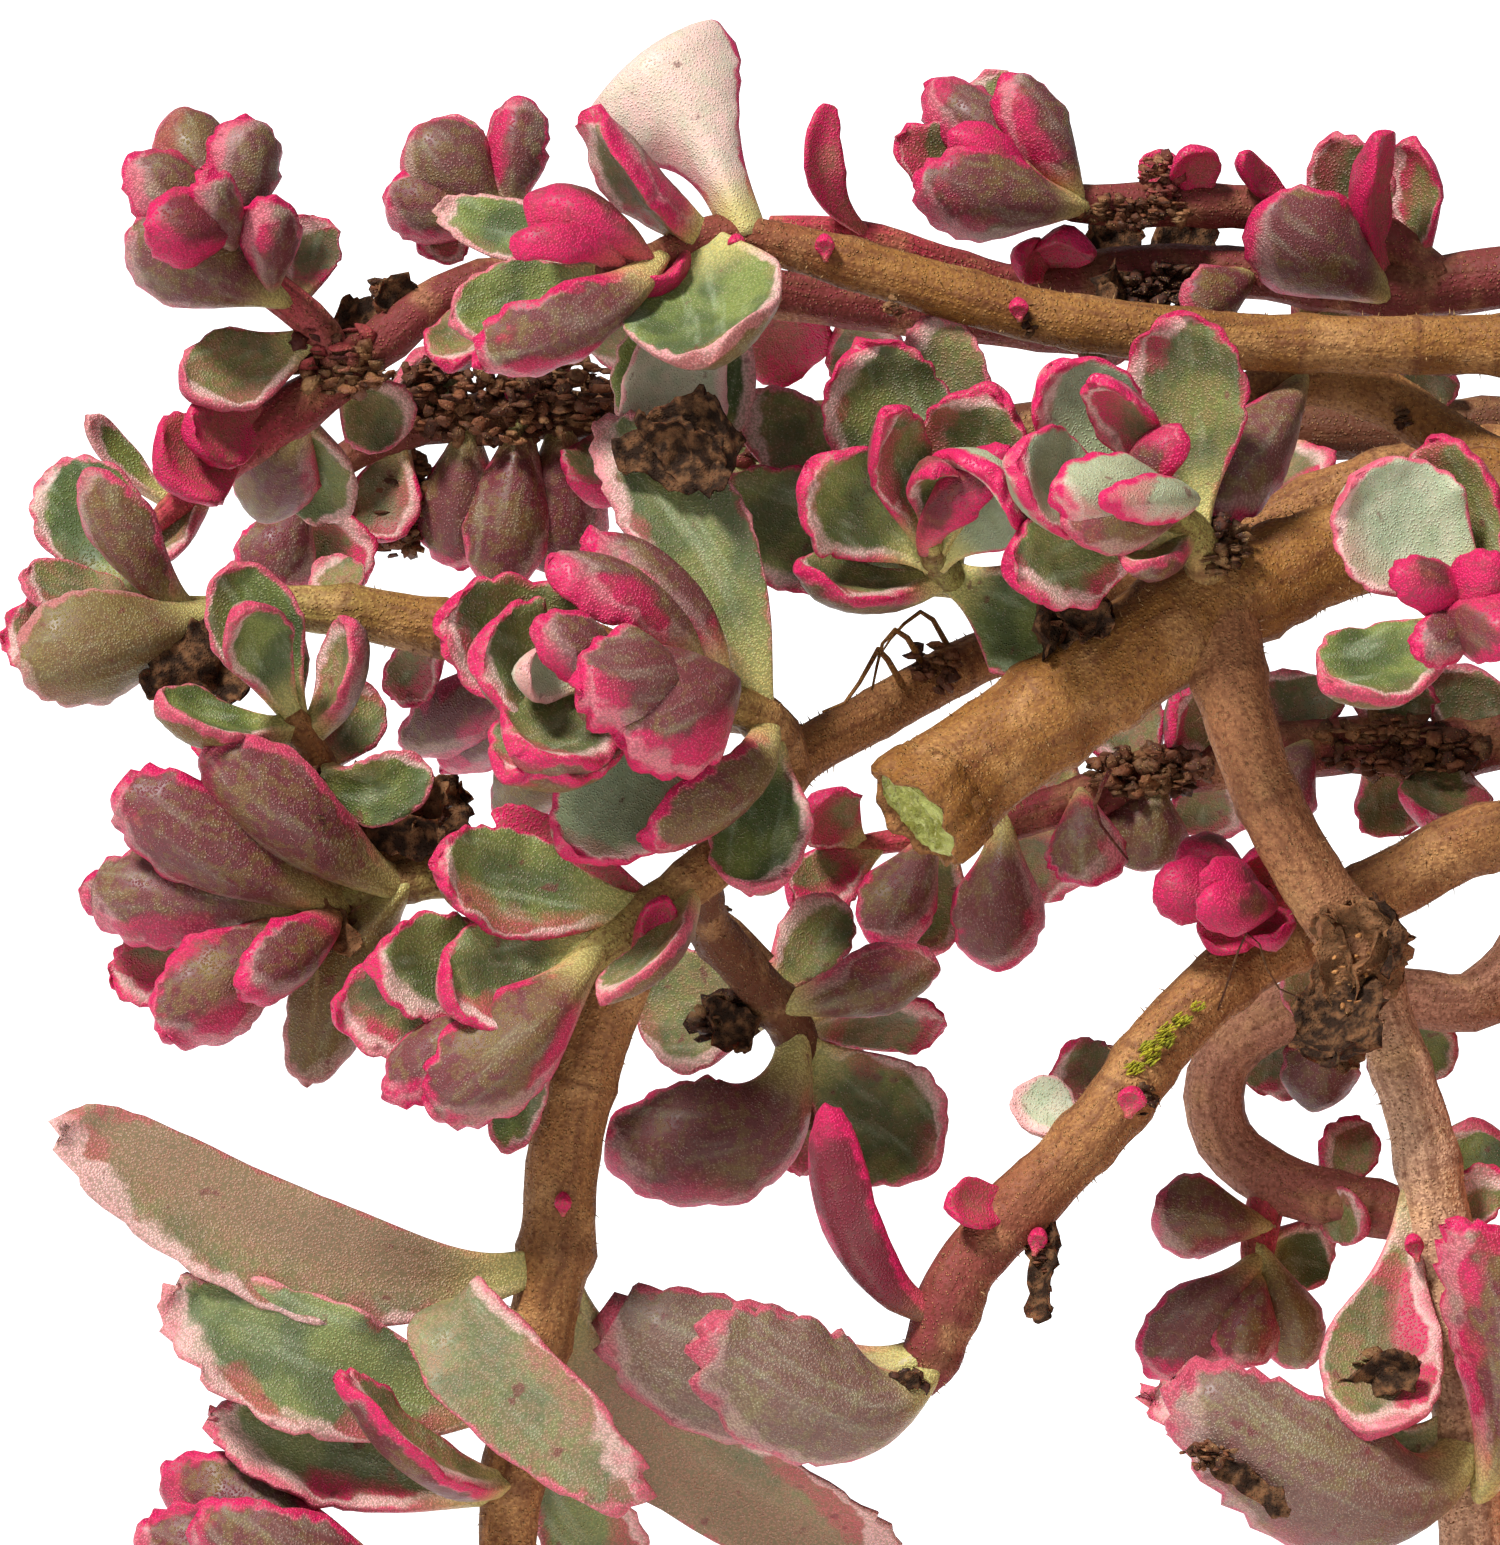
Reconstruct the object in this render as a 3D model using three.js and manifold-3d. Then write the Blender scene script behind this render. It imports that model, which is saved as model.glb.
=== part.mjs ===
// A potted variegated two-row stonecrop: a plain clay pot, its soil, and the leafy stems that stand in it.
// Millimetres, +Z up, with the centre of the pot's foot at the origin. The side of the plant that the photo
// shows lies toward -X and is seen along +Y. Its stems and leaves are placed by photo pixel and depth, and
// the stems round the rest of the pot follow a rule with seeded draws.
import * as THREE from "three";
import { mergeVertices } from "three/addons/utils/BufferGeometryUtils.js";
import Module from "manifold-3d";

const wasm = await Module();
wasm.setup();

// The pot: a plain thrown clay pot with a rim band
const POT_HEIGHT = 85;
const RIM_RADIUS = 50;
const RIM_HEIGHT = 18;
const RIM_STEP = 2.5;
const WALL = 5;
const FOOT_RADIUS = 35;
const FLOOR = 6;
const EDGE_ROUNDING = 1;
const POT_SIDES = 32;
const DRAIN_HOLES = 3;
const DRAIN_RADIUS = 4.5;
const DRAIN_DISTANCE = 19;
const DRAIN_SIDES = 12;

// The soil and the holes that the stems stand in
const GAP = 0.3;
const SOIL_TOP = 77;
const SOIL_CROWN = 1.5;
const SOIL_RINGS = [10, 20, 30, 38];
const SOIL_BUMP = 0.5;
const SOIL_SIDES = 20;
const STEM_FOOT = 66;
const STRAIGHT_TO = 80;
const ABOVE_SOIL = 86;
const HOLE_SIDES = 6;

// How the photo sees the plant: its scale, the point behind its centre pixel, and its slight look down
const PX_PER_MM = 25;
const PHOTO_CENTRE = { x: 750, y: 772.5 };
const FOCUS = new THREE.Vector3(-84, -8, 94);
const VIEW_DISTANCE = 480;
const VIEW_TILT = THREE.MathUtils.degToRad(6);
const RIGHT = new THREE.Vector3(1, 0, 0);
const FORWARD = new THREE.Vector3(0, Math.cos(VIEW_TILT), -Math.sin(VIEW_TILT));
const UPWARD = new THREE.Vector3(0, Math.sin(VIEW_TILT), Math.cos(VIEW_TILT));
const TO_VIEWER = FORWARD.clone().negate();

// The leaves: where they are widest, how thick, and the stations of their crenate outline
const WIDEST = 0.62;
const PETIOLE = 0.26;
const LEAF_THICKNESS = 1.3;
const CUP = 0.25;
const USUAL_BEND = 0.15;
const SMALL_LEAF_WIDTH = 3.3;
const NEAR_LEAF = {
  outline: [
    [0.36, 1],
    [0.6, 1.05],
    [0.76, 0.94],
    [0.9, 1.06],
  ],
  rib: [0.3, 0.72],
};
const FAR_LEAF = {
  outline: [
    [0.4, 1],
    [0.66, 1.05],
    [0.89, 1],
  ],
  rib: [0.52],
};

const COLOURS = { clay: "#b8693f", soil: "#3b2d23", bark: "#8c6a47", leaf: "#6d7a50" };

// The stems of the side that the photo shows. A shoot's route is a list of photo points
// [pixel x, pixel y, depth, radius], after the stretch between the soil and the edge of the photo, which is
// [x, y, z, radius]. A leaf is [root x, root y, tip x, tip y, tip depth, width, roll, bend, then, where it
// turns more, the pixel and depth that its rib is drawn toward]. A root lies on the shoot's axis at the
// point nearest its pixel. Roll 0 turns the upper face to the viewer and 180 the underside.
const UPPER_RUNNER = {
  name: "stem_upper_runner",
  shoots: [
    {
      start: [-12, -3, 1.5],
      arch: [
        [-15, -4, 97, 1.4],
        [-30, -8, 107, 1.3],
        [-46, -10, 111, 1.25],
      ],
      route: [
        [1500, 345, -1, 1.2],
        [1400, 345, -1, 1.15],
        [1250, 342, -1, 1.15],
        [1150, 332, -2, 1.15],
        [1050, 318, -2, 1.1],
        [960, 295, -2, 1.1],
        [880, 272, -2, 1.05],
        [810, 252, -2, 0.95],
        [740, 238, -2, 0.85],
        [690, 243, -2.5, 0.7],
        [640, 262, -4, 0.5],
        [600, 272, -5, 0.35],
      ],
      leaves: [
        [748, 232, 634, 44, 0, 6.8, 182, 0.08],
        [700, 243, 596, 108, -5, 3.8, -72, 0, 650, 215, -4],
        [690, 245, 636, 292, -5, 2.6, 60, 0.1],
        [640, 264, 524, 200, -5, 3.2, 215, 0.2],
        [612, 270, 508, 245, -6.5, 2.2, 235, 0.2],
        [640, 262, 436, 208, -1, 2.6, 15, 0.1],
        [600, 272, 449, 322, -4, 3.6, 12, 0.15],
        [650, 258, 474, 362, -7, 3.6, 145, 0.18],
        [702, 243, 716, 356, -9, 6.4, 14, 0.1],
        [722, 240, 662, 470, 0.5, 5.8, 8, 0.12],
        [712, 242, 655, 500, -3.5, 4.6, -20, 0.1],
      ],
    },
  ],
};

const MIDDLE_BRANCH = {
  name: "stem_middle_branch",
  shoots: [
    {
      start: [-24, 6, 1.6],
      arch: [
        [-28, 7, 97, 1.5],
        [-44, 4, 106, 1.35],
      ],
      route: [
        [1500, 455, 10, 1.25],
        [1350, 490, 10, 1.2],
        [1200, 560, 9, 1.15],
        [1060, 622, 6, 1.1],
        [1010, 645, 4, 1.05],
        [960, 667, 2, 1.05],
        [880, 712, 0, 1.05],
        [800, 757, -2, 1.05],
        [765, 805, -4, 1],
        [735, 845, -5, 1],
        [690, 882, -6, 0.95],
        [640, 920, -6.5, 0.85],
        [590, 955, -7, 0.75],
        [530, 990, -7.5, 0.55],
        [480, 1020, -8, 0.35],
      ],
      leaves: [
        [650, 912, 428, 862, -10, 4.6, 22, 0.12],
        [610, 940, 440, 996, -11, 4.8, 8, 0.12],
        [565, 968, 368, 966, -9, 4.4, 0, 0.1],
        [525, 993, 333, 1012, -7, 4.4, -14, 0.1],
        [590, 955, 432, 1118, -10, 4.6, 165, 0.15],
        [690, 882, 600, 1002, -10, 2.8, 60, 0, 680, 960, -10],
        [540, 985, 506, 1154, -6, 2.4, 0, 0.1],
      ],
    },
    {
      route: [
        [790, 768, -2.5, 1],
        [772, 728, -4.5, 0.9],
        [735, 705, -6.5, 0.8],
        [680, 692, -8.5, 0.65],
        [625, 686, -10.5, 0.5],
        [580, 682, -12, 0.35],
      ],
      leaves: [
        [650, 688, 438, 612, -10, 5.2, 0, 0.15],
        [620, 686, 474, 650, -13, 5.2, 20, 0.2],
        [610, 686, 536, 622, -15.5, 2.8, 200, 0.22],
        [640, 688, 578, 686, -16.5, 5, 185, 0.3],
        [680, 692, 618, 742, -15.5, 5.4, 160, 0.34],
        [690, 693, 549, 556, -11, 4, 238, 0.15],
        [710, 697, 586, 532, -9, 4, 240, 0.15],
        [762, 715, 604, 428, -4, 4.6, 10, 0, 735, 560, -7],
        [655, 690, 500, 776, -13.5, 5, 40, 0.1],
        [725, 702, 562, 852, -10.5, 5, 0, 0.12],
        [762, 715, 644, 842, -11.5, 3.4, 118, 0.15],
        [772, 728, 754, 898, -8, 4.2, 14, 0.08],
      ],
    },
    {
      route: [
        [655, 910, -6.4, 0.9],
        [618, 985, -4.5, 1.3],
        [585, 1065, -4, 1.45],
        [563, 1160, -4, 1.5],
        [556, 1250, -4, 1.45],
        [540, 1330, -4, 1.3],
        [522, 1420, -4, 1.25],
        [510, 1500, -4, 1.2],
        [506, 1590, -4, 1.1],
        [500, 1690, -3, 0.9],
        [494, 1790, -2, 0.7],
        [486, 1880, -1, 0.4],
      ],
      leaves: [
        [554, 1255, 62, 1118, -9, 5, 0, 0, 372, 1345, -7],
        [528, 1395, 165, 1296, -8, 5.4, 10, 0, 360, 1420, -8],
        [512, 1490, 212, 1415, -6, 3.8, 30, 0, 330, 1500, -7],
        [512, 1480, 335, 1378, -11, 3.4, 72, 0, 440, 1500, -10],
        [543, 1345, 640, 1500, -9, 4.6, 10, 0, 330, 1236, -13],
        [556, 1255, 895, 1552, 3, 5.2, 20, 0, 585, 1440, 1],
        [497, 1740, 380, 1800, -5, 5, 20, 0.1],
        [497, 1740, 620, 1790, 2, 5, 20, 0.1],
        [490, 1840, 430, 1930, -6, 4, 0, 0.15],
        [487, 1870, 500, 1960, -4, 3, 10, 0.15],
      ],
    },
    {
      route: [
        [506, 1590, -4, 1.1],
        [450, 1598, -5.5, 0.8],
        [385, 1592, -6, 0.55],
        [330, 1588, -6, 0.35],
      ],
      leaves: [
        [420, 1595, 160, 1472, -5, 4.6, 160, 0.12],
        [390, 1592, 136, 1535, -7, 4.4, 170, 0.12],
        [430, 1596, 188, 1522, -10, 5, 150, 0.14],
        [370, 1590, 170, 1640, -8, 4.4, 0, 0.12],
        [410, 1595, 290, 1720, -8, 4.6, 10, 0.12],
      ],
    },
    {
      route: [
        [700, 875, -5.8, 0.8],
        [708, 925, -2, 0.95],
        [748, 972, 1, 0.95],
        [790, 1026, 3, 0.85],
        [812, 1090, 4, 0.6],
        [812, 1130, 4, 0.35],
      ],
      leaves: [
        [795, 1035, 602, 1140, 2, 5.4, 170, 0, 800, 1180, 1],
        [775, 1008, 640, 1012, 7, 5, 0, 0.1],
        [800, 1045, 936, 1168, 2, 5.4, 0, 0.08],
        [775, 1005, 940, 962, 2, 3, 200, 0.12],
        [790, 1030, 944, 1024, 7, 3, 40, 0.1],
        [770, 1000, 840, 900, 7, 3, 0, 0.1],
      ],
    },
    {
      route: [
        [640, 918, -6.4, 0.75],
        [560, 890, 0.5, 0.85],
        [480, 878, 1, 0.85],
        [415, 880, 0, 0.85],
        [340, 902, 0, 0.65],
        [275, 918, 0, 0.4],
      ],
      leaves: [
        [400, 882, 204, 746, -4, 4.4, 150, 0.12],
        [340, 902, 114, 788, -3, 4.6, 160, 0.12],
        [310, 910, 82, 892, 0, 4.2, 180, 0.12],
        [285, 916, 110, 985, 2.5, 3.6, 10, 0.1],
        [300, 912, 158, 1034, -3, 4.4, 165, 0.15],
        [325, 906, 240, 992, -5, 3.2, 140, 0.15],
        [410, 882, 304, 1086, 0, 3.6, 175, 0, 350, 930, -1],
      ],
    },
    {
      route: [
        [420, 879, 0.3, 0.75],
        [372, 838, 1, 0.75],
        [330, 790, 0.5, 0.75],
        [306, 742, -1, 0.65],
        [292, 712, -2, 0.35],
      ],
      leaves: [
        [300, 730, 228, 562, -2, 3.8, 0, 0.1],
        [296, 722, 242, 606, -6.5, 3, 10, 0.15],
        [300, 728, 272, 608, 0.5, 2.2, 20, 0.12],
        [304, 735, 354, 620, -3.5, 3.2, -60, 0.12],
        [298, 725, 156, 703, -5, 3.4, 62, 0.12],
        [315, 765, 422, 762, -2, 3, 20, 0, 370, 815, -3],
        [318, 770, 372, 690, 4, 2.8, 10, 0.1],
      ],
    },
    {
      route: [
        [758, 716, -5.2, 0.9],
        [690, 690, 1, 1],
        [600, 655, 4.5, 1.1],
        [450, 630, 5, 1.2],
        [350, 612, 5, 1.05],
        [270, 608, 5, 0.85],
        [200, 612, 4.5, 0.6],
        [150, 600, 4, 0.35],
      ],
      leaves: [
        [205, 612, 18, 668, 0.5, 4.8, 165, 0.12],
        [190, 611, 2, 645, 6, 4, 0, 0.1],
        [175, 606, 18, 580, 4, 3, 40, 0.1],
        [190, 611, 84, 470, 1.5, 3, 150, 0.12],
        [160, 602, 48, 468, 7, 4.4, 0, 0.1],
        [270, 608, 148, 690, 1.5, 2.8, 150, 0.1],
        [560, 650, 402, 752, 10, 3, 170, 0.05],
        [620, 662, 500, 822, 10, 3.4, 180, 0.05],
      ],
    },
  ],
};

const CUT_STEM = {
  name: "stem_cut_and_regrown",
  shoots: [
    {
      start: [-24, -9, 2.1],
      arch: [
        [-29, -11, 96, 2.05],
        [-43, -12, 103, 2],
      ],
      route: [
        [1500, 498, -2, 1.95],
        [1400, 532, -2, 1.95],
        [1300, 565, -3, 2],
        [1215, 605, -4, 2.3],
        [1150, 643, -5, 2.25],
        [1080, 692, -5.5, 2.2],
        [1000, 748, -6, 2.2],
        [955, 782, -6.5, 2.3],
        [932, 803, -7.5, 2.5],
      ],
      leaves: [
        [1100, 680, 1046, 592, -7.5, 3, 30, 0.15],
      ],
    },
    {
      route: [
        [1222, 612, -4.5, 1.6],
        [1232, 690, -6, 1.45],
        [1264, 790, -6.5, 1.3],
        [1312, 880, -6, 1.35],
        [1362, 955, -5.5, 1.3],
        [1388, 1030, -5, 1.15],
        [1420, 1130, -5, 1.25],
        [1440, 1230, -5, 1.3],
        [1452, 1330, -5, 1.2],
        [1466, 1430, -5, 1.25],
        [1472, 1545, -5, 1.3],
        [1480, 1650, -5, 1.1],
        [1482, 1760, -5, 0.85],
        [1474, 1850, -5, 0.45],
      ],
      leaves: [
        [1345, 925, 1336, 1066, -9, 3.8, 20, 0.1],
        [1352, 940, 1402, 930, -8.5, 3, 0, 0.1],
        [1425, 1155, 1368, 1440, -10, 5, 0, 0.12],
        [1464, 1430, 1178, 1378, -11, 6, 165, 0, 1420, 1600, -10],
        [1462, 1400, 1146, 1392, -5, 3.4, 0, 0, 1400, 1520, -6],
        [1470, 1500, 1452, 1225, -11, 4.6, 170, 0, 1560, 1400, -10],
        [1478, 1640, 1380, 1700, -8, 5, 10, 0.1],
        [1478, 1640, 1560, 1700, -6, 4.4, 10, 0.1],
        [1476, 1820, 1420, 1930, -7, 4.2, 0, 0.15],
        [1476, 1820, 1530, 1925, -6, 4.2, 0, 0.15],
      ],
    },
    {
      route: [
        [1130, 655, -3.5, 0.9],
        [1060, 618, -1, 0.8],
        [1000, 598, -1, 0.75],
        [955, 580, -3, 0.65],
        [935, 560, -5.5, 0.5],
        [932, 540, -8, 0.35],
      ],
      leaves: [
        [940, 568, 862, 338, -4, 5.4, 6, 0.12],
        [950, 578, 938, 312, -1.5, 4, -4, 0.08],
        [934, 550, 996, 388, -9, 4.4, -12, 0.12],
        [937, 562, 806, 468, -8, 4.8, 0, 0.14],
        [934, 552, 888, 408, -11, 3, 30, 0.12],
        [965, 584, 702, 506, 1, 5, 14, 0.05],
        [960, 580, 750, 400, 3, 4, 10, 0.05],
        [945, 574, 796, 572, -7, 3.2, 58, 0.14],
        [950, 578, 1080, 642, -6, 5.2, 0, 0.12],
        [936, 560, 996, 468, -12, 5, -8, 0.14],
        [933, 545, 1010, 448, -11, 2.4, 150, 0.2],
      ],
    },
    {
      route: [
        [1205, 600, -4.5, 0.9],
        [1205, 560, -6, 0.8],
        [1190, 528, -7.5, 0.65],
        [1165, 512, -9.5, 0.5],
        [1145, 508, -11.5, 0.35],
      ],
      leaves: [
        [1195, 535, 1180, 310, -7, 5, -6, 0.1],
        [1175, 516, 1044, 366, -10, 4.6, 8, 0.12],
        [1165, 512, 1096, 376, -13, 2.8, -40, 0.12],
        [1160, 510, 1010, 462, -14, 4.4, 25, 0.18],
        [1155, 509, 1052, 490, -16.5, 3.4, 190, 0.25],
        [1150, 508, 1062, 520, -16, 3, 170, 0.28],
        [1180, 520, 1006, 572, -11, 4.4, -10, 0.1],
        [1170, 514, 1180, 430, -13, 3, 100, 0.25],
        [1190, 528, 1130, 568, -11, 2.4, 60, 0.12],
      ],
    },
    {
      route: [
        [1560, 480, -2, 1.1],
        [1500, 468, 0.5, 1.1],
        [1432, 428, 1.8, 1.1],
        [1380, 396, 2, 1.1],
        [1310, 380, 2, 1.05],
        [1262, 390, 1, 1],
        [1238, 412, 0, 0.85],
      ],
      leaves: [
        [1295, 385, 1206, 520, -5, 3.4, 165, 0.12],
      ],
    },
    {
      route: [
        [1530, 488, -2.5, 1.2],
        [1535, 560, -6, 1],
        [1510, 605, -8.5, 0.8],
        [1475, 612, -10, 0.6],
        [1450, 612, -11.5, 0.4],
      ],
      leaves: [
        [1490, 610, 1346, 476, -10, 5.6, 5, 0.1],
        [1475, 612, 1322, 690, -13, 4.4, 40, 0.12],
        [1500, 607, 1432, 436, -8, 4, -40, 0.1],
        [1462, 612, 1392, 572, -15, 2.4, 200, 0.2],
        [1458, 612, 1416, 655, -15, 2.4, 160, 0.2],
        [1490, 610, 1610, 500, -9, 5.4, 0, 0.1],
        [1480, 612, 1600, 660, -13, 5, 0, 0.1],
        [1462, 612, 1500, 556, -15, 3, 190, 0.2],
      ],
    },
  ],
};

const LOWER_RUNNER = {
  name: "stem_lower_runner",
  shoots: [
    {
      start: [-31, -19, 1.7],
      arch: [
        [-36, -17, 89.5, 1.6],
        [-45, -12, 92.5, 1.5],
      ],
      route: [
        [1500, 835, 1, 1.4],
        [1400, 880, 2, 1.4],
        [1290, 937, 1, 1.35],
        [1215, 988, -1, 1.35],
        [1155, 1050, -2, 1.35],
        [1115, 1108, -3, 1.35],
        [1065, 1162, -3, 1.3],
        [1010, 1218, -3.5, 1.3],
        [965, 1270, -4, 1.25],
        [944, 1318, -4, 1.3],
        [930, 1360, -4, 1.1],
        [915, 1386, -4, 0.8],
      ],
      leaves: [
        [946, 1312, 825, 1106, -7, 2.8, 112, 0, 836, 1300, -6],
        [930, 1360, 708, 1326, -8, 5.6, 178, 0, 875, 1470, -6],
        [935, 1350, 606, 1312, -4, 5.8, 176, 0, 800, 1440, -4],
        [1025, 1202, 946, 1208, -6, 2.2, 20, 0.05],
        [1085, 1142, 1020, 1086, -1, 2.6, 20, 0.1],
        [1040, 1188, 1040, 1322, -6, 1.4, 40, 0.05],
        [1290, 937, 1330, 1010, 5, 3, 0, 0.1],
      ],
    },
    {
      route: [
        [1330, 918, 1, 0.8],
        [1292, 900, 0, 0.7],
        [1258, 895, -1.5, 0.5],
        [1225, 895, -3, 0.35],
      ],
      leaves: [
        [1240, 895, 1152, 888, -4, 2.8, 170, 0.15],
        [1255, 895, 1178, 846, -2, 2.8, 200, 0.12],
        [1250, 895, 1212, 952, -3, 2.6, 10, 0.1],
        [1262, 895, 1268, 846, -3, 2.4, 10, 0.1],
        [1245, 895, 1200, 905, -7, 2.6, 160, 0.25],
      ],
    },
  ],
};

const UPPER_LEFT_RUNNER = {
  name: "stem_upper_left_runner",
  shape: FAR_LEAF,
  shoots: [
    {
      start: [-6, 12, 1.5],
      arch: [
        [-9, 13, 97, 1.4],
        [-28, 12, 109, 1.3],
        [-44, 11, 112, 1.2],
      ],
      route: [
        [1500, 345, 19, 1.15],
        [1200, 340, 18, 1.1],
        [900, 310, 16, 1.05],
        [700, 285, 14, 1],
        [560, 275, 13, 0.95],
        [455, 290, 12, 0.9],
        [385, 340, 12, 0.95],
        [320, 392, 12, 1],
        [255, 437, 12, 1],
        [180, 500, 12, 0.6],
        [150, 530, 12, 0.35],
      ],
      leaves: [
        [285, 418, 184, 436, 9, 3.4, 0, 0.1],
        [250, 440, 156, 474, 9.5, 4.4, 10, 0.1],
        [175, 505, 86, 416, 11, 1.6, 30, 0.12],
        [205, 480, 150, 566, 12, 2, 40, 0.1],
        [385, 340, 338, 312, 14, 2.4, 0, 0.1],
        [340, 376, 400, 440, 14, 3.4, 0, 0.1],
        [300, 405, 262, 520, 17, 3.6, 170, 0.1],
        [290, 412, 330, 520, 17, 3.4, 10, 0.1],
        [480, 285, 450, 370, 9, 3, 20, 0.1],
        [640, 280, 600, 356, 19, 4, 10, 0.1],
        [760, 292, 800, 372, 19, 4, 0, 0.1],
        [860, 305, 870, 380, 20, 3.4, 0, 0.1],
      ],
    },
    {
      route: [
        [345, 372, 12, 0.8],
        [312, 322, 11, 0.75],
        [268, 285, 10.5, 0.7],
        [225, 238, 10, 0.6],
        [198, 200, 9.5, 0.35],
      ],
      leaves: [
        [222, 235, 126, 160, 8, 3.2, 200, 0.15],
        [225, 238, 176, 108, 11, 3.4, 190, 0.12],
        [230, 244, 248, 114, 9, 3.4, 195, 0.15],
        [215, 225, 146, 228, 5.5, 3.4, 170, 0.25],
        [280, 294, 126, 232, 8, 4.4, 165, 0.12],
        [270, 287, 270, 196, 7, 2.6, 185, 0.15],
        [295, 306, 316, 216, 13, 2.8, 0, 0.12],
        [322, 335, 180, 390, 9, 3.8, 20, 0.12],
      ],
    },
    {
      route: [
        [570, 275, 13, 0.7],
        [530, 240, 14, 0.65],
        [485, 212, 14, 0.5],
        [462, 192, 14, 0.35],
      ],
      leaves: [
        [500, 220, 414, 128, 13, 4, 185, 0.12],
        [510, 228, 522, 96, 14, 2.8, 170, 0.12],
        [500, 222, 382, 196, 13, 3.4, 165, 0.12],
        [475, 205, 440, 120, 17, 3, 0, 0.1],
        [480, 208, 420, 252, 14, 2.6, 0, 0.1],
      ],
    },
  ],
};

const TOP_SPRAY = {
  name: "stem_top_spray",
  shape: FAR_LEAF,
  shoots: [
    {
      start: [-2, -10, 1.5],
      arch: [
        [-5, -9, 100, 1.4],
        [-24, -4, 112, 1.3],
        [-42, 0, 114.5, 1.2],
      ],
      route: [
        [1500, 278, 9, 1.3],
        [1380, 290, 9, 1.1],
        [1240, 272, 9, 1],
        [1130, 268, 9, 0.9],
        [1023, 282, 9, 0.7],
        [950, 262, 8.5, 0.6],
        [880, 238, 8, 0.55],
        [820, 228, 8, 0.5],
        [770, 224, 8.5, 0.35],
      ],
      leaves: [
        [1385, 290, 1256, 212, 5, 4.8, 165, 0.12],
        [1390, 290, 1330, 134, 9, 3.6, 0, 0.12],
        [1392, 290, 1378, 130, 4.5, 2.8, 60, 0.1],
        [1405, 288, 1414, 136, 8, 2.8, -40, 0.1],
        [1060, 278, 1068, 236, 6, 2.6, 0, 0.15],
        [1080, 276, 1130, 228, 12, 2.4, 0, 0.1],
        [1150, 268, 1206, 224, 13, 2.4, 0, 0.1],
        [1180, 270, 1112, 318, 4, 3.6, 0, 0.2],
        [1240, 272, 1190, 318, 6, 3, 150, 0.1],
        [870, 236, 828, 104, 6, 1.8, 20, 0, 800, 190, 5],
        [1300, 282, 1340, 340, 12, 3.4, 0, 0.1],
        [1110, 270, 1100, 372, 10, 2.4, 0, 0.1],
      ],
    },
    {
      route: [
        [1440, 284, 9, 1],
        [1385, 240, 9, 0.95],
        [1310, 214, 8.5, 0.9],
        [1200, 205, 8, 0.9],
        [1110, 205, 7.5, 0.9],
        [1060, 200, 7, 0.65],
        [1010, 180, 6.5, 0.35],
      ],
      leaves: [
        [1075, 202, 914, 184, 3, 4, 165, 0.15],
        [1075, 202, 1006, 74, 6, 3, 200, 0.12],
        [1050, 197, 926, 82, 8, 3, 190, 0.12],
        [1040, 192, 894, 140, 7, 3, 0, 0.12],
        [1055, 198, 980, 76, 11, 3, 0, 0.1],
        [1030, 188, 950, 130, 4, 2.4, 180, 0.2],
        [1205, 205, 1188, 146, 6, 2.2, 0, 0.1],
        [1165, 205, 1158, 150, 9, 1.8, 0, 0.1],
        [1305, 213, 1238, 154, 6, 1.4, 30, 0.1],
      ],
    },
  ],
};

const BACK_RUNNER = {
  name: "stem_back_runner",
  shape: FAR_LEAF,
  shoots: [
    {
      start: [-16, 24, 1.6],
      arch: [
        [-22, 24, 93, 1.5],
        [-42, 19, 98, 1.4],
      ],
      route: [
        [1500, 740, 24, 1.2],
        [1350, 745, 23, 1.2],
        [1200, 765, 21, 1.1],
        [1080, 800, 20, 0.9],
        [980, 828, 20, 0.7],
        [900, 840, 20, 0.5],
        [830, 850, 20, 0.35],
      ],
      leaves: [
        [930, 838, 876, 946, 17, 3.4, 170, 0.12],
        [950, 834, 925, 958, 20, 3, 10, 0.12],
        [1000, 822, 995, 972, 19, 4, 175, 0.12],
        [880, 843, 790, 905, 18, 3, 10, 0.1],
        [860, 846, 812, 800, 17, 3, 0, 0.1],
        [960, 830, 900, 756, 24, 3.6, 0, 0.1],
        [1040, 812, 1040, 900, 24, 3.6, 0, 0.1],
        [1080, 800, 1090, 884, 17, 3.4, 180, 0.12],
        [1080, 800, 1010, 742, 22, 3.6, 0, 0.1],
        [1150, 780, 1140, 872, 20, 4, 170, 0.12],
        [1150, 780, 1110, 700, 24, 3.6, 0, 0.1],
        [1220, 762, 1180, 690, 18, 3.6, 20, 0.1],
        [1220, 762, 1205, 838, 24, 3.4, 0, 0.1],
        [1290, 752, 1300, 672, 24, 4, 0, 0.1],
        [1300, 750, 1268, 820, 18, 3.4, 170, 0.1],
        [1380, 744, 1400, 660, 22, 4, 0, 0.1],
        [1380, 744, 1410, 830, 26, 4, 0, 0.1],
        [1450, 742, 1470, 664, 24, 4, 0, 0.1],
        [1450, 742, 1440, 832, 20, 4, 0, 0.1],
      ],
    },
  ],
};

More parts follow.
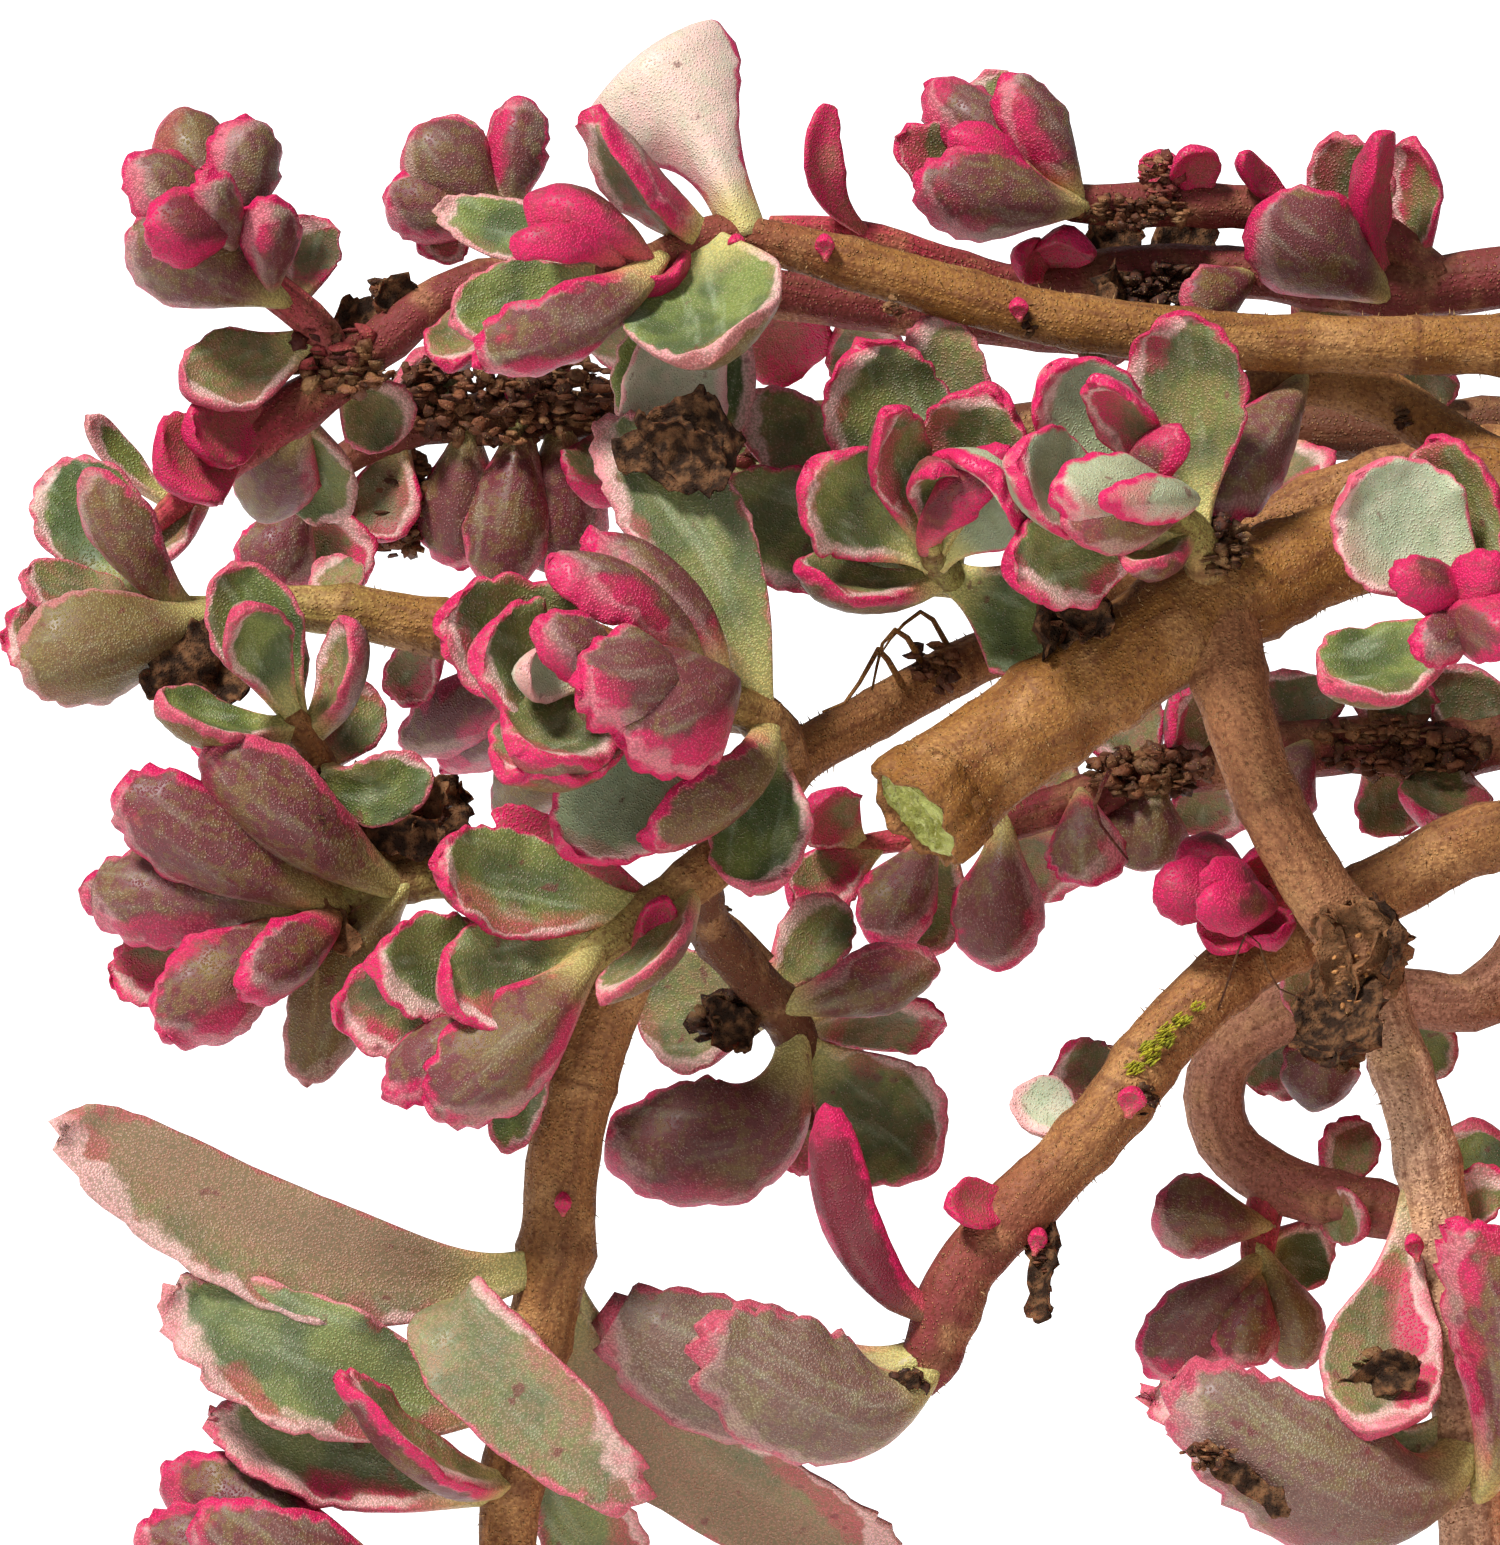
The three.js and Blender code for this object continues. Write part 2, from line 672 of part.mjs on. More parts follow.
const FAR_RUNNER = {
  name: "stem_far_runner",
  shape: FAR_LEAF,
  shoots: [
    {
      start: [0, 26, 1.5],
      arch: [
        [-10, 27, 100, 1.4],
        [-34, 25, 108, 1.3],
      ],
      route: [
        [1500, 425, 29, 1.25],
        [1200, 430, 29, 1.2],
        [900, 430, 28, 1.15],
        [650, 420, 27, 1.1],
        [500, 415, 26, 1],
        [400, 432, 25, 0.8],
        [330, 470, 24, 0.6],
        [285, 520, 24, 0.35],
      ],
      leaves: [
        [300, 500, 262, 590, 22, 3.6, 170, 0.12],
        [310, 490, 355, 590, 25, 3.4, 10, 0.12],
        [345, 462, 258, 468, 22, 3.2, 10, 0.1],
        [400, 432, 376, 545, 25, 3.2, 10, 0.1],
        [470, 418, 455, 570, 26, 3.8, 180, 0.1],
        [520, 415, 498, 590, 24, 3.8, 175, 0.1],
        [560, 416, 560, 580, 26, 4, 180, 0.1],
        [620, 418, 600, 500, 22, 4, 0, 0.1],
        [440, 424, 420, 350, 24, 3.6, 20, 0.1],
        [560, 416, 520, 348, 25, 3.6, 20, 0.1],
        [680, 421, 700, 350, 24, 3.6, 0, 0.1],
        [760, 425, 742, 520, 24, 4, 0, 0.1],
        [860, 430, 880, 520, 27, 4, 0, 0.1],
        [1280, 430, 1300, 500, 25, 4, 0, 0.1],
        [1400, 427, 1420, 350, 27, 4, 0, 0.1],
      ],
    },
  ],
};

const LOOP_RUNNER = {
  name: "stem_loop_runner",
  shape: FAR_LEAF,
  shoots: [
    {
      start: [-30, 17, 1.6],
      arch: [
        [-35, 18, 89, 1.5],
        [-46, 16, 91, 1.4],
      ],
      route: [
        [1500, 985, 20, 1.3],
        [1400, 998, 20, 1.25],
        [1290, 1012, 20, 1.25],
        [1222, 1062, 21, 1.25],
        [1222, 1135, 21, 1.25],
        [1285, 1185, 20, 1.25],
        [1390, 1212, 19, 1.2],
        [1480, 1240, 19, 1.1],
      ],
      leaves: [
        [1300, 1010, 1268, 1090, 24, 3.6, 0, 0.1],
        [1340, 1003, 1310, 1110, 22, 3.4, 175, 0.1],
        [1400, 998, 1420, 1080, 24, 4, 0, 0.1],
        [1330, 1197, 1360, 1120, 23, 2.6, 0, 0.1],
        [1300, 1190, 1368, 1232, 17, 2.4, 20, 0.1],
        [1460, 1233, 1482, 1120, 17, 4, 10, 0.1],
        [1470, 1237, 1430, 1300, 20, 3.4, 0, 0.1],
      ],
    },
    {
      route: [
        [1272, 1177, 20.2, 0.9],
        [1262, 1220, 20, 0.8],
        [1256, 1262, 19.5, 0.6],
        [1252, 1300, 19, 0.35],
      ],
      leaves: [
        [1262, 1225, 1152, 1212, 18, 3.6, 180, 0.12],
        [1258, 1250, 1308, 1370, 19, 3, 170, 0.12],
        [1256, 1262, 1148, 1375, 17, 3.8, 175, 0.12],
        [1254, 1285, 1238, 1366, 16, 3, 175, 0.15],
        [1258, 1245, 1330, 1260, 23, 3, 0, 0.1],
      ],
    },
  ],
};

// The stems that the photo doesn't show. Trailing stems go over the rim and hang round the front, right and
// back of the pot, and crown shoots stand up from the soil.
const TRAILING = {
  azimuths: [-112, -85, -59, -33, -7, 19, 45, 71, 98],
  footRadius: 33,
  overRim: 7,
  hang: [34, 50],
  reach: [64, 76],
  radius: 1.5,
  tipRadius: 0.4,
  pairs: 5,
  firstPair: 0.4,
  leafLength: [8, 13],
  leafWidth: [4.6, 6.2],
};
const CROWN = {
  feet: [
    [8, -22],
    [24, -10],
    [13, 3],
    [20, 18],
    [-13, -25],
  ],
  height: [22, 38],
  lean: [6, 14],
  radius: 1.3,
  tipRadius: 0.4,
  pairs: 4,
  firstPair: 0.45,
  leafLength: [7, 11],
  leafWidth: [4.2, 5.6],
};
const SEED = 20261;
const STEM_TURN = THREE.MathUtils.degToRad(22);
const STEM_STEP = 16;
const STEM_SIDES = 5;
const SEAM_CLEANING = 0.05;

// Park and Miller's generator, so that every run draws the same stems
function drawer(seed) {
  let state = seed;
  return (low, high) => {
    state = (state * 16807) % 2147483647;
    return low + ((high - low) * state) / 2147483647;
  };
}

// The point that the photo shows at a pixel, at a depth behind the plane of sharp focus
function seen(px, py, depth) {
  const scale = (VIEW_DISTANCE + depth) / VIEW_DISTANCE / PX_PER_MM;
  return FOCUS.clone()
    .addScaledVector(FORWARD, depth)
    .addScaledVector(RIGHT, (px - PHOTO_CENTRE.x) * scale)
    .addScaledVector(UPWARD, (PHOTO_CENTRE.y - py) * scale);
}

// The pixel at which the photo shows a point
function pixelOf(point) {
  const offset = point.clone().sub(FOCUS);
  const scale = (PX_PER_MM * VIEW_DISTANCE) / (VIEW_DISTANCE + offset.dot(FORWARD));
  const x = PHOTO_CENTRE.x + offset.dot(RIGHT) * scale;
  const y = PHOTO_CENTRE.y - offset.dot(UPWARD) * scale;
  return new THREE.Vector2(x, y);
}

// A stem's axis through its knots: points and radii at any share of its length
class Axis {
  constructor(knots) {
    this.radii = knots.map((knot) => knot.radius);
    this.curve = new THREE.CatmullRomCurve3(
      knots.map((knot) => knot.point),
      false,
      "catmullrom",
      0.5,
    );
    this.rings = this.stations();
  }

  point(t) {
    return this.curve.getPoint(t);
  }

  tangent(t) {
    return this.curve.getTangent(t);
  }

  radius(t) {
    const place = t * (this.radii.length - 1);
    const i = Math.min(Math.floor(place), this.radii.length - 2);
    return THREE.MathUtils.lerp(this.radii[i], this.radii[i + 1], place - i);
  }

  // The middle of the faceted stem, which cuts the curve's bends short
  core(t) {
    const next = Math.max(1, this.rings.findIndex((share) => share >= t));
    const [from, to] = [this.rings[next - 1], this.rings[next]];
    return this.point(from).lerp(this.point(to), (t - from) / (to - from));
  }

  // The middle of the stem where the photo shows it nearest to a pixel, short of its thin end
  nearest(px, py) {
    const wanted = new THREE.Vector2(px, py);
    const steps = (this.radii.length - 1) * 12;
    let best = { distance: Infinity };
    for (let k = 0; k <= steps - 4; k += 1) {
      const point = this.core(k / steps);
      const distance = pixelOf(point).distanceTo(wanted);
      if (distance < best.distance) best = { distance, point };
    }
    return best.point;
  }

  // The shares at which a ring of corners is needed: after each small turn or long straight stretch
  stations() {
    const steps = (this.radii.length - 1) * 8;
    const shares = [0];
    for (let k = 1; k < steps - 2; k += 1) {
      const [last, t] = [shares.at(-1), k / steps];
      const turn = this.tangent(last).angleTo(this.tangent(t));
      const length = this.point(last).distanceTo(this.point(t));
      if (turn > STEM_TURN || length > STEM_STEP) shares.push(t);
    }
    return [...shares, 1];
  }
}

// Turns a list of corners and triangles into a solid
function solid(corners, triangles) {
  const geometry = new THREE.BufferGeometry().setFromPoints(corners);
  geometry.setIndex(triangles.flat());
  const merged = mergeVertices(geometry, 1e-4);
  return new wasm.Manifold(
    new wasm.Mesh({
      numProp: 3,
      vertProperties: new Float32Array(merged.attributes.position.array),
      triVerts: new Uint32Array(merged.index.array),
    }),
  );
}

// A stem as rings of corners round its axis, closed at both ends
function stemSolid(axis, sides = STEM_SIDES) {
  const shares = axis.rings;
  const corners = [];
  let across = new THREE.Vector3(0, 1, 0);
  shares.forEach((t) => {
    const along = axis.tangent(t);
    across = across.clone().addScaledVector(along, -across.dot(along)).normalize();
    const side = along.clone().cross(across);
    for (let k = 0; k < sides; k += 1) {
      const angle = (2 * Math.PI * k) / sides;
      const corner = axis.point(t);
      corner.addScaledVector(across, Math.cos(angle) * axis.radius(t));
      corner.addScaledVector(side, Math.sin(angle) * axis.radius(t));
      corners.push(corner);
    }
  });
  const triangles = [];
  for (let i = 0; i + 1 < shares.length; i += 1) {
    for (let k = 0; k < sides; k += 1) {
      const [a, b] = [i * sides + k, i * sides + ((k + 1) % sides)];
      triangles.push([a, b, b + sides], [a, b + sides, a + sides]);
    }
  }
  const last = corners.length - sides;
  for (let k = 1; k + 1 < sides; k += 1) {
    triangles.push([0, k + 1, k], [last, last + k, last + k + 1]);
  }
  return solid(corners, triangles);
}

// Half the width of a leaf at a share of its length: a thin petiole, then a blade with a round end
function halfWidth(s, width) {
  if (s > WIDEST) return (width / 2) * Math.sqrt(1 - ((s - WIDEST) / (1 - WIDEST)) ** 2);
  return (width / 2) * THREE.MathUtils.lerp(PETIOLE, 1, THREE.MathUtils.smoothstep(s, 0, WIDEST));
}

// A leaf's rib as a curve from root to tip, and the directions across the blade and out of its upper face
function leafFrame({ root, tip, facing, roll = 0, bend = USUAL_BEND, toward = null }) {
  const chord = tip.clone().sub(root);
  const length = chord.length();
  chord.normalize();
  const normal = facing.clone().addScaledVector(chord, -facing.dot(chord)).normalize();
  normal.applyAxisAngle(chord, THREE.MathUtils.degToRad(roll));
  const middle = root.clone().lerp(tip, 0.5).addScaledVector(normal, -2 * bend * length);
  const rib = new THREE.QuadraticBezierCurve3(root, toward ?? middle, tip);
  return (s) => {
    const point = rib.getPoint(s);
    const along = rib.getTangent(s);
    const out = normal.clone().addScaledVector(along, -normal.dot(along)).normalize();
    return { point, out, across: along.clone().cross(out) };
  };
}

// A leaf as a lens: an outline with crenate edges, and a rib that stands out above and below
function leafSolid(leaf, shape) {
  const frameAt = leafFrame(leaf);
  const corners = [frameAt(0).point, frameAt(1).point];
  const [root, tip] = [{ s: 0, index: 0 }, { s: 1, index: 1 }];
  const edges = [1, -1].map((side) =>
    shape.outline.map(([s, tooth]) => {
      const { point, out, across } = frameAt(s);
      const half = halfWidth(s, leaf.width) * tooth;
      point.addScaledVector(across, side * half).addScaledVector(out, CUP * half);
      return { s, index: corners.push(point) - 1 };
    }),
  );
  const triangles = [];
  [1, -1].forEach((face) => {
    const rib = shape.rib.map((s) => {
      const { point, out } = frameAt(s);
      point.addScaledVector(out, (face * LEAF_THICKNESS) / 2);
      return { s, index: corners.push(point) - 1 };
    });
    edges.forEach((edge, e) => {
      const turned = (face > 0) === (e > 0);
      const strip = between([root, ...edge, tip], [root, ...rib, tip]);
      triangles.push(...strip.map(([a, b, c]) => (turned ? [a, c, b] : [a, b, c])));
    });
  });
  return solid(corners, triangles);
}

// The triangles between two chains of corners that start and end at the same corners
function between(edge, rib) {
  const strip = [];
  let [i, j] = [0, 0];
  while (i + 1 < edge.length || j + 1 < rib.length) {
    const edgeNext = j + 1 >= rib.length || (i + 1 < edge.length && edge[i + 1].s <= rib[j + 1].s);
    const next = edgeNext ? edge[i + 1] : rib[j + 1];
    const corners = [edge[i].index, next.index, rib[j].index];
    if (new Set(corners).size === 3) strip.push(corners);
    if (edgeNext) i += 1;
    else j += 1;
  }
  return strip;
}

// A stem with its leaves as one body
function fuse(name, solids) {
  const joined = wasm.Manifold.union(solids).simplify(SEAM_CLEANING);
  const bodies = joined.decompose().filter((body) => body.volume() > 0);
  if (bodies.length !== 1) throw new Error(`${name} is ${bodies.length} bodies`);
  return bodies[0];
}

// The knots of a stem's foot, upright in the soil and for a short way above it
function footKnots([x, y, radius]) {
  const heights = [STEM_FOOT, STRAIGHT_TO, ABOVE_SOIL];
  return heights.map((z) => ({ point: new THREE.Vector3(x, y, z), radius }));
}

// A leafy stem of the side that the photo shows
function seenStem({ name, shape = NEAR_LEAF, shoots }) {
  const solids = [];
  shoots.forEach(({ start, arch = [], route, leaves }) => {
    const knots = start ? footKnots(start) : [];
    arch.forEach(([x, y, z, radius]) => knots.push({ point: new THREE.Vector3(x, y, z), radius }));
    route.forEach(([px, py, depth, radius]) => knots.push({ point: seen(px, py, depth), radius }));
    const axis = new Axis(knots);
    solids.push(stemSolid(axis));
    leaves.forEach(([rootX, rootY, tipX, tipY, tipDepth, width, roll, bend, ...turn]) => {
      const root = axis.nearest(rootX, rootY);
      const tip = seen(tipX, tipY, tipDepth);
      const toward = turn.length ? seen(...turn) : null;
      const leaf = { root, tip, facing: TO_VIEWER, width, roll, bend, toward };
      solids.push(leafSolid(leaf, width < SMALL_LEAF_WIDTH ? FAR_LEAF : shape));
    });
  });
  return fuse(name, solids);
}

// Pairs of leaves, each pair a quarter turn from the last, that shorten toward the shoot's end
function leafPairs(axis, rule, draw) {
  const solids = [];
  const twist = draw(0, Math.PI);
  for (let pair = 0; pair < rule.pairs; pair += 1) {
    const progress = pair / (rule.pairs - 1);
    const t = THREE.MathUtils.lerp(rule.firstPair, 0.985, 1 - (1 - progress) ** 1.5);
    const along = axis.tangent(t);
    const level = new THREE.Vector3(0, 0, 1).cross(along).normalize();
    const lift = THREE.MathUtils.degToRad(THREE.MathUtils.lerp(28, 62, progress));
    [0, Math.PI].forEach((half) => {
      const spread = level.clone().applyAxisAngle(along, twist + (pair * Math.PI) / 2 + half);
      const length = draw(...rule.leafLength) * THREE.MathUtils.lerp(1, 0.55, progress);
      const root = axis.core(t);
      const tip = root.clone();
      tip.addScaledVector(spread, Math.cos(lift) * length);
      tip.addScaledVector(along, Math.sin(lift) * length);
      const width = draw(...rule.leafWidth) * THREE.MathUtils.lerp(1, 0.7, progress);
      const roll = draw(-18, 18);
      const leaf = { root, tip, facing: along, width, roll, bend: draw(0.1, 0.2) };
      solids.push(leafSolid(leaf, FAR_LEAF));
    });
  }
  return solids;
}

// The knots of a route given by distance from the pot's middle, height and a sideways wander
function polarKnots(azimuth, rows) {
  const outward = new THREE.Vector3(Math.cos(azimuth), Math.sin(azimuth), 0);
  const sideways = new THREE.Vector3(-Math.sin(azimuth), Math.cos(azimuth), 0);
  return rows.map(([distance, wander, z, radius]) => {
    const point = new THREE.Vector3(0, 0, z);
    point.addScaledVector(outward, distance).addScaledVector(sideways, wander);
    return { point, radius };
  });
}

// A stem that goes over the rim and hangs beside the pot
function trailingStem(azimuthDegrees, draw) {
  const azimuth = THREE.MathUtils.degToRad(azimuthDegrees);
  const foot = TRAILING.footRadius + draw(-3, 3);
  const rise = POT_HEIGHT + TRAILING.overRim + draw(0, 6);
  const reach = draw(...TRAILING.reach);
  const bottom = draw(...TRAILING.hang);
  const wander = draw(-3, 3);
  const r = TRAILING.radius;
  const rows = [
    [foot, 0, STEM_FOOT, r],
    [foot, 0, STRAIGHT_TO, r],
    [foot + 1, 0, ABOVE_SOIL, r],
    [foot + 8, 0, rise - 1, r],
    [RIM_RADIUS, 0.4 * wander, rise, 0.95 * r],
    [RIM_RADIUS + 0.45 * (reach - RIM_RADIUS), wander, rise - 7, 0.85 * r],
    [RIM_RADIUS + 0.75 * (reach - RIM_RADIUS), 0.6 * wander, (rise + bottom) / 2 + 4, 0.7 * r],
    [reach - 1.5, -0.5 * wander, bottom + 7, 0.5 * r],
    [reach + 3, -wander, bottom, TRAILING.tipRadius],
  ];
  const axis = new Axis(polarKnots(azimuth, rows));
  return { axis, foot: rows[0], leaves: leafPairs(axis, TRAILING, draw) };
}

// A shoot that stands up from the soil and leans a little outward
function crownShoot([x, y], draw) {
  const azimuth = Math.atan2(y, x);
  const distance = Math.hypot(x, y);
  const height = draw(...CROWN.height);
  const lean = draw(...CROWN.lean);
  const r = CROWN.radius;
  const rows = [
    [distance, 0, STEM_FOOT, r],
    [distance, 0, STRAIGHT_TO, r],
    [distance + 0.3 * lean, draw(-1.5, 1.5), ABOVE_SOIL + 0.4 * height, 0.85 * r],
    [distance + 0.8 * lean, draw(-2, 2), ABOVE_SOIL + 0.75 * height, 0.65 * r],
    [distance + lean, draw(-2, 2), ABOVE_SOIL + height, CROWN.tipRadius],
  ];
  const axis = new Axis(polarKnots(azimuth, rows));
  return { axis, foot: rows[0], leaves: leafPairs(axis, CROWN, draw) };
}

// The pot's outer radius and inner radius at a height
function outerRadius(z) {
  const band = POT_HEIGHT - RIM_HEIGHT;
  return THREE.MathUtils.lerp(FOOT_RADIUS, RIM_RADIUS - RIM_STEP, z / band);
}

function innerRadius(z) {
  return THREE.MathUtils.mapLinear(z, FLOOR, POT_HEIGHT, outerRadius(FLOOR) - WALL, RIM_RADIUS - WALL);
}

// A closed three.js geometry as a solid
function asSolid(geometry) {
  geometry.deleteAttribute("normal");
  geometry.deleteAttribute("uv");
  const merged = mergeVertices(geometry, 1e-4);
  const vertProperties = new Float32Array(merged.attributes.position.array);
  const triVerts = new Uint32Array(merged.index.array);
  return new wasm.Manifold(new wasm.Mesh({ numProp: 3, vertProperties, triVerts }));
}

// A profile of radii and heights turned round the pot's upright axis
function turned(profile, sides) {
  const points = profile.map(([radius, z]) => new THREE.Vector2(radius, z));
  return new THREE.LatheGeometry(points, sides).rotateX(Math.PI / 2);
}

// An upright round peg, from its foot to its top
function peg(x, y, bottom, top, radius, sides) {
  const geometry = new THREE.CylinderGeometry(radius, radius, top - bottom, sides);
  return asSolid(geometry.rotateX(Math.PI / 2).translate(x, y, (bottom + top) / 2));
}

function potSolid() {
  const band = POT_HEIGHT - RIM_HEIGHT;
  const e = EDGE_ROUNDING;
  const profile = [
    [0, 0],
    [FOOT_RADIUS, 0],
    [RIM_RADIUS - RIM_STEP, band],
    [RIM_RADIUS - e, band],
    [RIM_RADIUS, band + e],
    [RIM_RADIUS, POT_HEIGHT - e],
    [RIM_RADIUS - e, POT_HEIGHT],
    [innerRadius(POT_HEIGHT) + e, POT_HEIGHT],
    [innerRadius(POT_HEIGHT - e), POT_HEIGHT - e],
    [innerRadius(FLOOR), FLOOR],
    [0, FLOOR],
  ];
  const body = asSolid(turned(profile, POT_SIDES));
  const drains = [];
  for (let k = 0; k < DRAIN_HOLES; k += 1) {
    const angle = (2 * Math.PI * (k + 0.25)) / DRAIN_HOLES;
    const [x, y] = [DRAIN_DISTANCE * Math.cos(angle), DRAIN_DISTANCE * Math.sin(angle)];
    drains.push(peg(x, y, -1, FLOOR + 1, DRAIN_RADIUS, DRAIN_SIDES));
  }
  return body.subtract(wasm.Manifold.union(drains));
}

// How far a small heap of soil lifts its surface at a place
function rise([heapX, heapY, size], x, y) {
  return SOIL_BUMP * Math.max(0, 1 - Math.hypot(x - heapX, y - heapY) / size);
}

// Soil that fills the pot, with an uneven top and a plain hole for each stem
function soilSolid(feet, draw) {
  const top = SOIL_TOP;
  const edge = innerRadius(top) - GAP;
  const rings = [...SOIL_RINGS].reverse();
  const profile = [
    [0, FLOOR + GAP],
    [innerRadius(FLOOR + GAP) - GAP, FLOOR + GAP],
    [edge, top],
    ...rings.map((radius) => [radius, top + SOIL_CROWN * (1 - (radius / edge) ** 2)]),
    [0, top + SOIL_CROWN],
  ];
  const bumps = Array.from({ length: 12 }, () => [draw(-35, 35), draw(-35, 35), draw(4, 9)]);
  const geometry = turned(profile, SOIL_SIDES);
  const corners = geometry.attributes.position;
  for (let i = 0; i < corners.count; i += 1) {
    const [x, y, z] = [corners.getX(i), corners.getY(i), corners.getZ(i)];
    if (z > top) corners.setZ(i, z + bumps.reduce((sum, bump) => sum + rise(bump, x, y), 0));
  }
  const body = asSolid(geometry);
  const holes = feet.map(([x, y, radius]) =>
    peg(x, y, STEM_FOOT - GAP, top + 8, radius + GAP + 0.1, HOLE_SIDES),
  );
  return body.subtract(wasm.Manifold.union(holes));
}

// A named mesh of a solid
function node(name, body, colour, roughness) {
  const { vertProperties, triVerts } = body.getMesh();
  const geometry = new THREE.BufferGeometry();
  geometry.setAttribute("position", new THREE.Float32BufferAttribute(vertProperties, 3));
  geometry.setIndex(Array.from(triVerts));
  const material = new THREE.MeshStandardMaterial({ color: colour, roughness, metalness: 0 });
  const mesh = new THREE.Mesh(geometry, material);
  mesh.name = name;
  return mesh;
}

function buildPlant() {
  const plant = new THREE.Group();
  const draw = drawer(SEED);
  const feet = [];
  const seenStems = [
    UPPER_RUNNER,
    MIDDLE_BRANCH,
    CUT_STEM,
    LOWER_RUNNER,
    UPPER_LEFT_RUNNER,
    TOP_SPRAY,
    BACK_RUNNER,
    FAR_RUNNER,
    LOOP_RUNNER,
  ];
  seenStems.forEach((stem) => {
    feet.push(stem.shoots[0].start);
    plant.add(node(stem.name, seenStem(stem), COLOURS.leaf, 0.6));
  });
  TRAILING.azimuths.forEach((azimuth, i) => {
    const { axis, leaves } = trailingStem(azimuth, draw);
    const foot = axis.point(0);
    feet.push([foot.x, foot.y, TRAILING.radius]);
    const name = `stem_trailing_${i + 1}`;
    plant.add(node(name, fuse(name, [stemSolid(axis), ...leaves]), COLOURS.leaf, 0.6));
  });
  CROWN.feet.forEach((place, i) => {
    const { axis, leaves } = crownShoot(place, draw);
    feet.push([...place, CROWN.radius]);
    const name = `stem_crown_${i + 1}`;
    plant.add(node(name, fuse(name, [stemSolid(axis), ...leaves]), COLOURS.leaf, 0.6));
  });
  plant.add(node("pot", potSolid(), COLOURS.clay, 0.85));
  plant.add(node("soil", soilSolid(feet, draw), COLOURS.soil, 1));
  return plant;
}

export default buildPlant();
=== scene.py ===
"""Dresses the potted variegated two-row stonecrop.

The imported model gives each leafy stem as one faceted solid. Here every stem and its leaves are made again
from the same routes and leaf rows, with fine crenate blades, nodes and leaf scars, and are given their
colours: sage green blades with cream and pink margins, maroon undersides, ochre bark. The pot and its soil
get a thrown and a crumbly surface. Lengths are in millimetres until a mesh is made, and in metres from there.
"""

import logging
import math
from collections.abc import Sequence
from dataclasses import dataclass, field
from enum import Enum, IntEnum
from itertools import combinations
from typing import Any, ClassVar, Self

import bpy
import numpy as np
from mathutils import Matrix, Vector
from mathutils.geometry import tessellate_polygon


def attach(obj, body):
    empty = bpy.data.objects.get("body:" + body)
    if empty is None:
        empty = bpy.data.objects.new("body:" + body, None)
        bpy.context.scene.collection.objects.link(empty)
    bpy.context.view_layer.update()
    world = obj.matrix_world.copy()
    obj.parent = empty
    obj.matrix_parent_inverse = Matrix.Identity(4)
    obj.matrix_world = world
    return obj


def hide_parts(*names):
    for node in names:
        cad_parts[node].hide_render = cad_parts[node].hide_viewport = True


Triple = tuple[float, float, float]
Knot = tuple[float, float, float, float]
Knots = list[tuple[np.ndarray, float]]
Socket = bpy.types.NodeSocket
Material = bpy.types.Material

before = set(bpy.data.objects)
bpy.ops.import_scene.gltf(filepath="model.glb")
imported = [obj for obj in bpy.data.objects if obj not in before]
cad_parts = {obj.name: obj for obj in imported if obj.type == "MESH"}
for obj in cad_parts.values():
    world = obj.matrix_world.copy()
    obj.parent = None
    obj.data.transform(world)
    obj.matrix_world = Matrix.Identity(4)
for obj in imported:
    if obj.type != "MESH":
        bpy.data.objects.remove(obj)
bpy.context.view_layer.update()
LOG = logging.getLogger("stonecrop")

MM = 0.001

# How the photo sees the plant: its scale, the point behind its centre pixel, and its slight look down
PHOTO_SIZE = (1500, 1545)
PX_PER_MM = 25.0
PHOTO_CENTRE = (750.0, 772.5)
FOCUS = np.array([-84.0, -8.0, 94.0])
VIEW_DISTANCE = 480.0
VIEW_TILT = math.radians(6)
RIGHT = np.array([1.0, 0.0, 0.0])
FORWARD = np.array([0.0, math.cos(VIEW_TILT), -math.sin(VIEW_TILT)])
UPWARD = np.array([0.0, math.sin(VIEW_TILT), math.cos(VIEW_TILT)])

# The pot and the soil, whose solids are dressed where they stand
POT_HEIGHT = 85.0
RIM_RADIUS = 50.0
RIM_HEIGHT = 18.0
RIM_STEP = 2.5
WALL = 5.0
FOOT_RADIUS = 35.0
FLOOR = 6.0
SOIL_TOP = 77.0
SOIL_CROWN = 1.5
SOIL_GAP = 0.3
STEM_FOOT = 66.0
STRAIGHT_TO = 80.0
ABOVE_SOIL = 86.0

# The leaves: where they are widest, their petiole's share of the width, and their thickness
WIDEST = 0.62
PETIOLE = 0.26
LEAF_THICKNESS = 1.1
CUP = 0.38
USUAL_BEND = 0.1
LAST_RING = math.radians(86)
SMALL_LEAF = 3.3

# The stems: steps along the skin in millimetres and points in a ring, the lengths over which the colour
# changes from the foot and to the tip, and an edge value for a skin that is far from any joint
NEAR_SKIN = (0.42, 18)
FAR_SKIN = (0.9, 10)
WORN_ALONG = (10, 22)
FRESH_ALONG = (13, 2)
NO_JOINT = 9.0

# The hairs of the bark: the radius of the foot, where round it their sides meet, how deep it is sunk, the
# least length and what is added to it at most, their colour before half of the bark's is mixed in, and how
# many grow on a square millimetre
HAIR_RADIUS = 0.045
HAIR_SIDES = (0.0, 2.1, 4.2)
HAIR_SUNK = 0.04
HAIR_LENGTH = (0.13, 0.25)
HAIR_TONE = (0.92, 0.80, 0.62)
YOUNG_HAIRS = 1.1
OLD_HAIRS = 2.2

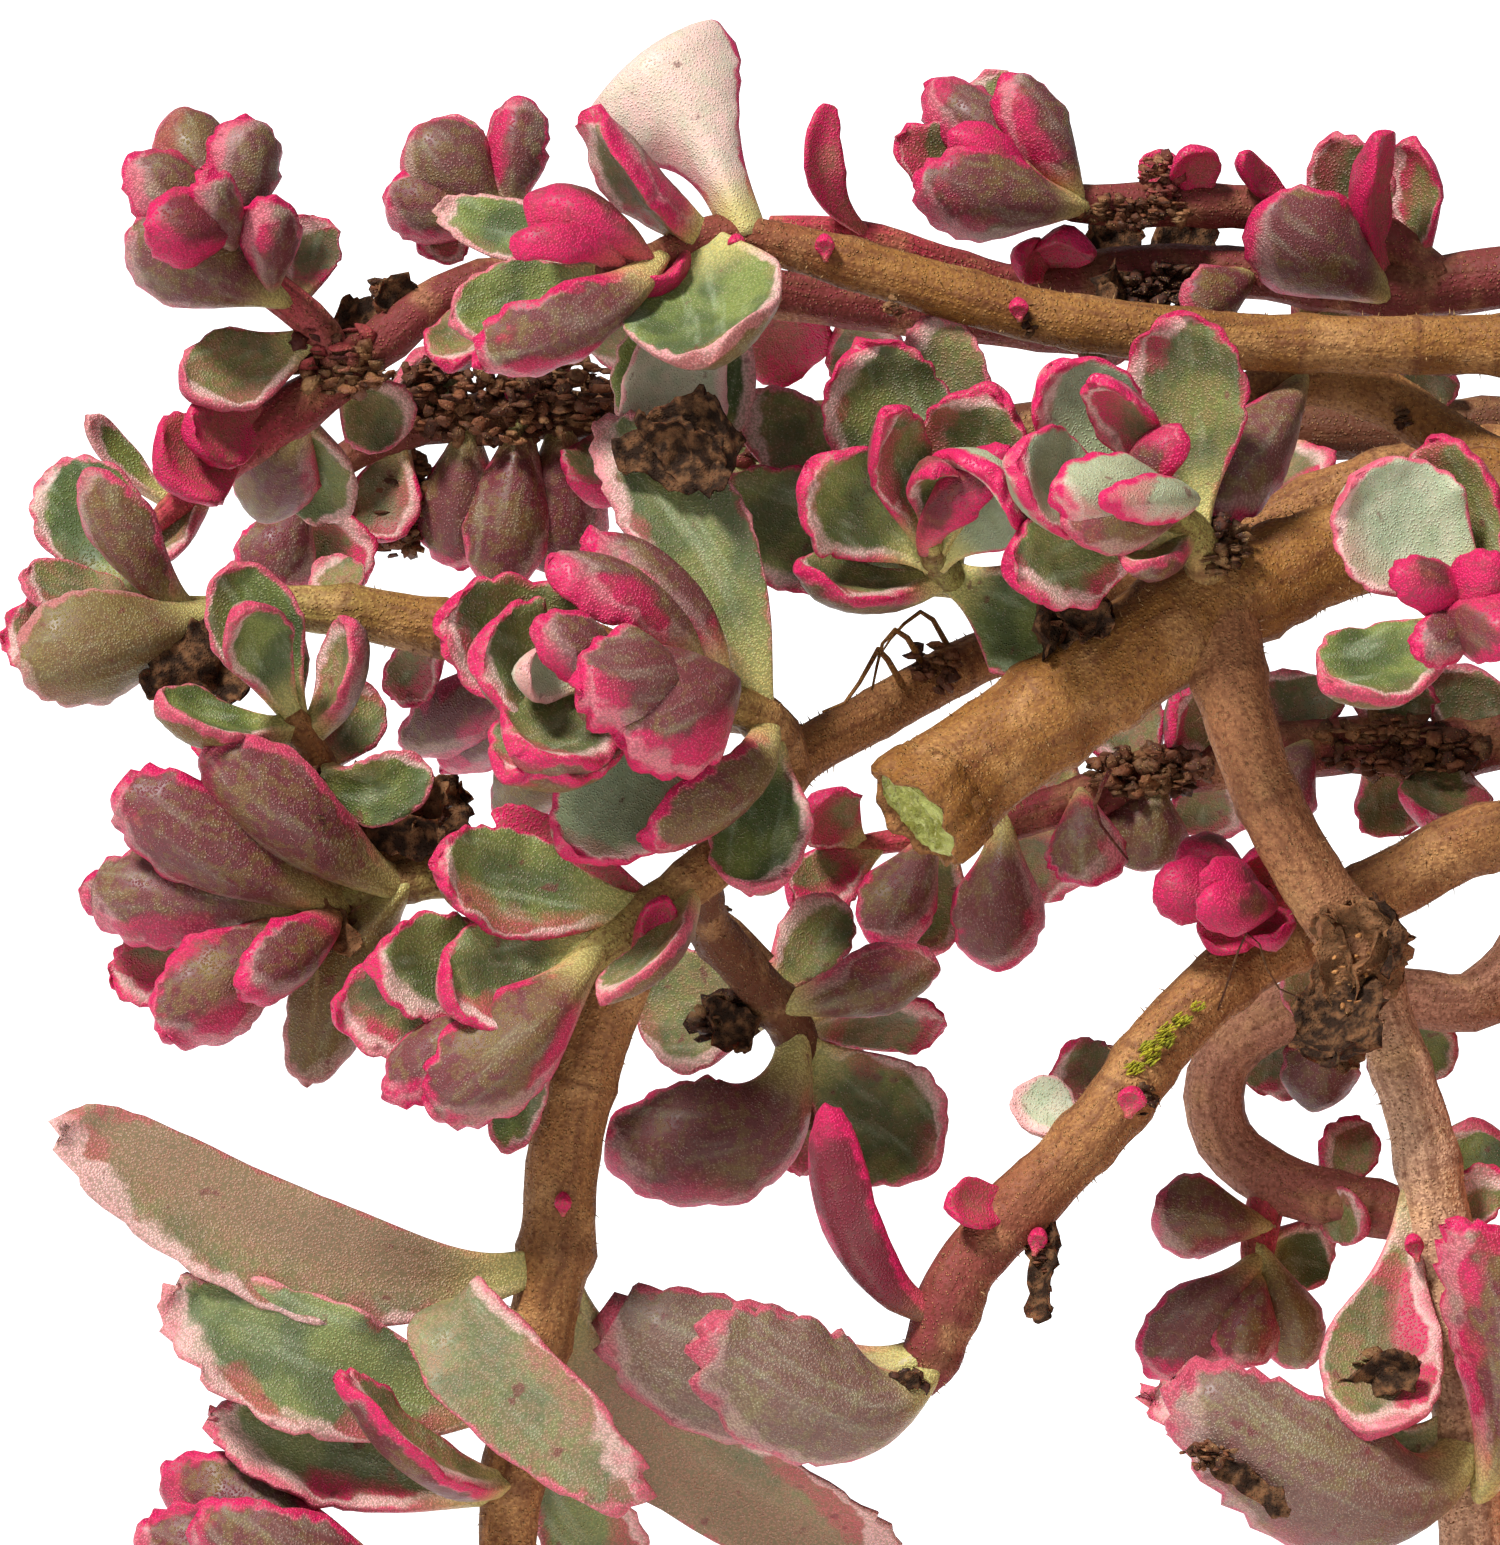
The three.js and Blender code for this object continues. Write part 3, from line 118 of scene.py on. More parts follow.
# The cut end: the torn lip's rows as a share of the stem's radius, a rise and how torn they are, the pith's
# rows as a share of the radius, and how far the cut slants
TORN_LIP = ((1.0, -0.6, 0), (1.04, 0.0, 0.6), (1.02, 0.3, 1), (0.93, 0.25, 1), (0.87, -0.3, 0.4))
PITH_ROWS = (0.9, 0.84, 0.77, 0.69, 0.61, 0.53, 0.45, 0.37, 0.29, 0.21, 0.13, 0.05)
CUT_SLANT = 0.3

# The shapes of loose bits and of moss blades, as shares of their radius
CRUMB_SHAPE = (1.5, 1.0, 0.3)
MOSS_SHAPE = (0.35, 0.35, 1.7)
ANY_TURN = 6.28


class Detail(Enum):
    """How finely leaves are made: rings to the widest point, rings beyond it, and points in a ring."""

    NEAR = (20, 16, 28)
    SMALL = (12, 11, 20)
    FAR = (11, 9, 18)


class Finish(IntEnum):
    """The finishes of a leafy stem, as its surfaces number them."""

    LEAF = 0
    BARK = 1
    PITH = 2
    MOSS = 3


class SoilFinish(IntEnum):
    """The finishes of the soil, as its surfaces number them."""

    EARTH = 0
    CHIPS = 1
    GRIT = 2


@dataclass(frozen=True)
class LeafLook:
    """How a leaf is coloured.

    Attributes:
        blush: how far the pink of the margin spreads inward.
        ruddy: how maroon the underside is.
        pale: how washed out the whole blade is.
        dry: 1 for a dead, brown and crumpled leaf.
        teeth: the height of the crenate margin as a share of the half width.
        blunt: 2 for an elliptic end, more for an end cut off square.
        widest: where along the leaf it is widest.
        flare: above 1 for a blade that stays narrow for longer, below 1 for one that widens at once.
        rim: how hot the pink of the very edge is; below 0.3 only the lower edge has a margin and teeth.
    """

    blush: float = 0.35
    ruddy: float = 0.45
    pale: float = 0.0
    dry: float = 0.0
    teeth: float = 0.055
    blunt: float = 2.2
    widest: float = WIDEST
    flare: float = 1.0
    rim: float = 1.0


class Look(Enum):
    """The kinds of leaf on the plant."""

    GREEN = LeafLook(blush=0.2, ruddy=0.3)
    RIMMED = LeafLook(blush=0.45, ruddy=0.55, teeth=0.08)
    OLIVE = LeafLook(blush=0.25, ruddy=0.25, rim=0.4)
    TAWNY = LeafLook(blush=0.35, ruddy=0.75, rim=0.8)
    RUDDY = LeafLook(blush=0.5, ruddy=1.1, teeth=0.08)
    PINK = LeafLook(blush=0.72, ruddy=1.0, teeth=0.1)
    HOT = LeafLook(blush=2.2, ruddy=1.0, teeth=0.06)
    CRIMSON = LeafLook(blush=2.4, ruddy=2.2, teeth=0.04)
    PALE = LeafLook(blush=0.3, ruddy=0.1, pale=1.0, rim=0.3)
    MINT = LeafLook(blush=0.4, ruddy=0.15, pale=0.7)
    FROSTED = LeafLook(blush=0.4, ruddy=0, pale=0.92, rim=0.8)
    LONG = LeafLook(blush=0.35, ruddy=1.1, pale=0.1, teeth=0.07, blunt=2.6, rim=0.12)
    LONG_GREEN = LeafLook(blush=0.45, ruddy=0.4, pale=0.1, teeth=0.12, rim=0.5)
    LONG_PINK = LeafLook(blush=0.8, ruddy=0.5, pale=0.2, teeth=0.12, rim=0.8)
    SPOON = LeafLook(blush=0.25, ruddy=0.9, pale=0.2, teeth=0.1, blunt=2.4, rim=0.8)
    BROAD = LeafLook(blush=0.28, ruddy=1.15, pale=0.2, teeth=0.1, blunt=2.4, rim=0.7)
    FAN = LeafLook(blush=0.4, ruddy=0.8, pale=1.35, teeth=0.05, blunt=6.0, widest=0.9, flare=2.0)
    OVAL = LeafLook(blush=0.2, ruddy=0.1, teeth=0.02, widest=0.5, flare=0.5, rim=0.4)
    BOWL = LeafLook(blush=0.9, ruddy=1.1, pale=0.1, teeth=0.05, widest=0.75, flare=2.2, rim=0.6)
    DEAD = LeafLook(blush=0, ruddy=0, dry=1, teeth=0.15, blunt=3.0)
    PAPERY = LeafLook(blush=0, ruddy=1, dry=1, teeth=0.2, blunt=3.0)


class Bark(Enum):
    """The colours of a stem's skin, as sRGB shares."""

    OCHRE = (0.61, 0.42, 0.24)
    OLIVE = (0.56, 0.38, 0.17)
    PURPLE = (0.68, 0.47, 0.37)
    CORKY = (0.80, 0.62, 0.49)
    RUSSET = (0.64, 0.43, 0.28)
    MAROON = (0.47, 0.18, 0.19)
    DARK = (0.36, 0.22, 0.14)
    PINK = (0.72, 0.20, 0.28)
    LIME = (0.62, 0.60, 0.32)
    SCORCHED = (0.15, 0.10, 0.07)


class Listed:
    """What the tables below list by the row."""

    @classmethod
    def rows(cls, *rows: Sequence[Any]) -> tuple[Self, ...]:
        """One for each row of its fields."""
        return tuple(cls(*row) for row in rows)


@dataclass(frozen=True)
class Leaf(Listed):
    """One leaf as the photo shows it.

    Its root is a step along the shoot, in 24ths of the way between two knots. Roll 0 turns the upper face to
    the viewer and 180 the underside. It bends by a share of its length, or toward a point.
    """

    look: Look
    root: int
    tip_x: float
    tip_y: float
    tip_depth: float
    width: float
    roll: float = 0.0
    bend: float = USUAL_BEND
    toward: Triple | None = None


@dataclass(frozen=True)
class Shoot:
    """A stem or side shoot.

    Attributes:
        route: photo points as pixel x, pixel y, depth and radius.
        leaves: the leaves that grow from it.
        start: x, y and radius of its foot in the soil, for a stem that stands there.
        arch: points x, y, z and radius between the soil and the edge of the photo.
        bark: the colour of its old skin.
        tip: the colour of its growing end.
        middle: the colour that its skin takes on along the way, if it changes.
        cut: whether its end is a cut face.
    """

    route: tuple[Knot, ...]
    leaves: tuple[Leaf, ...]
    start: Triple | None = None
    arch: tuple[Knot, ...] = ()
    bark: Bark = Bark.OCHRE
    tip: Bark = Bark.MAROON
    middle: Bark | None = None
    cut: bool = False


@dataclass(frozen=True)
class Thread:
    """A rootlet, hair or thin twig: photo points as pixel x, pixel y, depth and radius, and its colour."""

    route: tuple[Knot, ...]
    tone: Bark = Bark.OLIVE


@dataclass(frozen=True)
class Flake(Listed):
    """A dead scrap, bud or leaflet against a stem or leaf: two ends by pixel, and its depth and width."""

    look: Look
    from_x: float
    from_y: float
    to_x: float
    to_y: float
    depth: float
    width: float
    roll: float = 0.0


@dataclass(frozen=True)
class Heap(Listed):
    """Loose bits that cling to a stem.

    Attributes:
        x: its middle, in pixels across.
        y: its middle, in pixels down.
        depth: its depth.
        reach_x: how far it spreads to each side, in pixels.
        reach_y: how far it spreads up and down, in pixels.
        count: how many bits it has.
        size: the radius of a bit in millimetres.
        tone: the colour of the bits, or None for moss.
    """

    x: float
    y: float
    depth: float
    reach_x: float
    reach_y: float
    count: int
    size: float
    tone: Bark | None = Bark.DARK


@dataclass(frozen=True)
class SeenStem:
    """A leafy stem of the side that the photo shows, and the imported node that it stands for."""

    node: str
    shoots: tuple[Shoot, ...]
    detail: Detail = Detail.NEAR
    threads: tuple[Thread, ...] = ()
    heaps: tuple[Heap, ...] = ()
    flakes: tuple[Flake, ...] = ()


(
    GREEN, RIMMED, OLIVE, TAWNY, RUDDY, PINK, HOT, CRIMSON, PALE, MINT, FROSTED, LONG, LONG_GREEN, LONG_PINK,
    SPOON, BROAD, FAN, OVAL, BOWL, DEAD, PAPERY,
) = Look

# The stems of the side that the photo shows. A row holds the fields of one leaf, heap or flake in their order
SEEN_STEMS = (
SeenStem("stem_upper_runner", shoots=(
Shoot(bark=Bark.OLIVE, start=(-12, -3, 1.5),
    arch=((-15, -4, 97, 1.4), (-30, -8, 107, 1.3), (-46, -10, 111, 1.25)), route=(
    (1500, 345, -1, 1.2), (1400, 345, -1, 1.15), (1250, 342, -1, 1.15), (1150, 332, -2, 1.15),
    (1050, 318, -2, 1.1), (960, 295, -2, 1.1), (880, 272, -2, 1.05), (810, 252, -2, 0.95),
    (740, 238, -2, 0.85), (690, 243, -2.5, 0.7), (640, 262, -4, 0.5), (600, 272, -5, 0.35),
), leaves=Leaf.rows(
    (FAN, 339, 640, 54, 0, 6.8, 182, 0, (710, 138, -1.5)),
    (RUDDY, 361, 596, 108, -5, 3.8, -72, 0, (650, 215, -4)), (HOT, 367, 636, 292, -5, 2.6, 60),
    (HOT, 391, 524, 200, -5, 3.2, 215, 0.2), (HOT, 407, 508, 245, -6.5, 2.2, 235, 0.2),
    (OLIVE, 391, 436, 208, -1, 2.6, 15), (GREEN, 407, 449, 322, -4, 3.6, 12, 0.15),
    (PINK, 385, 474, 362, -7, 3.6, 145, 0.18), (OVAL, 360, 708, 366, -9, 6.6, 14),
    (OLIVE, 350, 662, 470, 0.5, 5.8, 8, 0.12), (PALE, 355, 655, 500, -3.5, 4.6, -20),
)),
), heaps=Heap.rows(
    (1462, 345, -1.4, 14, 20, 16, 0.19), (1028, 318, -3, 8, 16, 14, 0.19, Bark.SCORCHED),
    (895, 308, -3, 8, 10, 12, 0.15),
), flakes=Flake.rows(
    (DEAD, 616, 456, 738, 436, -6.4, 4.2), (DEAD, 636, 420, 722, 474, -6.7, 2.6, 30),
    (HOT, 738, 262, 736, 236, -3.2, 0.8), (HOT, 826, 262, 824, 236, -3.2, 0.8),
    (HOT, 1020, 322, 1018, 300, -3.2, 0.8),
)),
SeenStem("stem_middle_branch", shoots=(
Shoot(tip=Bark.LIME, start=(-24, 6, 1.6), arch=((-28, 7, 97, 1.5), (-44, 4, 106, 1.35)), route=(
    (1500, 455, 10, 1.25), (1350, 490, 10, 1.2), (1200, 560, 9, 1.15), (1060, 622, 6, 1.1),
    (1010, 645, 4, 1.05), (960, 667, 2, 1.05), (880, 712, 0, 1.05), (800, 757, -2, 1.05), (765, 805, -4, 1),
    (735, 845, -5, 1), (690, 882, -6, 0.95), (640, 920, -6.5, 0.85), (590, 955, -7, 0.75),
    (530, 990, -7.5, 0.55), (480, 1020, -8, 0.35),
), leaves=Leaf.rows(
    (RIMMED, 385, 428, 862, -10, 4.6, 22, 0.12), (RIMMED, 405, 440, 996, -11, 4.8, 8, 0.12),
    (RIMMED, 424, 368, 966, -9, 4.4), (PINK, 441, 333, 1012, -7, 4.4, -14),
    (PINK, 414, 432, 1118, -10, 4.6, 165, 0.15), (TAWNY, 366, 600, 1002, -10, 2.8, 60, 0, (680, 960, -10)),
    (GREEN, 435, 506, 1154, -6, 2.4), (PINK, 452, 386, 1100, -9, 3, 200, 0.15),
    (HOT, 380, 494, 812, -5, 2, 10, 0.05),
)),
Shoot(tip=Bark.LIME, route=(
    (790, 768, -2.5, 1), (772, 728, -4.5, 0.9), (735, 705, -6.5, 0.8), (680, 692, -8.5, 0.65),
    (625, 686, -10.5, 0.5), (580, 682, -12, 0.35),
), leaves=Leaf.rows(
    (RIMMED, 90, 438, 612, -10, 5.2, 0, 0.15), (RIMMED, 105, 474, 650, -13, 5.2, 20, 0.2),
    (PINK, 110, 536, 622, -15.5, 2.8, 200, 0.22), (PINK, 95, 578, 686, -16.5, 4.6, 185, 0.3),
    (PINK, 77, 618, 742, -15.5, 5.4, 160, 0.34), (PINK, 72, 549, 556, -11, 4, 252, 0.15),
    (PINK, 63, 586, 532, -9, 4, 256, 0.15), (LONG_GREEN, 35, 604, 428, -4, 4.6, 10, 0, (735, 560, -7)),
    (RIMMED, 88, 500, 776, -13.5, 5, 40), (MINT, 56, 562, 852, -10.5, 5, 0, 0.12),
    (RIMMED, 35, 644, 842, -11.5, 3.4, 118, 0.15), (GREEN, 26, 754, 898, -8, 4.2, 14, 0.08),
    (PALE, 116, 520, 670, -15, 2.2, 10, 0.2), (RIMMED, 95, 512, 758, -15, 4.6, 35),
    (RIMMED, 68, 640, 440, -4, 3.4, -10),
)),
Shoot(tip=Bark.OCHRE, route=(
    (655, 910, -6.4, 0.9), (618, 985, -4.5, 1.3), (585, 1065, -4, 1.45), (563, 1160, -4, 1.5),
    (556, 1250, -4, 1.45), (540, 1330, -4, 1.3), (522, 1420, -4, 1.25), (510, 1500, -4, 1.2),
    (506, 1590, -4, 1.1), (500, 1690, -3, 0.9), (494, 1790, -2, 0.7), (486, 1880, -1, 0.4),
), leaves=Leaf.rows(
    (LONG, 100, 62, 1118, -9, 5, 0, 0, (372, 1345, -7)),
    (LONG_GREEN, 141, 165, 1296, -8, 5.4, 10, 0, (360, 1420, -8)),
    (LONG_PINK, 170, 212, 1415, -6, 3.8, 30, 0, (330, 1500, -7)),
    (RUDDY, 167, 335, 1378, -11, 3.4, 72, 0, (440, 1500, -10)),
    (SPOON, 127, 640, 1500, -9, 4.6, 10, 0, (330, 1236, -13)),
    (LONG, 100, 895, 1552, 3, 5.2, 20, 0, (585, 1440, 1)), (TAWNY, 234, 380, 1800, -5, 5, 20),
    (TAWNY, 234, 620, 1790, 2, 5, 20), (RIMMED, 260, 430, 1930, -6, 4, 0, 0.15),
    (PINK, 263, 500, 1960, -4, 3, 10, 0.15), (LONG_GREEN, 151, 640, 1610, 1, 4),
    (TAWNY, 260, 545, 1940, 2, 4, 0, 0.15),
)),
Shoot(bark=Bark.MAROON, tip=Bark.PINK, route=(
    (506, 1590, -4, 1.1), (450, 1598, -5.5, 0.8), (385, 1592, -6, 0.55), (330, 1588, -6, 0.35),
), leaves=Leaf.rows(
    (PINK, 39, 160, 1472, -5, 4.6, 160, 0.12), (PINK, 51, 136, 1535, -7, 4.4, 170, 0.12),
    (RUDDY, 35, 188, 1522, -10, 5, 150, 0.14), (PINK, 60, 170, 1640, -8, 4.4, 0, 0.12),
    (TAWNY, 43, 290, 1720, -8, 4.6, 10, 0.12), (PINK, 71, 225, 1590, -9, 2.8, 30, 0.2),
)),
Shoot(bark=Bark.DARK, tip=Bark.DARK, route=(
    (700, 875, -5.8, 0.8), (708, 925, -2, 0.95), (748, 972, 1, 0.95), (790, 1026, 3, 0.85),
    (812, 1090, 4, 0.6), (812, 1130, 4, 0.35),
), leaves=Leaf.rows(
    (RUDDY, 80, 602, 1140, 2, 5.4, 170, 0, (800, 1180, 1)), (TAWNY, 68, 640, 1012, 7, 5),
    (TAWNY, 84, 936, 1168, 2, 5.4, 0, 0.08), (TAWNY, 67, 940, 962, 2, 3, 200, 0.12),
    (RUDDY, 78, 944, 1024, 7, 3, 40), (TAWNY, 64, 840, 900, 7, 3), (RUDDY, 95, 798, 1176, 6, 2, 20),
    (RUDDY, 86, 860, 1090, 9, 3),
)),
Shoot(tip=Bark.LIME, route=(
    (640, 918, -6.4, 0.75), (560, 890, 0.5, 0.85), (480, 878, 1, 0.85), (415, 880, 0, 0.85),
    (340, 902, 0, 0.65), (275, 918, 0, 0.4),
), leaves=Leaf.rows(
    (TAWNY, 82, 204, 746, -4, 4.4, 150, 0.12), (RUDDY, 102, 114, 788, -3, 4.6, 160, 0.12),
    (PINK, 114, 82, 892, 0, 4.2, 180, 0.12), (PINK, 119, 110, 985, 2.5, 3.6, 10),
    (PINK, 118, 158, 1034, -3, 4.4, 165, 0.15), (PINK, 108, 240, 992, -5, 3.2, 140, 0.15),
    (OLIVE, 78, 304, 1086, 0, 3.6, 175, 0, (350, 930, -1)), (GREEN, 55, 350, 838, 2.5, 2.2, 10, 0.05),
    (TAWNY, 12, 486, 1105, -2, 2.2, 10),
)),
Shoot(tip=Bark.OCHRE, route=(
    (420, 879, 0.3, 0.75), (372, 838, 1, 0.75), (330, 790, 0.5, 0.75), (306, 742, -1, 0.65),
    (292, 712, -2, 0.35),
), leaves=Leaf.rows(
    (GREEN, 87, 228, 562, -2, 3.8), (GREEN, 95, 242, 606, -6.5, 3, 10, 0.15),
    (OLIVE, 89, 272, 608, 0.5, 2.2, 20, 0.12), (TAWNY, 82, 354, 620, -3.5, 3.2, -60, 0.12),
    (GREEN, 91, 156, 703, -5, 3.4, 62, 0.12), (GREEN, 65, 422, 762, -2, 3, 20, 0, (370, 815, -3)),
    (TAWNY, 62, 372, 690, 4, 2.8, 10), (HOT, 70, 192, 738, 2, 2, 0, 0.05), (DEAD, 33, 304, 800, -4, 3, 40),
    (DEAD, 11, 462, 792, 4.5, 2.6, 20),
)),
Shoot(bark=Bark.OLIVE, tip=Bark.LIME, route=(
    (758, 716, -5.2, 0.9), (690, 690, 1, 1), (600, 655, 4.5, 1.1), (450, 630, 5, 1.2), (350, 612, 5, 1.05),
    (270, 608, 5, 0.85), (200, 612, 4.5, 0.6), (150, 600, 4, 0.35),
), leaves=Leaf.rows(
    (OLIVE, 148, 18, 668, 0.5, 4.8, 165, 0.12), (PINK, 155, 2, 645, 6, 4), (TAWNY, 162, 18, 580, 4, 3, 40),
    (TAWNY, 155, 84, 470, 1.5, 3, 150, 0.12), (GREEN, 167, 48, 468, 7, 4.4),
    (DEAD, 125, 148, 690, 1.5, 2.8, 150), (PINK, 57, 402, 752, 10, 3, 170, 0.05),
    (GREEN, 46, 500, 822, 10, 3.4, 180, 0.05), (TAWNY, 102, 332, 560, 9, 2.4),
    (RUDDY, 77, 395, 700, 8, 2.4, 10), (PINK, 52, 442, 768, 12, 3, 175, 0.05),
)),
), threads=(
    Thread((
        (905, 690, 0, 0.16), (880, 650, -2, 0.12), (868, 668, -3, 0.1), (846, 702, -3, 0.08),
        (822, 712, -3, 0.05),
    )),
    Thread(((925, 668, 1, 0.16), (902, 632, -1, 0.12), (884, 640, -2, 0.08), (872, 690, -3, 0.05))),
    Thread(((950, 650, 2, 0.14), (925, 612, 0, 0.1), (898, 630, -1, 0.07), (880, 655, -2, 0.04))),
    Thread(((770, 960, 1, 0.25), (736, 925, 1, 0.25), (712, 905, 1, 0.12)), Bark.DARK),
), heaps=Heap.rows(
    (932, 668, 0.5, 24, 26, 52, 0.31), (380, 808, 0, 66, 28, 160, 0.3), (336, 925, -0.5, 24, 26, 40, 0.31),
    (200, 668, 4, 44, 16, 52, 0.37), (725, 1020, 2.5, 30, 28, 48, 0.37, Bark.SCORCHED),
    (712, 912, 1, 14, 14, 16, 0.22, Bark.SCORCHED),
), flakes=Flake.rows(
    (PAPERY, 320, 800, 452, 800, -1.2, 2.2), (DEAD, 330, 836, 448, 836, -1.6, 2, 30),
    (PAPERY, 350, 776, 420, 826, -1.4, 1.8, 50), (PAPERY, 318, 900, 356, 952, -1.4, 1.2),
    (DEAD, 188, 655, 250, 690, 2.4, 2.2), (HOT, 563, 1216, 563, 1196, -5.6, 0.7),
    (DEAD, 708, 1000, 752, 1046, 1.6, 2), (HOT, 640, 950, 668, 898, -8, 1.5, 30),
)),
SeenStem("stem_cut_and_regrown", shoots=(
Shoot(bark=Bark.OLIVE, tip=Bark.OLIVE, cut=True, start=(-24, -9, 2.1),
    arch=((-29, -11, 96, 2.05), (-43, -12, 103, 2)), route=(
    (1500, 498, -2, 1.95), (1400, 532, -2, 1.95), (1300, 565, -3, 2), (1215, 605, -4, 2.3),
    (1150, 643, -5, 2.25), (1080, 692, -5.5, 2.2), (1000, 748, -6, 2.2), (955, 782, -6.5, 2.3),
    (932, 803, -7.25, 2.5),
), leaves=Leaf.rows(
    (DEAD, 239, 1046, 592, -7.5, 3, 30, 0.15), (DEAD, 185, 1196, 500, -1, 1.8, 0, 0.05),
)),
Shoot(bark=Bark.RUSSET, middle=Bark.CORKY, route=(
    (1222, 612, -4.5, 1.6), (1232, 690, -6, 1.45), (1264, 790, -6.5, 1.3), (1312, 880, -6, 1.35),
    (1362, 955, -5.5, 1.3), (1388, 1030, -5, 1.15), (1420, 1130, -5, 1.25), (1440, 1230, -5, 1.3),
    (1452, 1330, -5, 1.2), (1466, 1430, -5, 1.25), (1472, 1545, -5, 1.3), (1480, 1650, -5, 1.1),
    (1482, 1760, -5, 0.85), (1474, 1850, -5, 0.45),
), leaves=Leaf.rows(
    (DEAD, 88, 1336, 1066, -9, 3.8, 20), (DEAD, 93, 1402, 930, -8.5, 3),
    (BOWL, 153, 1368, 1440, -10, 5, 0, 0.12), (BROAD, 221, 1178, 1378, -11, 6, 165, 0, (1420, 1600, -10)),
    (LONG_PINK, 214, 1146, 1392, -5, 3.4, 0, 0, (1400, 1520, -6)),
    (PINK, 236, 1452, 1225, -11, 4.6, 170, 0, (1560, 1400, -10)), (TAWNY, 268, 1380, 1700, -8, 5, 10),
    (TAWNY, 268, 1560, 1700, -6, 4.4, 10), (RIMMED, 311, 1420, 1930, -7, 4.2, 0, 0.15),
    (RIMMED, 311, 1530, 1925, -6, 4.2, 0, 0.15), (PINK, 174, 1500, 1170, -3, 2.2),
)),
Shoot(bark=Bark.DARK, tip=Bark.LIME, route=(
    (1130, 655, -3.5, 0.9), (1060, 618, -1, 0.8), (1000, 598, -1, 0.75), (955, 580, -3, 0.65),
    (935, 560, -5.5, 0.5), (932, 540, -8, 0.35),
), leaves=Leaf.rows(
    (RIMMED, 92, 862, 338, -4, 5.4, 6, 0.12), (TAWNY, 80, 938, 312, -1.5, 4, -4, 0.08),
    (RIMMED, 115, 996, 388, -9, 4.4, -12, 0.12), (RIMMED, 99, 806, 468, -8, 4.8, 0, 0.14),
    (RIMMED, 112, 888, 408, -11, 3, 30, 0.12), (RIMMED, 70, 702, 506, 1, 5, 14, 0.05),
    (TAWNY, 74, 750, 400, 3, 4, 10, 0.05), (RIMMED, 85, 796, 572, -7, 3.2, 58, 0.14),
    (GREEN, 80, 1080, 642, -6, 5.2, 0, 0.12), (MINT, 101, 996, 468, -12, 5, -8, 0.14),
    (HOT, 119, 1010, 448, -11, 2.4, 150, 0.2), (RIMMED, 117, 940, 470, -12.5, 2, 20, 0.2),
)),
Shoot(bark=Bark.DARK, tip=Bark.LIME, route=(
    (1205, 600, -4.5, 0.9), (1205, 560, -6, 0.8), (1190, 528, -7.5, 0.65), (1165, 512, -9.5, 0.5),
    (1145, 508, -11.5, 0.35),
), leaves=Leaf.rows(
    (RIMMED, 45, 1180, 310, -7, 5, -6), (MINT, 68, 1044, 366, -10, 4.6, 8, 0.12),
    (PINK, 78, 1096, 376, -13, 2.8, -40, 0.12), (MINT, 84, 1010, 462, -14, 4.4, 25, 0.18),
    (MINT, 90, 1052, 490, -16.5, 3.4, 190, 0.25), (TAWNY, 95, 1062, 520, -16, 3, 170, 0.28),
    (RIMMED, 62, 1006, 572, -11, 4.4, -10), (PINK, 72, 1180, 430, -13, 3, 100, 0.25),
    (TAWNY, 52, 1130, 568, -11, 2.4, 60, 0.12), (MINT, 95, 1100, 500, -17.5, 2, 190, 0.3),
)),
Shoot(bark=Bark.OLIVE, tip=Bark.OCHRE, route=(
    (1560, 480, -2, 1.1), (1500, 468, 0.5, 1.1), (1432, 428, 1.8, 1.1), (1380, 396, 2, 1.1),
    (1310, 380, 2, 1.05), (1262, 390, 1, 1), (1238, 412, 0, 0.85),
), leaves=Leaf.rows(
    (RUDDY, 108, 1206, 520, -5, 3.4, 165, 0.12),
)),
Shoot(bark=Bark.PURPLE, tip=Bark.PINK, route=(
    (1530, 488, -2.5, 1.2), (1535, 560, -6, 1), (1510, 605, -8.5, 0.8), (1475, 612, -10, 0.6),
    (1450, 612, -11.5, 0.4),
), leaves=Leaf.rows(
    (FROSTED, 66, 1346, 476, -10, 5.6, 5), (GREEN, 78, 1322, 690, -13, 4.4, 40, 0.12),
    (RIMMED, 59, 1432, 436, -8, 4, -40), (HOT, 91, 1392, 572, -15, 2.4, 200, 0.2),
    (PINK, 95, 1416, 655, -15, 2.4, 160, 0.2), (RIMMED, 66, 1610, 500, -9, 5.4),
    (TAWNY, 74, 1600, 660, -13, 5), (HOT, 91, 1500, 556, -15, 3, 190, 0.2),
    (HOT, 91, 1520, 640, -16, 3, 190, 0.2),
)),
), threads=(
    Thread(((1110, 770, 2, 0.1), (1095, 812, 3, 0.08), (1128, 860, 3, 0.05)), Bark.MAROON),
), heaps=Heap.rows(
    (1352, 975, -7.3, 22, 42, 30, 0.12, Bark.OCHRE), (1224, 545, -6.5, 26, 28, 68, 0.31, Bark.SCORCHED),
    (1075, 604, -6, 30, 32, 68, 0.37), (1240, 420, -0.5, 18, 30, 40, 0.25, Bark.SCORCHED),
    (1378, 1376, -8, 40, 28, 60, 0.28, Bark.SCORCHED), (1208, 1456, -11.6, 28, 14, 44, 0.16),
    (1402, 418, 0.8, 8, 12, 16, 0.19, Bark.SCORCHED),
), flakes=Flake.rows(
    (PAPERY, 1346, 1044, 1366, 900, -6.9, 3.4), (PAPERY, 1350, 1040, 1402, 930, -6.8, 2.2, 40),
    (PAPERY, 1344, 1034, 1324, 908, -6.8, 1.6, -40), (PAPERY, 1354, 1026, 1332, 1066, -6.8, 2),
    (DEAD, 1234, 400, 1222, 482, -2, 1.2), (DEAD, 1042, 580, 1108, 630, -7.2, 1.8),
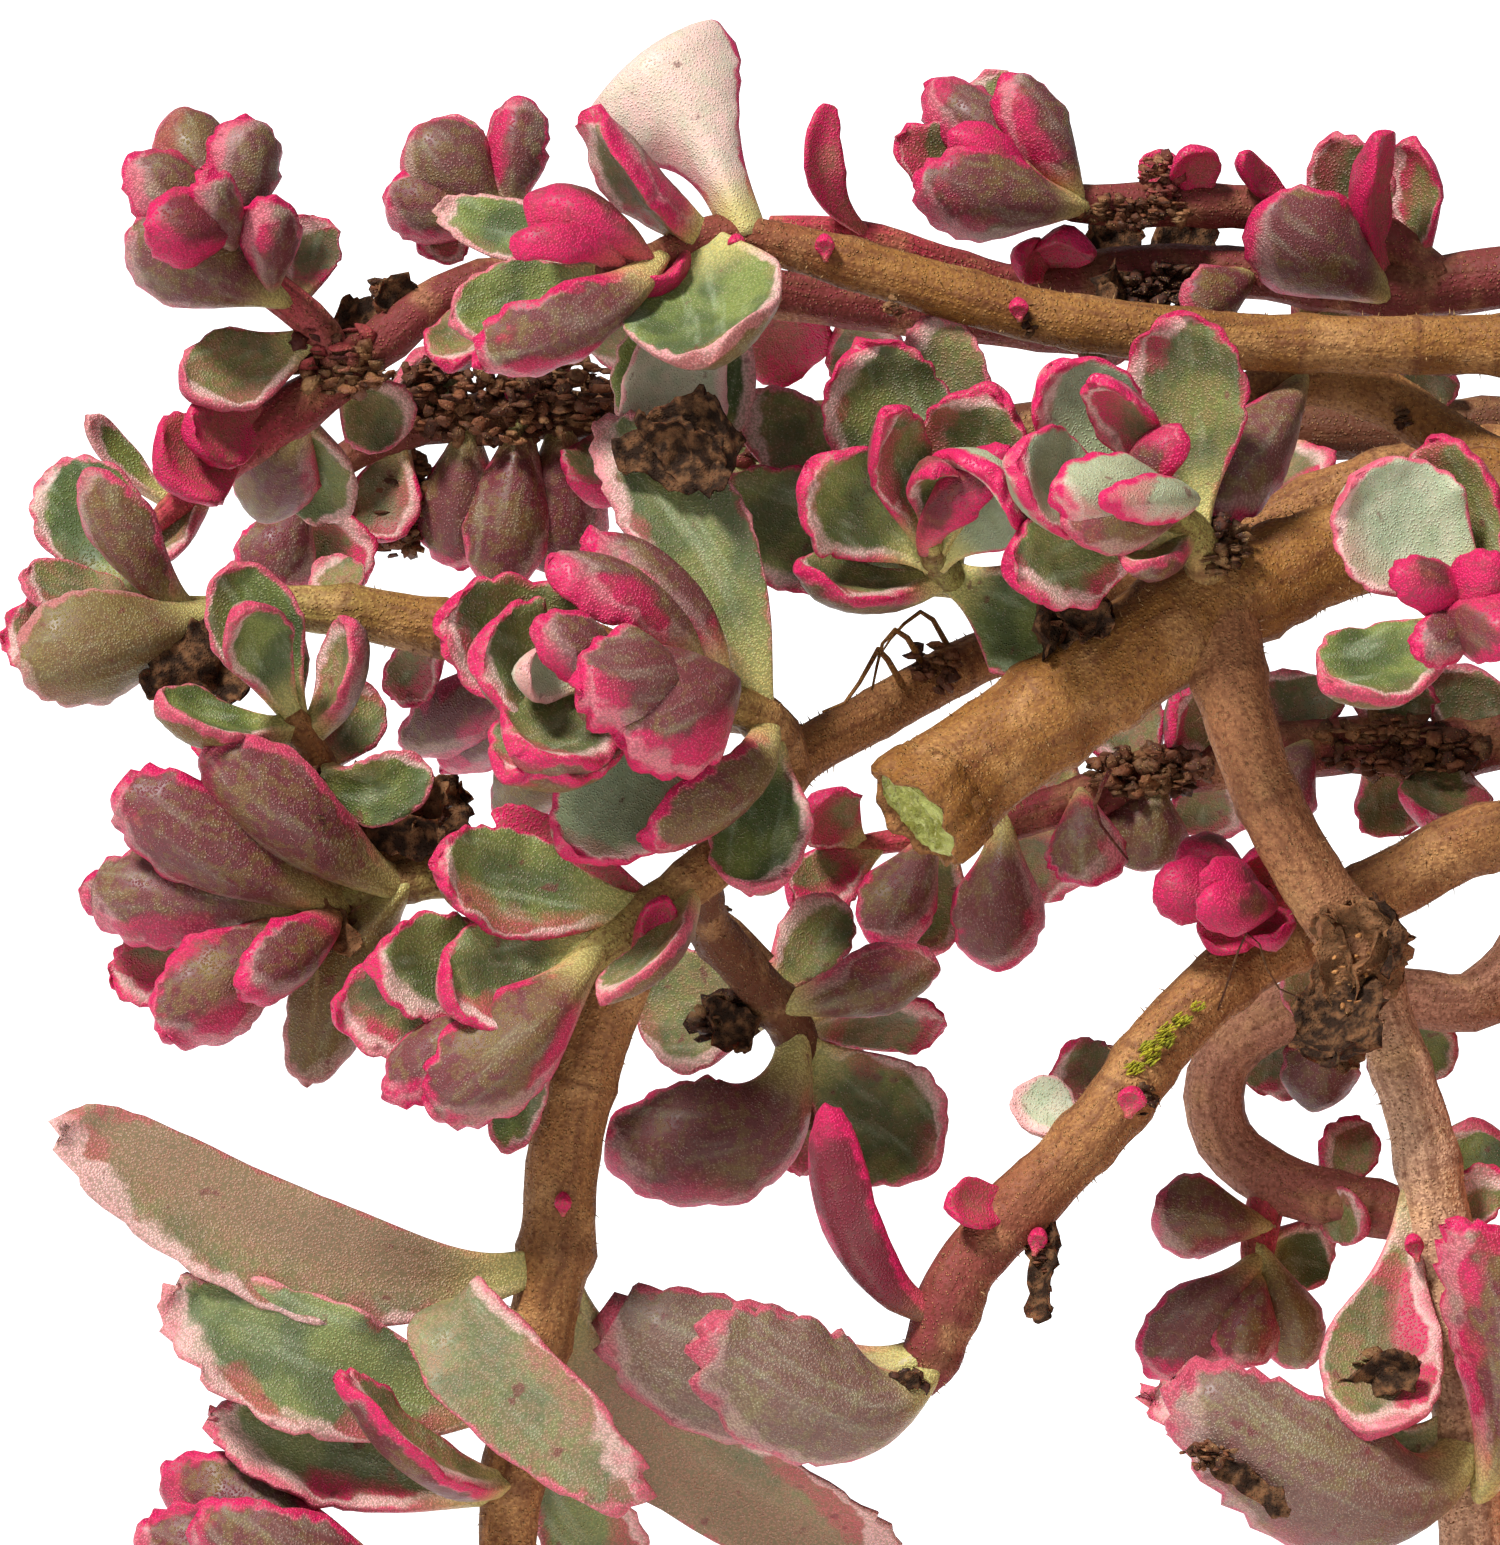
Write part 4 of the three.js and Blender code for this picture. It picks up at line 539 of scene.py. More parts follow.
    (DEAD, 1062, 646, 1108, 600, -7, 1.4), (HOT, 1418, 1262, 1412, 1236, -6.8, 0.8),
    (DEAD, 1336, 1390, 1420, 1366, -9, 1.8), (DEAD, 1192, 1448, 1290, 1512, -11.5, 1.1),
    (DEAD, 1200, 500, 1212, 570, -6.2, 1.4),
)),
SeenStem("stem_lower_runner", shoots=(
Shoot(start=(-31, -19, 1.7), arch=((-36, -17, 89.5, 1.6), (-45, -12, 92.5, 1.5)), route=(
    (1500, 835, 1, 1.4), (1400, 880, 2, 1.4), (1290, 937, 1, 1.35), (1215, 988, -1, 1.35),
    (1155, 1050, -2, 1.35), (1115, 1108, -3, 1.35), (1065, 1162, -3, 1.3), (1010, 1218, -3.5, 1.3),
    (965, 1270, -4, 1.25), (944, 1318, -4, 1.3), (930, 1360, -4, 1.1), (915, 1386, -4, 0.8),
), leaves=Leaf.rows(
    (CRIMSON, 339, 825, 1106, -7, 2.8, 146, 0, (836, 1300, -6)),
    (SPOON, 367, 708, 1326, -8, 5.6, 178, 0, (875, 1470, -6)),
    (SPOON, 360, 606, 1312, -4, 5.8, 176, 0, (800, 1440, -4)), (HOT, 286, 946, 1208, -6, 2.2, 20, 0.05),
    (PALE, 260, 1020, 1086, -1, 2.6, 20), (DEAD, 280, 1040, 1322, -6, 1.4, 40, 0.05),
    (TAWNY, 171, 1330, 1010, 5, 3), (RUDDY, 241, 1066, 1056, 3, 3),
)),
Shoot(bark=Bark.PINK, tip=Bark.PINK, route=(
    (1330, 918, 1, 0.8), (1292, 900, 0, 0.7), (1258, 895, -1.5, 0.5), (1225, 895, -3, 0.35),
), leaves=Leaf.rows(
    (HOT, 68, 1152, 888, -4, 2.8, 170, 0.15), (HOT, 56, 1178, 846, -2, 2.8, 200, 0.12),
    (HOT, 60, 1212, 952, -3, 2.6, 10), (HOT, 50, 1268, 846, -3, 2.4, 10),
    (HOT, 64, 1200, 905, -7, 2.6, 160, 0.25), (HOT, 50, 1272, 942, -5, 2.2, 10, 0.12),
    (HOT, 68, 1206, 872, -6.5, 2.2, 190, 0.22),
)),
), threads=(
    Thread((
        (1218, 1010, -2.6, 0.05), (1250, 930, -5, 0.04), (1275, 985, -5, 0.04), (1320, 1004, -4, 0.03),
    ), Bark.DARK),
), heaps=Heap.rows(
    (1136, 1098, -3.9, 18, 18, 44, 0.22, Bark.SCORCHED), (1134, 1068, -3.9, 9, 7, 40, 0.12, None),
    (1150, 1052, -3.7, 10, 13, 90, 0.13, None), (1166, 1036, -3.5, 9, 12, 80, 0.13, None),
    (1182, 1020, -3.2, 9, 7, 50, 0.12, None), (1198, 1006, -3, 7, 4, 24, 0.1, None),
    (1045, 1190, -4, 12, 14, 24, 0.22, Bark.SCORCHED), (905, 1384, -5.4, 20, 12, 32, 0.25, Bark.SCORCHED),
    (1042, 1262, -4.5, 7, 30, 28, 0.22),
), flakes=Flake.rows(
    (HOT, 1128, 1118, 1134, 1088, -4.9, 1.2), (HOT, 1034, 1256, 1040, 1230, -4.6, 0.8),
    (DEAD, 888, 1388, 920, 1376, -5.6, 0.9),
)),
SeenStem("stem_upper_left_runner", detail=Detail.FAR, shoots=(
Shoot(bark=Bark.MAROON, tip=Bark.PINK, start=(-6, 12, 1.5),
    arch=((-9, 13, 97, 1.4), (-28, 12, 109, 1.3), (-44, 11, 112, 1.2)), route=(
    (1500, 345, 19, 1.15), (1200, 340, 18, 1.1), (900, 310, 16, 1.05), (700, 285, 14, 1),
    (560, 275, 13, 0.95), (455, 290, 12, 0.9), (385, 340, 12, 0.95), (320, 392, 12, 1), (255, 437, 12, 1),
    (180, 500, 12, 0.6), (150, 530, 12, 0.35),
), leaves=Leaf.rows(
    (HOT, 332, 184, 436, 9, 3.4), (HOT, 344, 156, 474, 9.5, 4.4, 10),
    (OLIVE, 369, 86, 416, 11, 1.6, 30, 0.12), (TAWNY, 358, 150, 566, 12, 2, 40),
    (DEAD, 293, 338, 312, 14, 2.4), (TAWNY, 310, 400, 440, 14, 3.4), (TAWNY, 325, 262, 520, 17, 3.6, 170),
    (OLIVE, 329, 330, 520, 17, 3.4, 10), (RUDDY, 262, 450, 370, 9, 3, 20), (TAWNY, 229, 600, 356, 19, 4, 10),
    (HOT, 212, 800, 372, 19, 4), (RUDDY, 200, 870, 380, 20, 3.4), (DEAD, 281, 384, 282, 11, 1.6),
)),
Shoot(bark=Bark.PURPLE, tip=Bark.PINK, route=(
    (345, 372, 12, 0.8), (312, 322, 11, 0.75), (268, 285, 10.5, 0.7), (225, 238, 10, 0.6),
    (198, 200, 9.5, 0.35),
), leaves=Leaf.rows(
    (PINK, 80, 126, 160, 8, 3.2, 200, 0.15), (TAWNY, 78, 176, 108, 11, 3.4, 190, 0.12),
    (PINK, 74, 248, 114, 9, 3.4, 195, 0.15), (HOT, 86, 146, 228, 5.5, 3.4, 170, 0.25),
    (TAWNY, 45, 126, 232, 8, 4.4, 165, 0.12), (PINK, 51, 270, 196, 7, 2.6, 185, 0.15),
    (PINK, 37, 316, 216, 13, 2.8, 0, 0.12), (TAWNY, 19, 180, 390, 9, 3.8, 20, 0.12),
    (PINK, 78, 205, 170, 5.5, 2.2, 190, 0.2),
)),
Shoot(bark=Bark.PINK, tip=Bark.PINK, route=(
    (570, 275, 13, 0.7), (530, 240, 14, 0.65), (485, 212, 14, 0.5), (462, 192, 14, 0.35),
), leaves=Leaf.rows(
    (TAWNY, 44, 414, 128, 13, 4, 185, 0.12), (PINK, 38, 522, 96, 14, 2.8, 170, 0.12),
    (PINK, 43, 382, 196, 13, 3.4, 165, 0.12), (TAWNY, 62, 440, 120, 17, 3), (RUDDY, 58, 420, 252, 14, 2.6),
)),
), heaps=Heap.rows(
    (386, 294, 12, 12, 14, 28, 0.31), (340, 370, 11, 40, 26, 60, 0.37),
    (330, 345, 11, 40, 24, 40, 0.37, Bark.MAROON),
)),
SeenStem("stem_top_spray", detail=Detail.FAR, shoots=(
Shoot(bark=Bark.MAROON, tip=Bark.PINK, start=(-2, -10, 1.5),
    arch=((-5, -9, 100, 1.4), (-24, -4, 112, 1.3), (-42, 0, 114.5, 1.2)), route=(
    (1500, 278, 9, 1.3), (1380, 290, 9, 1.1), (1240, 272, 9, 1), (1130, 268, 9, 0.9), (1023, 282, 9, 0.7),
    (950, 262, 8.5, 0.6), (880, 238, 8, 0.55), (820, 228, 8, 0.5), (770, 224, 8.5, 0.35),
), leaves=Leaf.rows(
    (RUDDY, 171, 1256, 212, 5, 4.8, 165, 0.12), (TAWNY, 170, 1330, 134, 9, 3.6, 0, 0.12),
    (HOT, 169, 1378, 130, 4.5, 2.8, 60), (PINK, 166, 1414, 136, 8, 2.8, -40),
    (HOT, 236, 1068, 236, 6, 2.6, 0, 0.15), (DEAD, 232, 1130, 228, 12, 2.4), (DEAD, 216, 1206, 224, 13, 2.4),
    (DEAD, 209, 1112, 318, 4, 3.6, 0, 0.2), (TAWNY, 196, 1190, 318, 6, 3, 150),
    (HOT, 298, 828, 104, 6, 1.8, 20, 0, (800, 190, 5)), (RUDDY, 185, 1340, 340, 12, 3.4),
    (RUDDY, 225, 1100, 372, 10, 2.4), (HOT, 238, 1020, 250, 6, 2, 20),
)),
Shoot(bark=Bark.MAROON, route=(
    (1440, 284, 9, 1), (1385, 240, 9, 0.95), (1310, 214, 8.5, 0.9), (1200, 205, 8, 0.9),
    (1110, 205, 7.5, 0.9), (1060, 200, 7, 0.65), (1010, 180, 6.5, 0.35),
), leaves=Leaf.rows(
    (RUDDY, 118, 914, 184, 3, 4, 165, 0.15), (PINK, 118, 1006, 74, 6, 3, 200, 0.12),
    (PINK, 131, 926, 82, 8, 3, 190, 0.12), (PINK, 136, 894, 140, 7, 3, 0, 0.12), (TAWNY, 129, 980, 76, 11, 3),
    (HOT, 141, 950, 130, 4, 2.4, 180, 0.2), (HOT, 74, 1188, 146, 6, 2.2), (HOT, 85, 1158, 150, 9, 1.8),
    (HOT, 52, 1238, 154, 6, 1.4, 30),
)),
), heaps=Heap.rows(
    (1162, 294, 7.6, 42, 30, 160, 0.28, Bark.SCORCHED), (1130, 212, 6.5, 60, 16, 120, 0.22),
    (1160, 178, 7, 20, 24, 60, 0.22, Bark.MAROON),
)),
SeenStem("stem_back_runner", detail=Detail.FAR, shoots=(
Shoot(bark=Bark.MAROON, tip=Bark.PINK, start=(-16, 24, 1.6), arch=((-22, 24, 93, 1.5), (-42, 19, 98, 1.4)),
    route=(
    (1500, 740, 24, 1.2), (1350, 745, 23, 1.2), (1200, 765, 21, 1.1), (1080, 800, 20, 0.9),
    (980, 828, 20, 0.7), (900, 840, 20, 0.5), (830, 850, 20, 0.35),
), leaves=Leaf.rows(
    (RUDDY, 237, 876, 946, 17, 3.4, 170, 0.12), (TAWNY, 231, 925, 958, 20, 3, 10, 0.12),
    (RUDDY, 216, 995, 972, 19, 4, 175, 0.12), (PINK, 253, 790, 905, 18, 3, 10), (RUDDY, 260, 812, 800, 17, 3),
    (TAWNY, 227, 900, 756, 24, 3.6), (RUDDY, 207, 1040, 900, 24, 3.6),
    (PINK, 197, 1090, 884, 17, 3.4, 180, 0.12), (RUDDY, 197, 1010, 742, 22, 3.6),
    (TAWNY, 182, 1140, 872, 20, 4, 170, 0.12), (RUDDY, 182, 1110, 700, 24, 3.6),
    (PINK, 169, 1180, 690, 18, 3.6, 20), (RUDDY, 169, 1205, 838, 24, 3.4), (TAWNY, 158, 1300, 672, 24, 4),
    (RUDDY, 156, 1268, 820, 18, 3.4, 170), (PINK, 143, 1400, 660, 22, 4), (RUDDY, 143, 1410, 830, 26, 4),
    (TAWNY, 130, 1470, 664, 24, 4), (RUDDY, 130, 1440, 832, 20, 4),
)),
), heaps=Heap.rows(
    (1150, 770, 19, 60, 26, 160, 0.32), (1400, 745, 22, 90, 30, 200, 0.34),
)),
SeenStem("stem_far_runner", detail=Detail.FAR, shoots=(
Shoot(bark=Bark.DARK, start=(0, 26, 1.5), arch=((-10, 27, 100, 1.4), (-34, 25, 108, 1.3)), route=(
    (1500, 425, 29, 1.25), (1200, 430, 29, 1.2), (900, 430, 28, 1.15), (650, 420, 27, 1.1), (500, 415, 26, 1),
    (400, 432, 25, 0.8), (330, 470, 24, 0.6), (285, 520, 24, 0.35),
), leaves=Leaf.rows(
    (RUDDY, 286, 262, 590, 22, 3.6, 170, 0.12), (PINK, 281, 355, 590, 25, 3.4, 10, 0.12),
    (TAWNY, 265, 258, 468, 22, 3.2, 10), (RUDDY, 246, 376, 545, 25, 3.2, 10),
    (PINK, 228, 455, 570, 26, 3.8, 180), (TAWNY, 217, 498, 590, 24, 3.8, 175),
    (RUDDY, 210, 560, 580, 26, 4, 180), (PINK, 201, 600, 500, 22, 4), (TAWNY, 235, 420, 350, 24, 3.6, 20),
    (RUDDY, 210, 520, 348, 25, 3.6, 20), (PINK, 193, 700, 350, 24, 3.6), (TAWNY, 185, 742, 520, 24, 4),
    (RUDDY, 176, 880, 520, 27, 4), (PINK, 141, 1300, 500, 25, 4), (TAWNY, 130, 1420, 350, 27, 4),
)),
), heaps=Heap.rows(
    (500, 396, 24, 130, 46, 420, 0.32), (400, 500, 26, 30, 60, 160, 0.36),
    (760, 450, 27, 60, 50, 180, 0.4, Bark.MAROON),
)),
SeenStem("stem_loop_runner", detail=Detail.FAR, shoots=(
Shoot(bark=Bark.PURPLE, start=(-30, 17, 1.6), arch=((-35, 18, 89, 1.5), (-46, 16, 91, 1.4)), route=(
    (1500, 985, 20, 1.3), (1400, 998, 20, 1.25), (1290, 1012, 20, 1.25), (1222, 1062, 21, 1.25),
    (1222, 1135, 21, 1.25), (1285, 1185, 20, 1.25), (1390, 1212, 19, 1.2), (1480, 1240, 19, 1.1),
), leaves=Leaf.rows(
    (RUDDY, 170, 1268, 1090, 24, 3.6), (TAWNY, 161, 1310, 1110, 22, 3.4, 175),
    (GREEN, 148, 1420, 1080, 24, 4), (RUDDY, 257, 1360, 1120, 23, 2.6), (TAWNY, 250, 1368, 1232, 17, 2.4, 20),
    (GREEN, 287, 1482, 1120, 17, 4, 10), (RUDDY, 287, 1430, 1300, 20, 3.4),
)),
Shoot(bark=Bark.PURPLE, tip=Bark.PINK, route=(
    (1272, 1177, 20.2, 0.9), (1262, 1220, 20, 0.8), (1256, 1262, 19.5, 0.6), (1252, 1300, 19, 0.35),
), leaves=Leaf.rows(
    (TAWNY, 30, 1152, 1212, 18, 3.6, 180, 0.12), (GREEN, 45, 1308, 1370, 19, 3, 170, 0.12),
    (RUDDY, 53, 1148, 1375, 17, 3.8, 175, 0.12), (TAWNY, 69, 1238, 1366, 16, 3, 175, 0.15),
    (GREEN, 42, 1330, 1260, 23, 3),
)),
)),
)

# The stems of the other sides, which follow a rule with seeded draws, the seed for all fine surfaces, and
# where the last pair of leaves stands on a stem that follows the rule
SEED = 20261
FINE_SEED = 7
LAST_PAIR = 0.985
TRAILING_AZIMUTHS = (-112, -85, -59, -33, -7, 19, 45, 71, 98)
CROWN_FEET = ((8, -22), (24, -10), (13, 3), (20, 18), (-13, -25))


class Drawer:
    """A plain multiplying generator, so that every run draws the same stems."""

    FACTOR = 16807
    MODULUS = 2147483647

    def __init__(self, seed: int) -> None:
        """Starts the draws at a seed."""
        self.state = seed

    def __call__(self, low: float, high: float) -> float:
        """A number between two limits."""
        self.state = self.state * self.FACTOR % self.MODULUS
        return low + (high - low) * self.state / self.MODULUS


def unit(vectors: np.ndarray) -> np.ndarray:
    """The vectors at length 1."""
    return vectors / np.linalg.norm(vectors, axis=-1, keepdims=True)


def smooth(values: np.ndarray, low: float, high: float) -> np.ndarray:
    """A soft step from 0 at one limit to 1 at the other."""
    share = np.clip((values - low) / (high - low), 0, 1)
    return share * share * (3 - 2 * share)


def turns(count: int) -> np.ndarray:
    """Even angles once round a circle."""
    return math.tau * np.arange(count) / count


def quads(count: int, size: int) -> np.ndarray:
    """The quads between rings of points.

    Args:
        count: how many rings there are.
        size: how many points a ring has.

    Returns:
        The corners of each quad.
    """
    i, j = np.meshgrid(np.arange(count - 1), np.arange(size), indexing="ij")
    here, side = i * size + j, i * size + (j + 1) % size
    return np.stack([here, side, side + size, here + size], axis=-1).reshape(-1, 4)


def turned_about(vector: np.ndarray, axis: np.ndarray, angle: float) -> np.ndarray:
    """A vector turned about a unit axis by an angle in radians, by the right-hand rule."""
    along = axis * (vector @ axis)
    return along + (vector - along) * math.cos(angle) + np.cross(axis, vector) * math.sin(angle)


def seen(px: float, py: float, depth: float) -> np.ndarray:
    """The point that the photo shows at a pixel, at a depth behind the plane of sharp focus.

    Args:
        px: the pixel's x.
        py: its y.
        depth: the depth.

    Returns:
        The point.
    """
    scale = (VIEW_DISTANCE + depth) / VIEW_DISTANCE / PX_PER_MM
    across = RIGHT * (px - PHOTO_CENTRE[0]) * scale
    return FOCUS + FORWARD * depth + across + UPWARD * (PHOTO_CENTRE[1] - py) * scale


def seen_knots(route: Sequence[Knot]) -> Knots:
    """The points and radii of photo points given as pixel x, pixel y, depth and radius."""
    return [(seen(px, py, depth), radius) for px, py, depth, radius in route]


def lumps(points: np.ndarray, size: float, seed: float = 0.0) -> np.ndarray:
    """Soft irregular lumps of about a size, between -1 and 1, at some points.

    Args:
        points: where they are read.
        size: about how wide a lump is.
        seed: moves the lumps.

    Returns:
        A value at each point.
    """
    p = points * (math.tau / size) + seed
    x, y, z = p[..., 0], p[..., 1], p[..., 2]
    first = np.sin(x + 1.7 * np.sin(0.7 * y + 0.3)) * np.sin(y + 1.3 * np.sin(0.8 * z + 1.1))
    second = np.sin(z + 1.5 * np.sin(0.9 * x + 2.1)) * np.sin(1.6 * x - 0.7 * z + 0.5)
    return 0.6 * first + 0.4 * second


class Axis:
    """A stem's axis through its knots: points and radii at any share of its length."""

    def __init__(self, knots: Knots) -> None:
        """Takes the knots as points and radii.

        Args:
            knots: the knots, from the foot to the thin end.
        """
        points = np.array([point for point, _ in knots])
        self.radii = np.array([radius for _, radius in knots])
        self.points = np.vstack([2 * points[0] - points[1], points, 2 * points[-1] - points[-2]])
        self.spans = len(knots) - 1

    def point(self, t: np.ndarray) -> np.ndarray:
        """The points at some shares of the length, on a smooth curve through the knots.

        Args:
            t: the shares.

        Returns:
            The points.
        """
        place = np.asarray(t, float) * self.spans
        i = np.clip(np.floor(place).astype(int), 0, self.spans - 1)
        w = (place - i)[..., None]
        a, b, c, d = (self.points[i + k] for k in range(4))
        cubic = (-a + 3 * b - 3 * c + d) * w**3 + (2 * a - 5 * b + 4 * c - d) * w**2
        return 0.5 * (cubic + (c - a) * w + 2 * b)

    def tangent(self, t: np.ndarray) -> np.ndarray:
        """The directions along the axis at some shares of its length."""
        t = np.asarray(t, float)
        return unit(self.point(np.minimum(t + 1e-4, 1)) - self.point(np.maximum(t - 1e-4, 0)))

    def radius(self, t: np.ndarray) -> np.ndarray:
        """The stem's radii at some shares of its length."""
        return np.interp(np.asarray(t, float) * self.spans, range(self.spans + 1), self.radii)

    def share(self, step: int) -> float:
        """The share of the length at a step in 24ths of the way between two knots."""
        return float(np.linspace(0, 1 - 1 / (3 * self.spans), 24 * self.spans)[step])

    def even(self, step: float) -> np.ndarray:
        """Shares of the length that are about a step in millimetres apart along the curve.

        Args:
            step: the step.

        Returns:
            The shares.
        """
        fine = np.linspace(0, 1, self.spans * 60 + 1)
        pieces = np.linalg.norm(np.diff(self.point(fine), axis=0), axis=1)
        run = np.concatenate([[0], np.cumsum(pieces)])
        wanted = np.linspace(0, run[-1], max(6, round(run[-1] / step)))
        return np.interp(wanted, run, fine)


class Draft:
    """Collects the surfaces of one object, with a value of each kind at every point."""

    KINDS = ("edge", "side", "along", "lane", "blush", "ruddy", "pale", "dry", "chance", "rim")

    def __init__(self) -> None:
        """Starts with nothing."""
        self.points: list[np.ndarray] = []
        self.faces: list[tuple[np.ndarray, int]] = []
        self.values: dict[str, list[np.ndarray]] = {kind: [] for kind in self.KINDS}
        self.tones: list[np.ndarray] = []
        self.count = 0

    def add(
        self, points: np.ndarray, faces: Sequence[np.ndarray], finish: int, tone: np.ndarray | None = None,
        **values: np.ndarray | float,
    ) -> None:
        """Adds a surface.

        Args:
            points: its points in millimetres.
            faces: arrays of triangles or quads.
            finish: the number of its material.
            tone: its own colour at each point, where its material reads one.
            values: its values by kind, the others being 0.
        """
        total = len(points)
        self.points.append(points)
        self.faces.extend((np.asarray(face) + self.count, finish) for face in faces)
        for kind in self.KINDS:
            self.values[kind].append(np.broadcast_to(values.get(kind, 0.0), (total,)))
        self.tones.append(np.broadcast_to(0.5 if tone is None else tone, (total, 3)))
        self.count += total

    def loft(
        self, rings: np.ndarray, finish: int, outward: bool = True, tone: np.ndarray | None = None,
        **values: np.ndarray | float,
    ) -> None:
        """Adds a closed surface through rings of points.

        Args:
            rings: points by ring and by place in the ring.
            finish: the number of its material.
            outward: whether the rings run anticlockwise as seen against their direction of travel.
            tone: its colour at each ring.
            values: its values by kind, at each point of each ring or alike for all.
        """
        count, size = rings.shape[:2]
        k = np.arange(size)
        first, last = count * size, count * size + 1
        root = np.stack([np.full(size, first), (k + 1) % size, k], axis=-1)
        far = (count - 1) * size
        end = np.stack([np.full(size, last), far + k, far + (k + 1) % size], axis=-1)
        faces = [quads(count, size), root, end]
        if not outward:
            faces = [face[:, ::-1] for face in faces]
        points = np.vstack([rings.reshape(-1, 3), rings[0].mean(0), rings[-1].mean(0)])
        flat = {}
        for kind, value in values.items():
            if np.ndim(value):
                value = np.broadcast_to(value, (count, size))
                value = np.concatenate([value.ravel(), [value[0].mean(), value[-1].mean()]])
            flat[kind] = value
        if tone is not None:
            tone = np.vstack([np.repeat(tone, size, axis=0), tone[0], tone[-1]])
        self.add(points, faces, finish, tone, **flat)

    def build(self, name: str, finishes: Sequence[Material]) -> bpy.types.Object:
        """Makes the object.

        Args:
            name: its name.
            finishes: its materials, by number.

        Returns:
            The object, linked to the scene.
        """
        mesh = bpy.data.meshes.new(name)
        corners = [corner for face, _ in self.faces for corner in face.tolist()]
        mesh.from_pydata((np.vstack(self.points) * MM).tolist(), [], corners, shade_flat=False)
        marks = np.concatenate([np.full(len(face), finish, np.int32) for face, finish in self.faces])
        mesh.polygons.foreach_set("material_index", marks)
        for kind in self.KINDS:
            layer = mesh.attributes.new(kind, "FLOAT", "POINT")
            layer.data.foreach_set("value", np.concatenate(self.values[kind]).astype(np.float32))
        layer = mesh.attributes.new("tone", "FLOAT_COLOR", "POINT")
        tones = np.vstack(self.tones)
        tones = np.hstack([srgb(tones), np.ones((len(tones), 1))])
        layer.data.foreach_set("color", tones.astype(np.float32).ravel())
        for finish in finishes:
            mesh.materials.append(finish)
        made = bpy.data.objects.new(name, mesh)
        bpy.context.scene.collection.objects.link(made)
        return made


def srgb(colour: np.ndarray) -> np.ndarray:
    """Linear light from sRGB shares."""
    colour = np.asarray(colour, float)
    return np.where(colour <= 0.04045, colour / 12.92, ((colour + 0.055) / 1.055) ** 2.4)


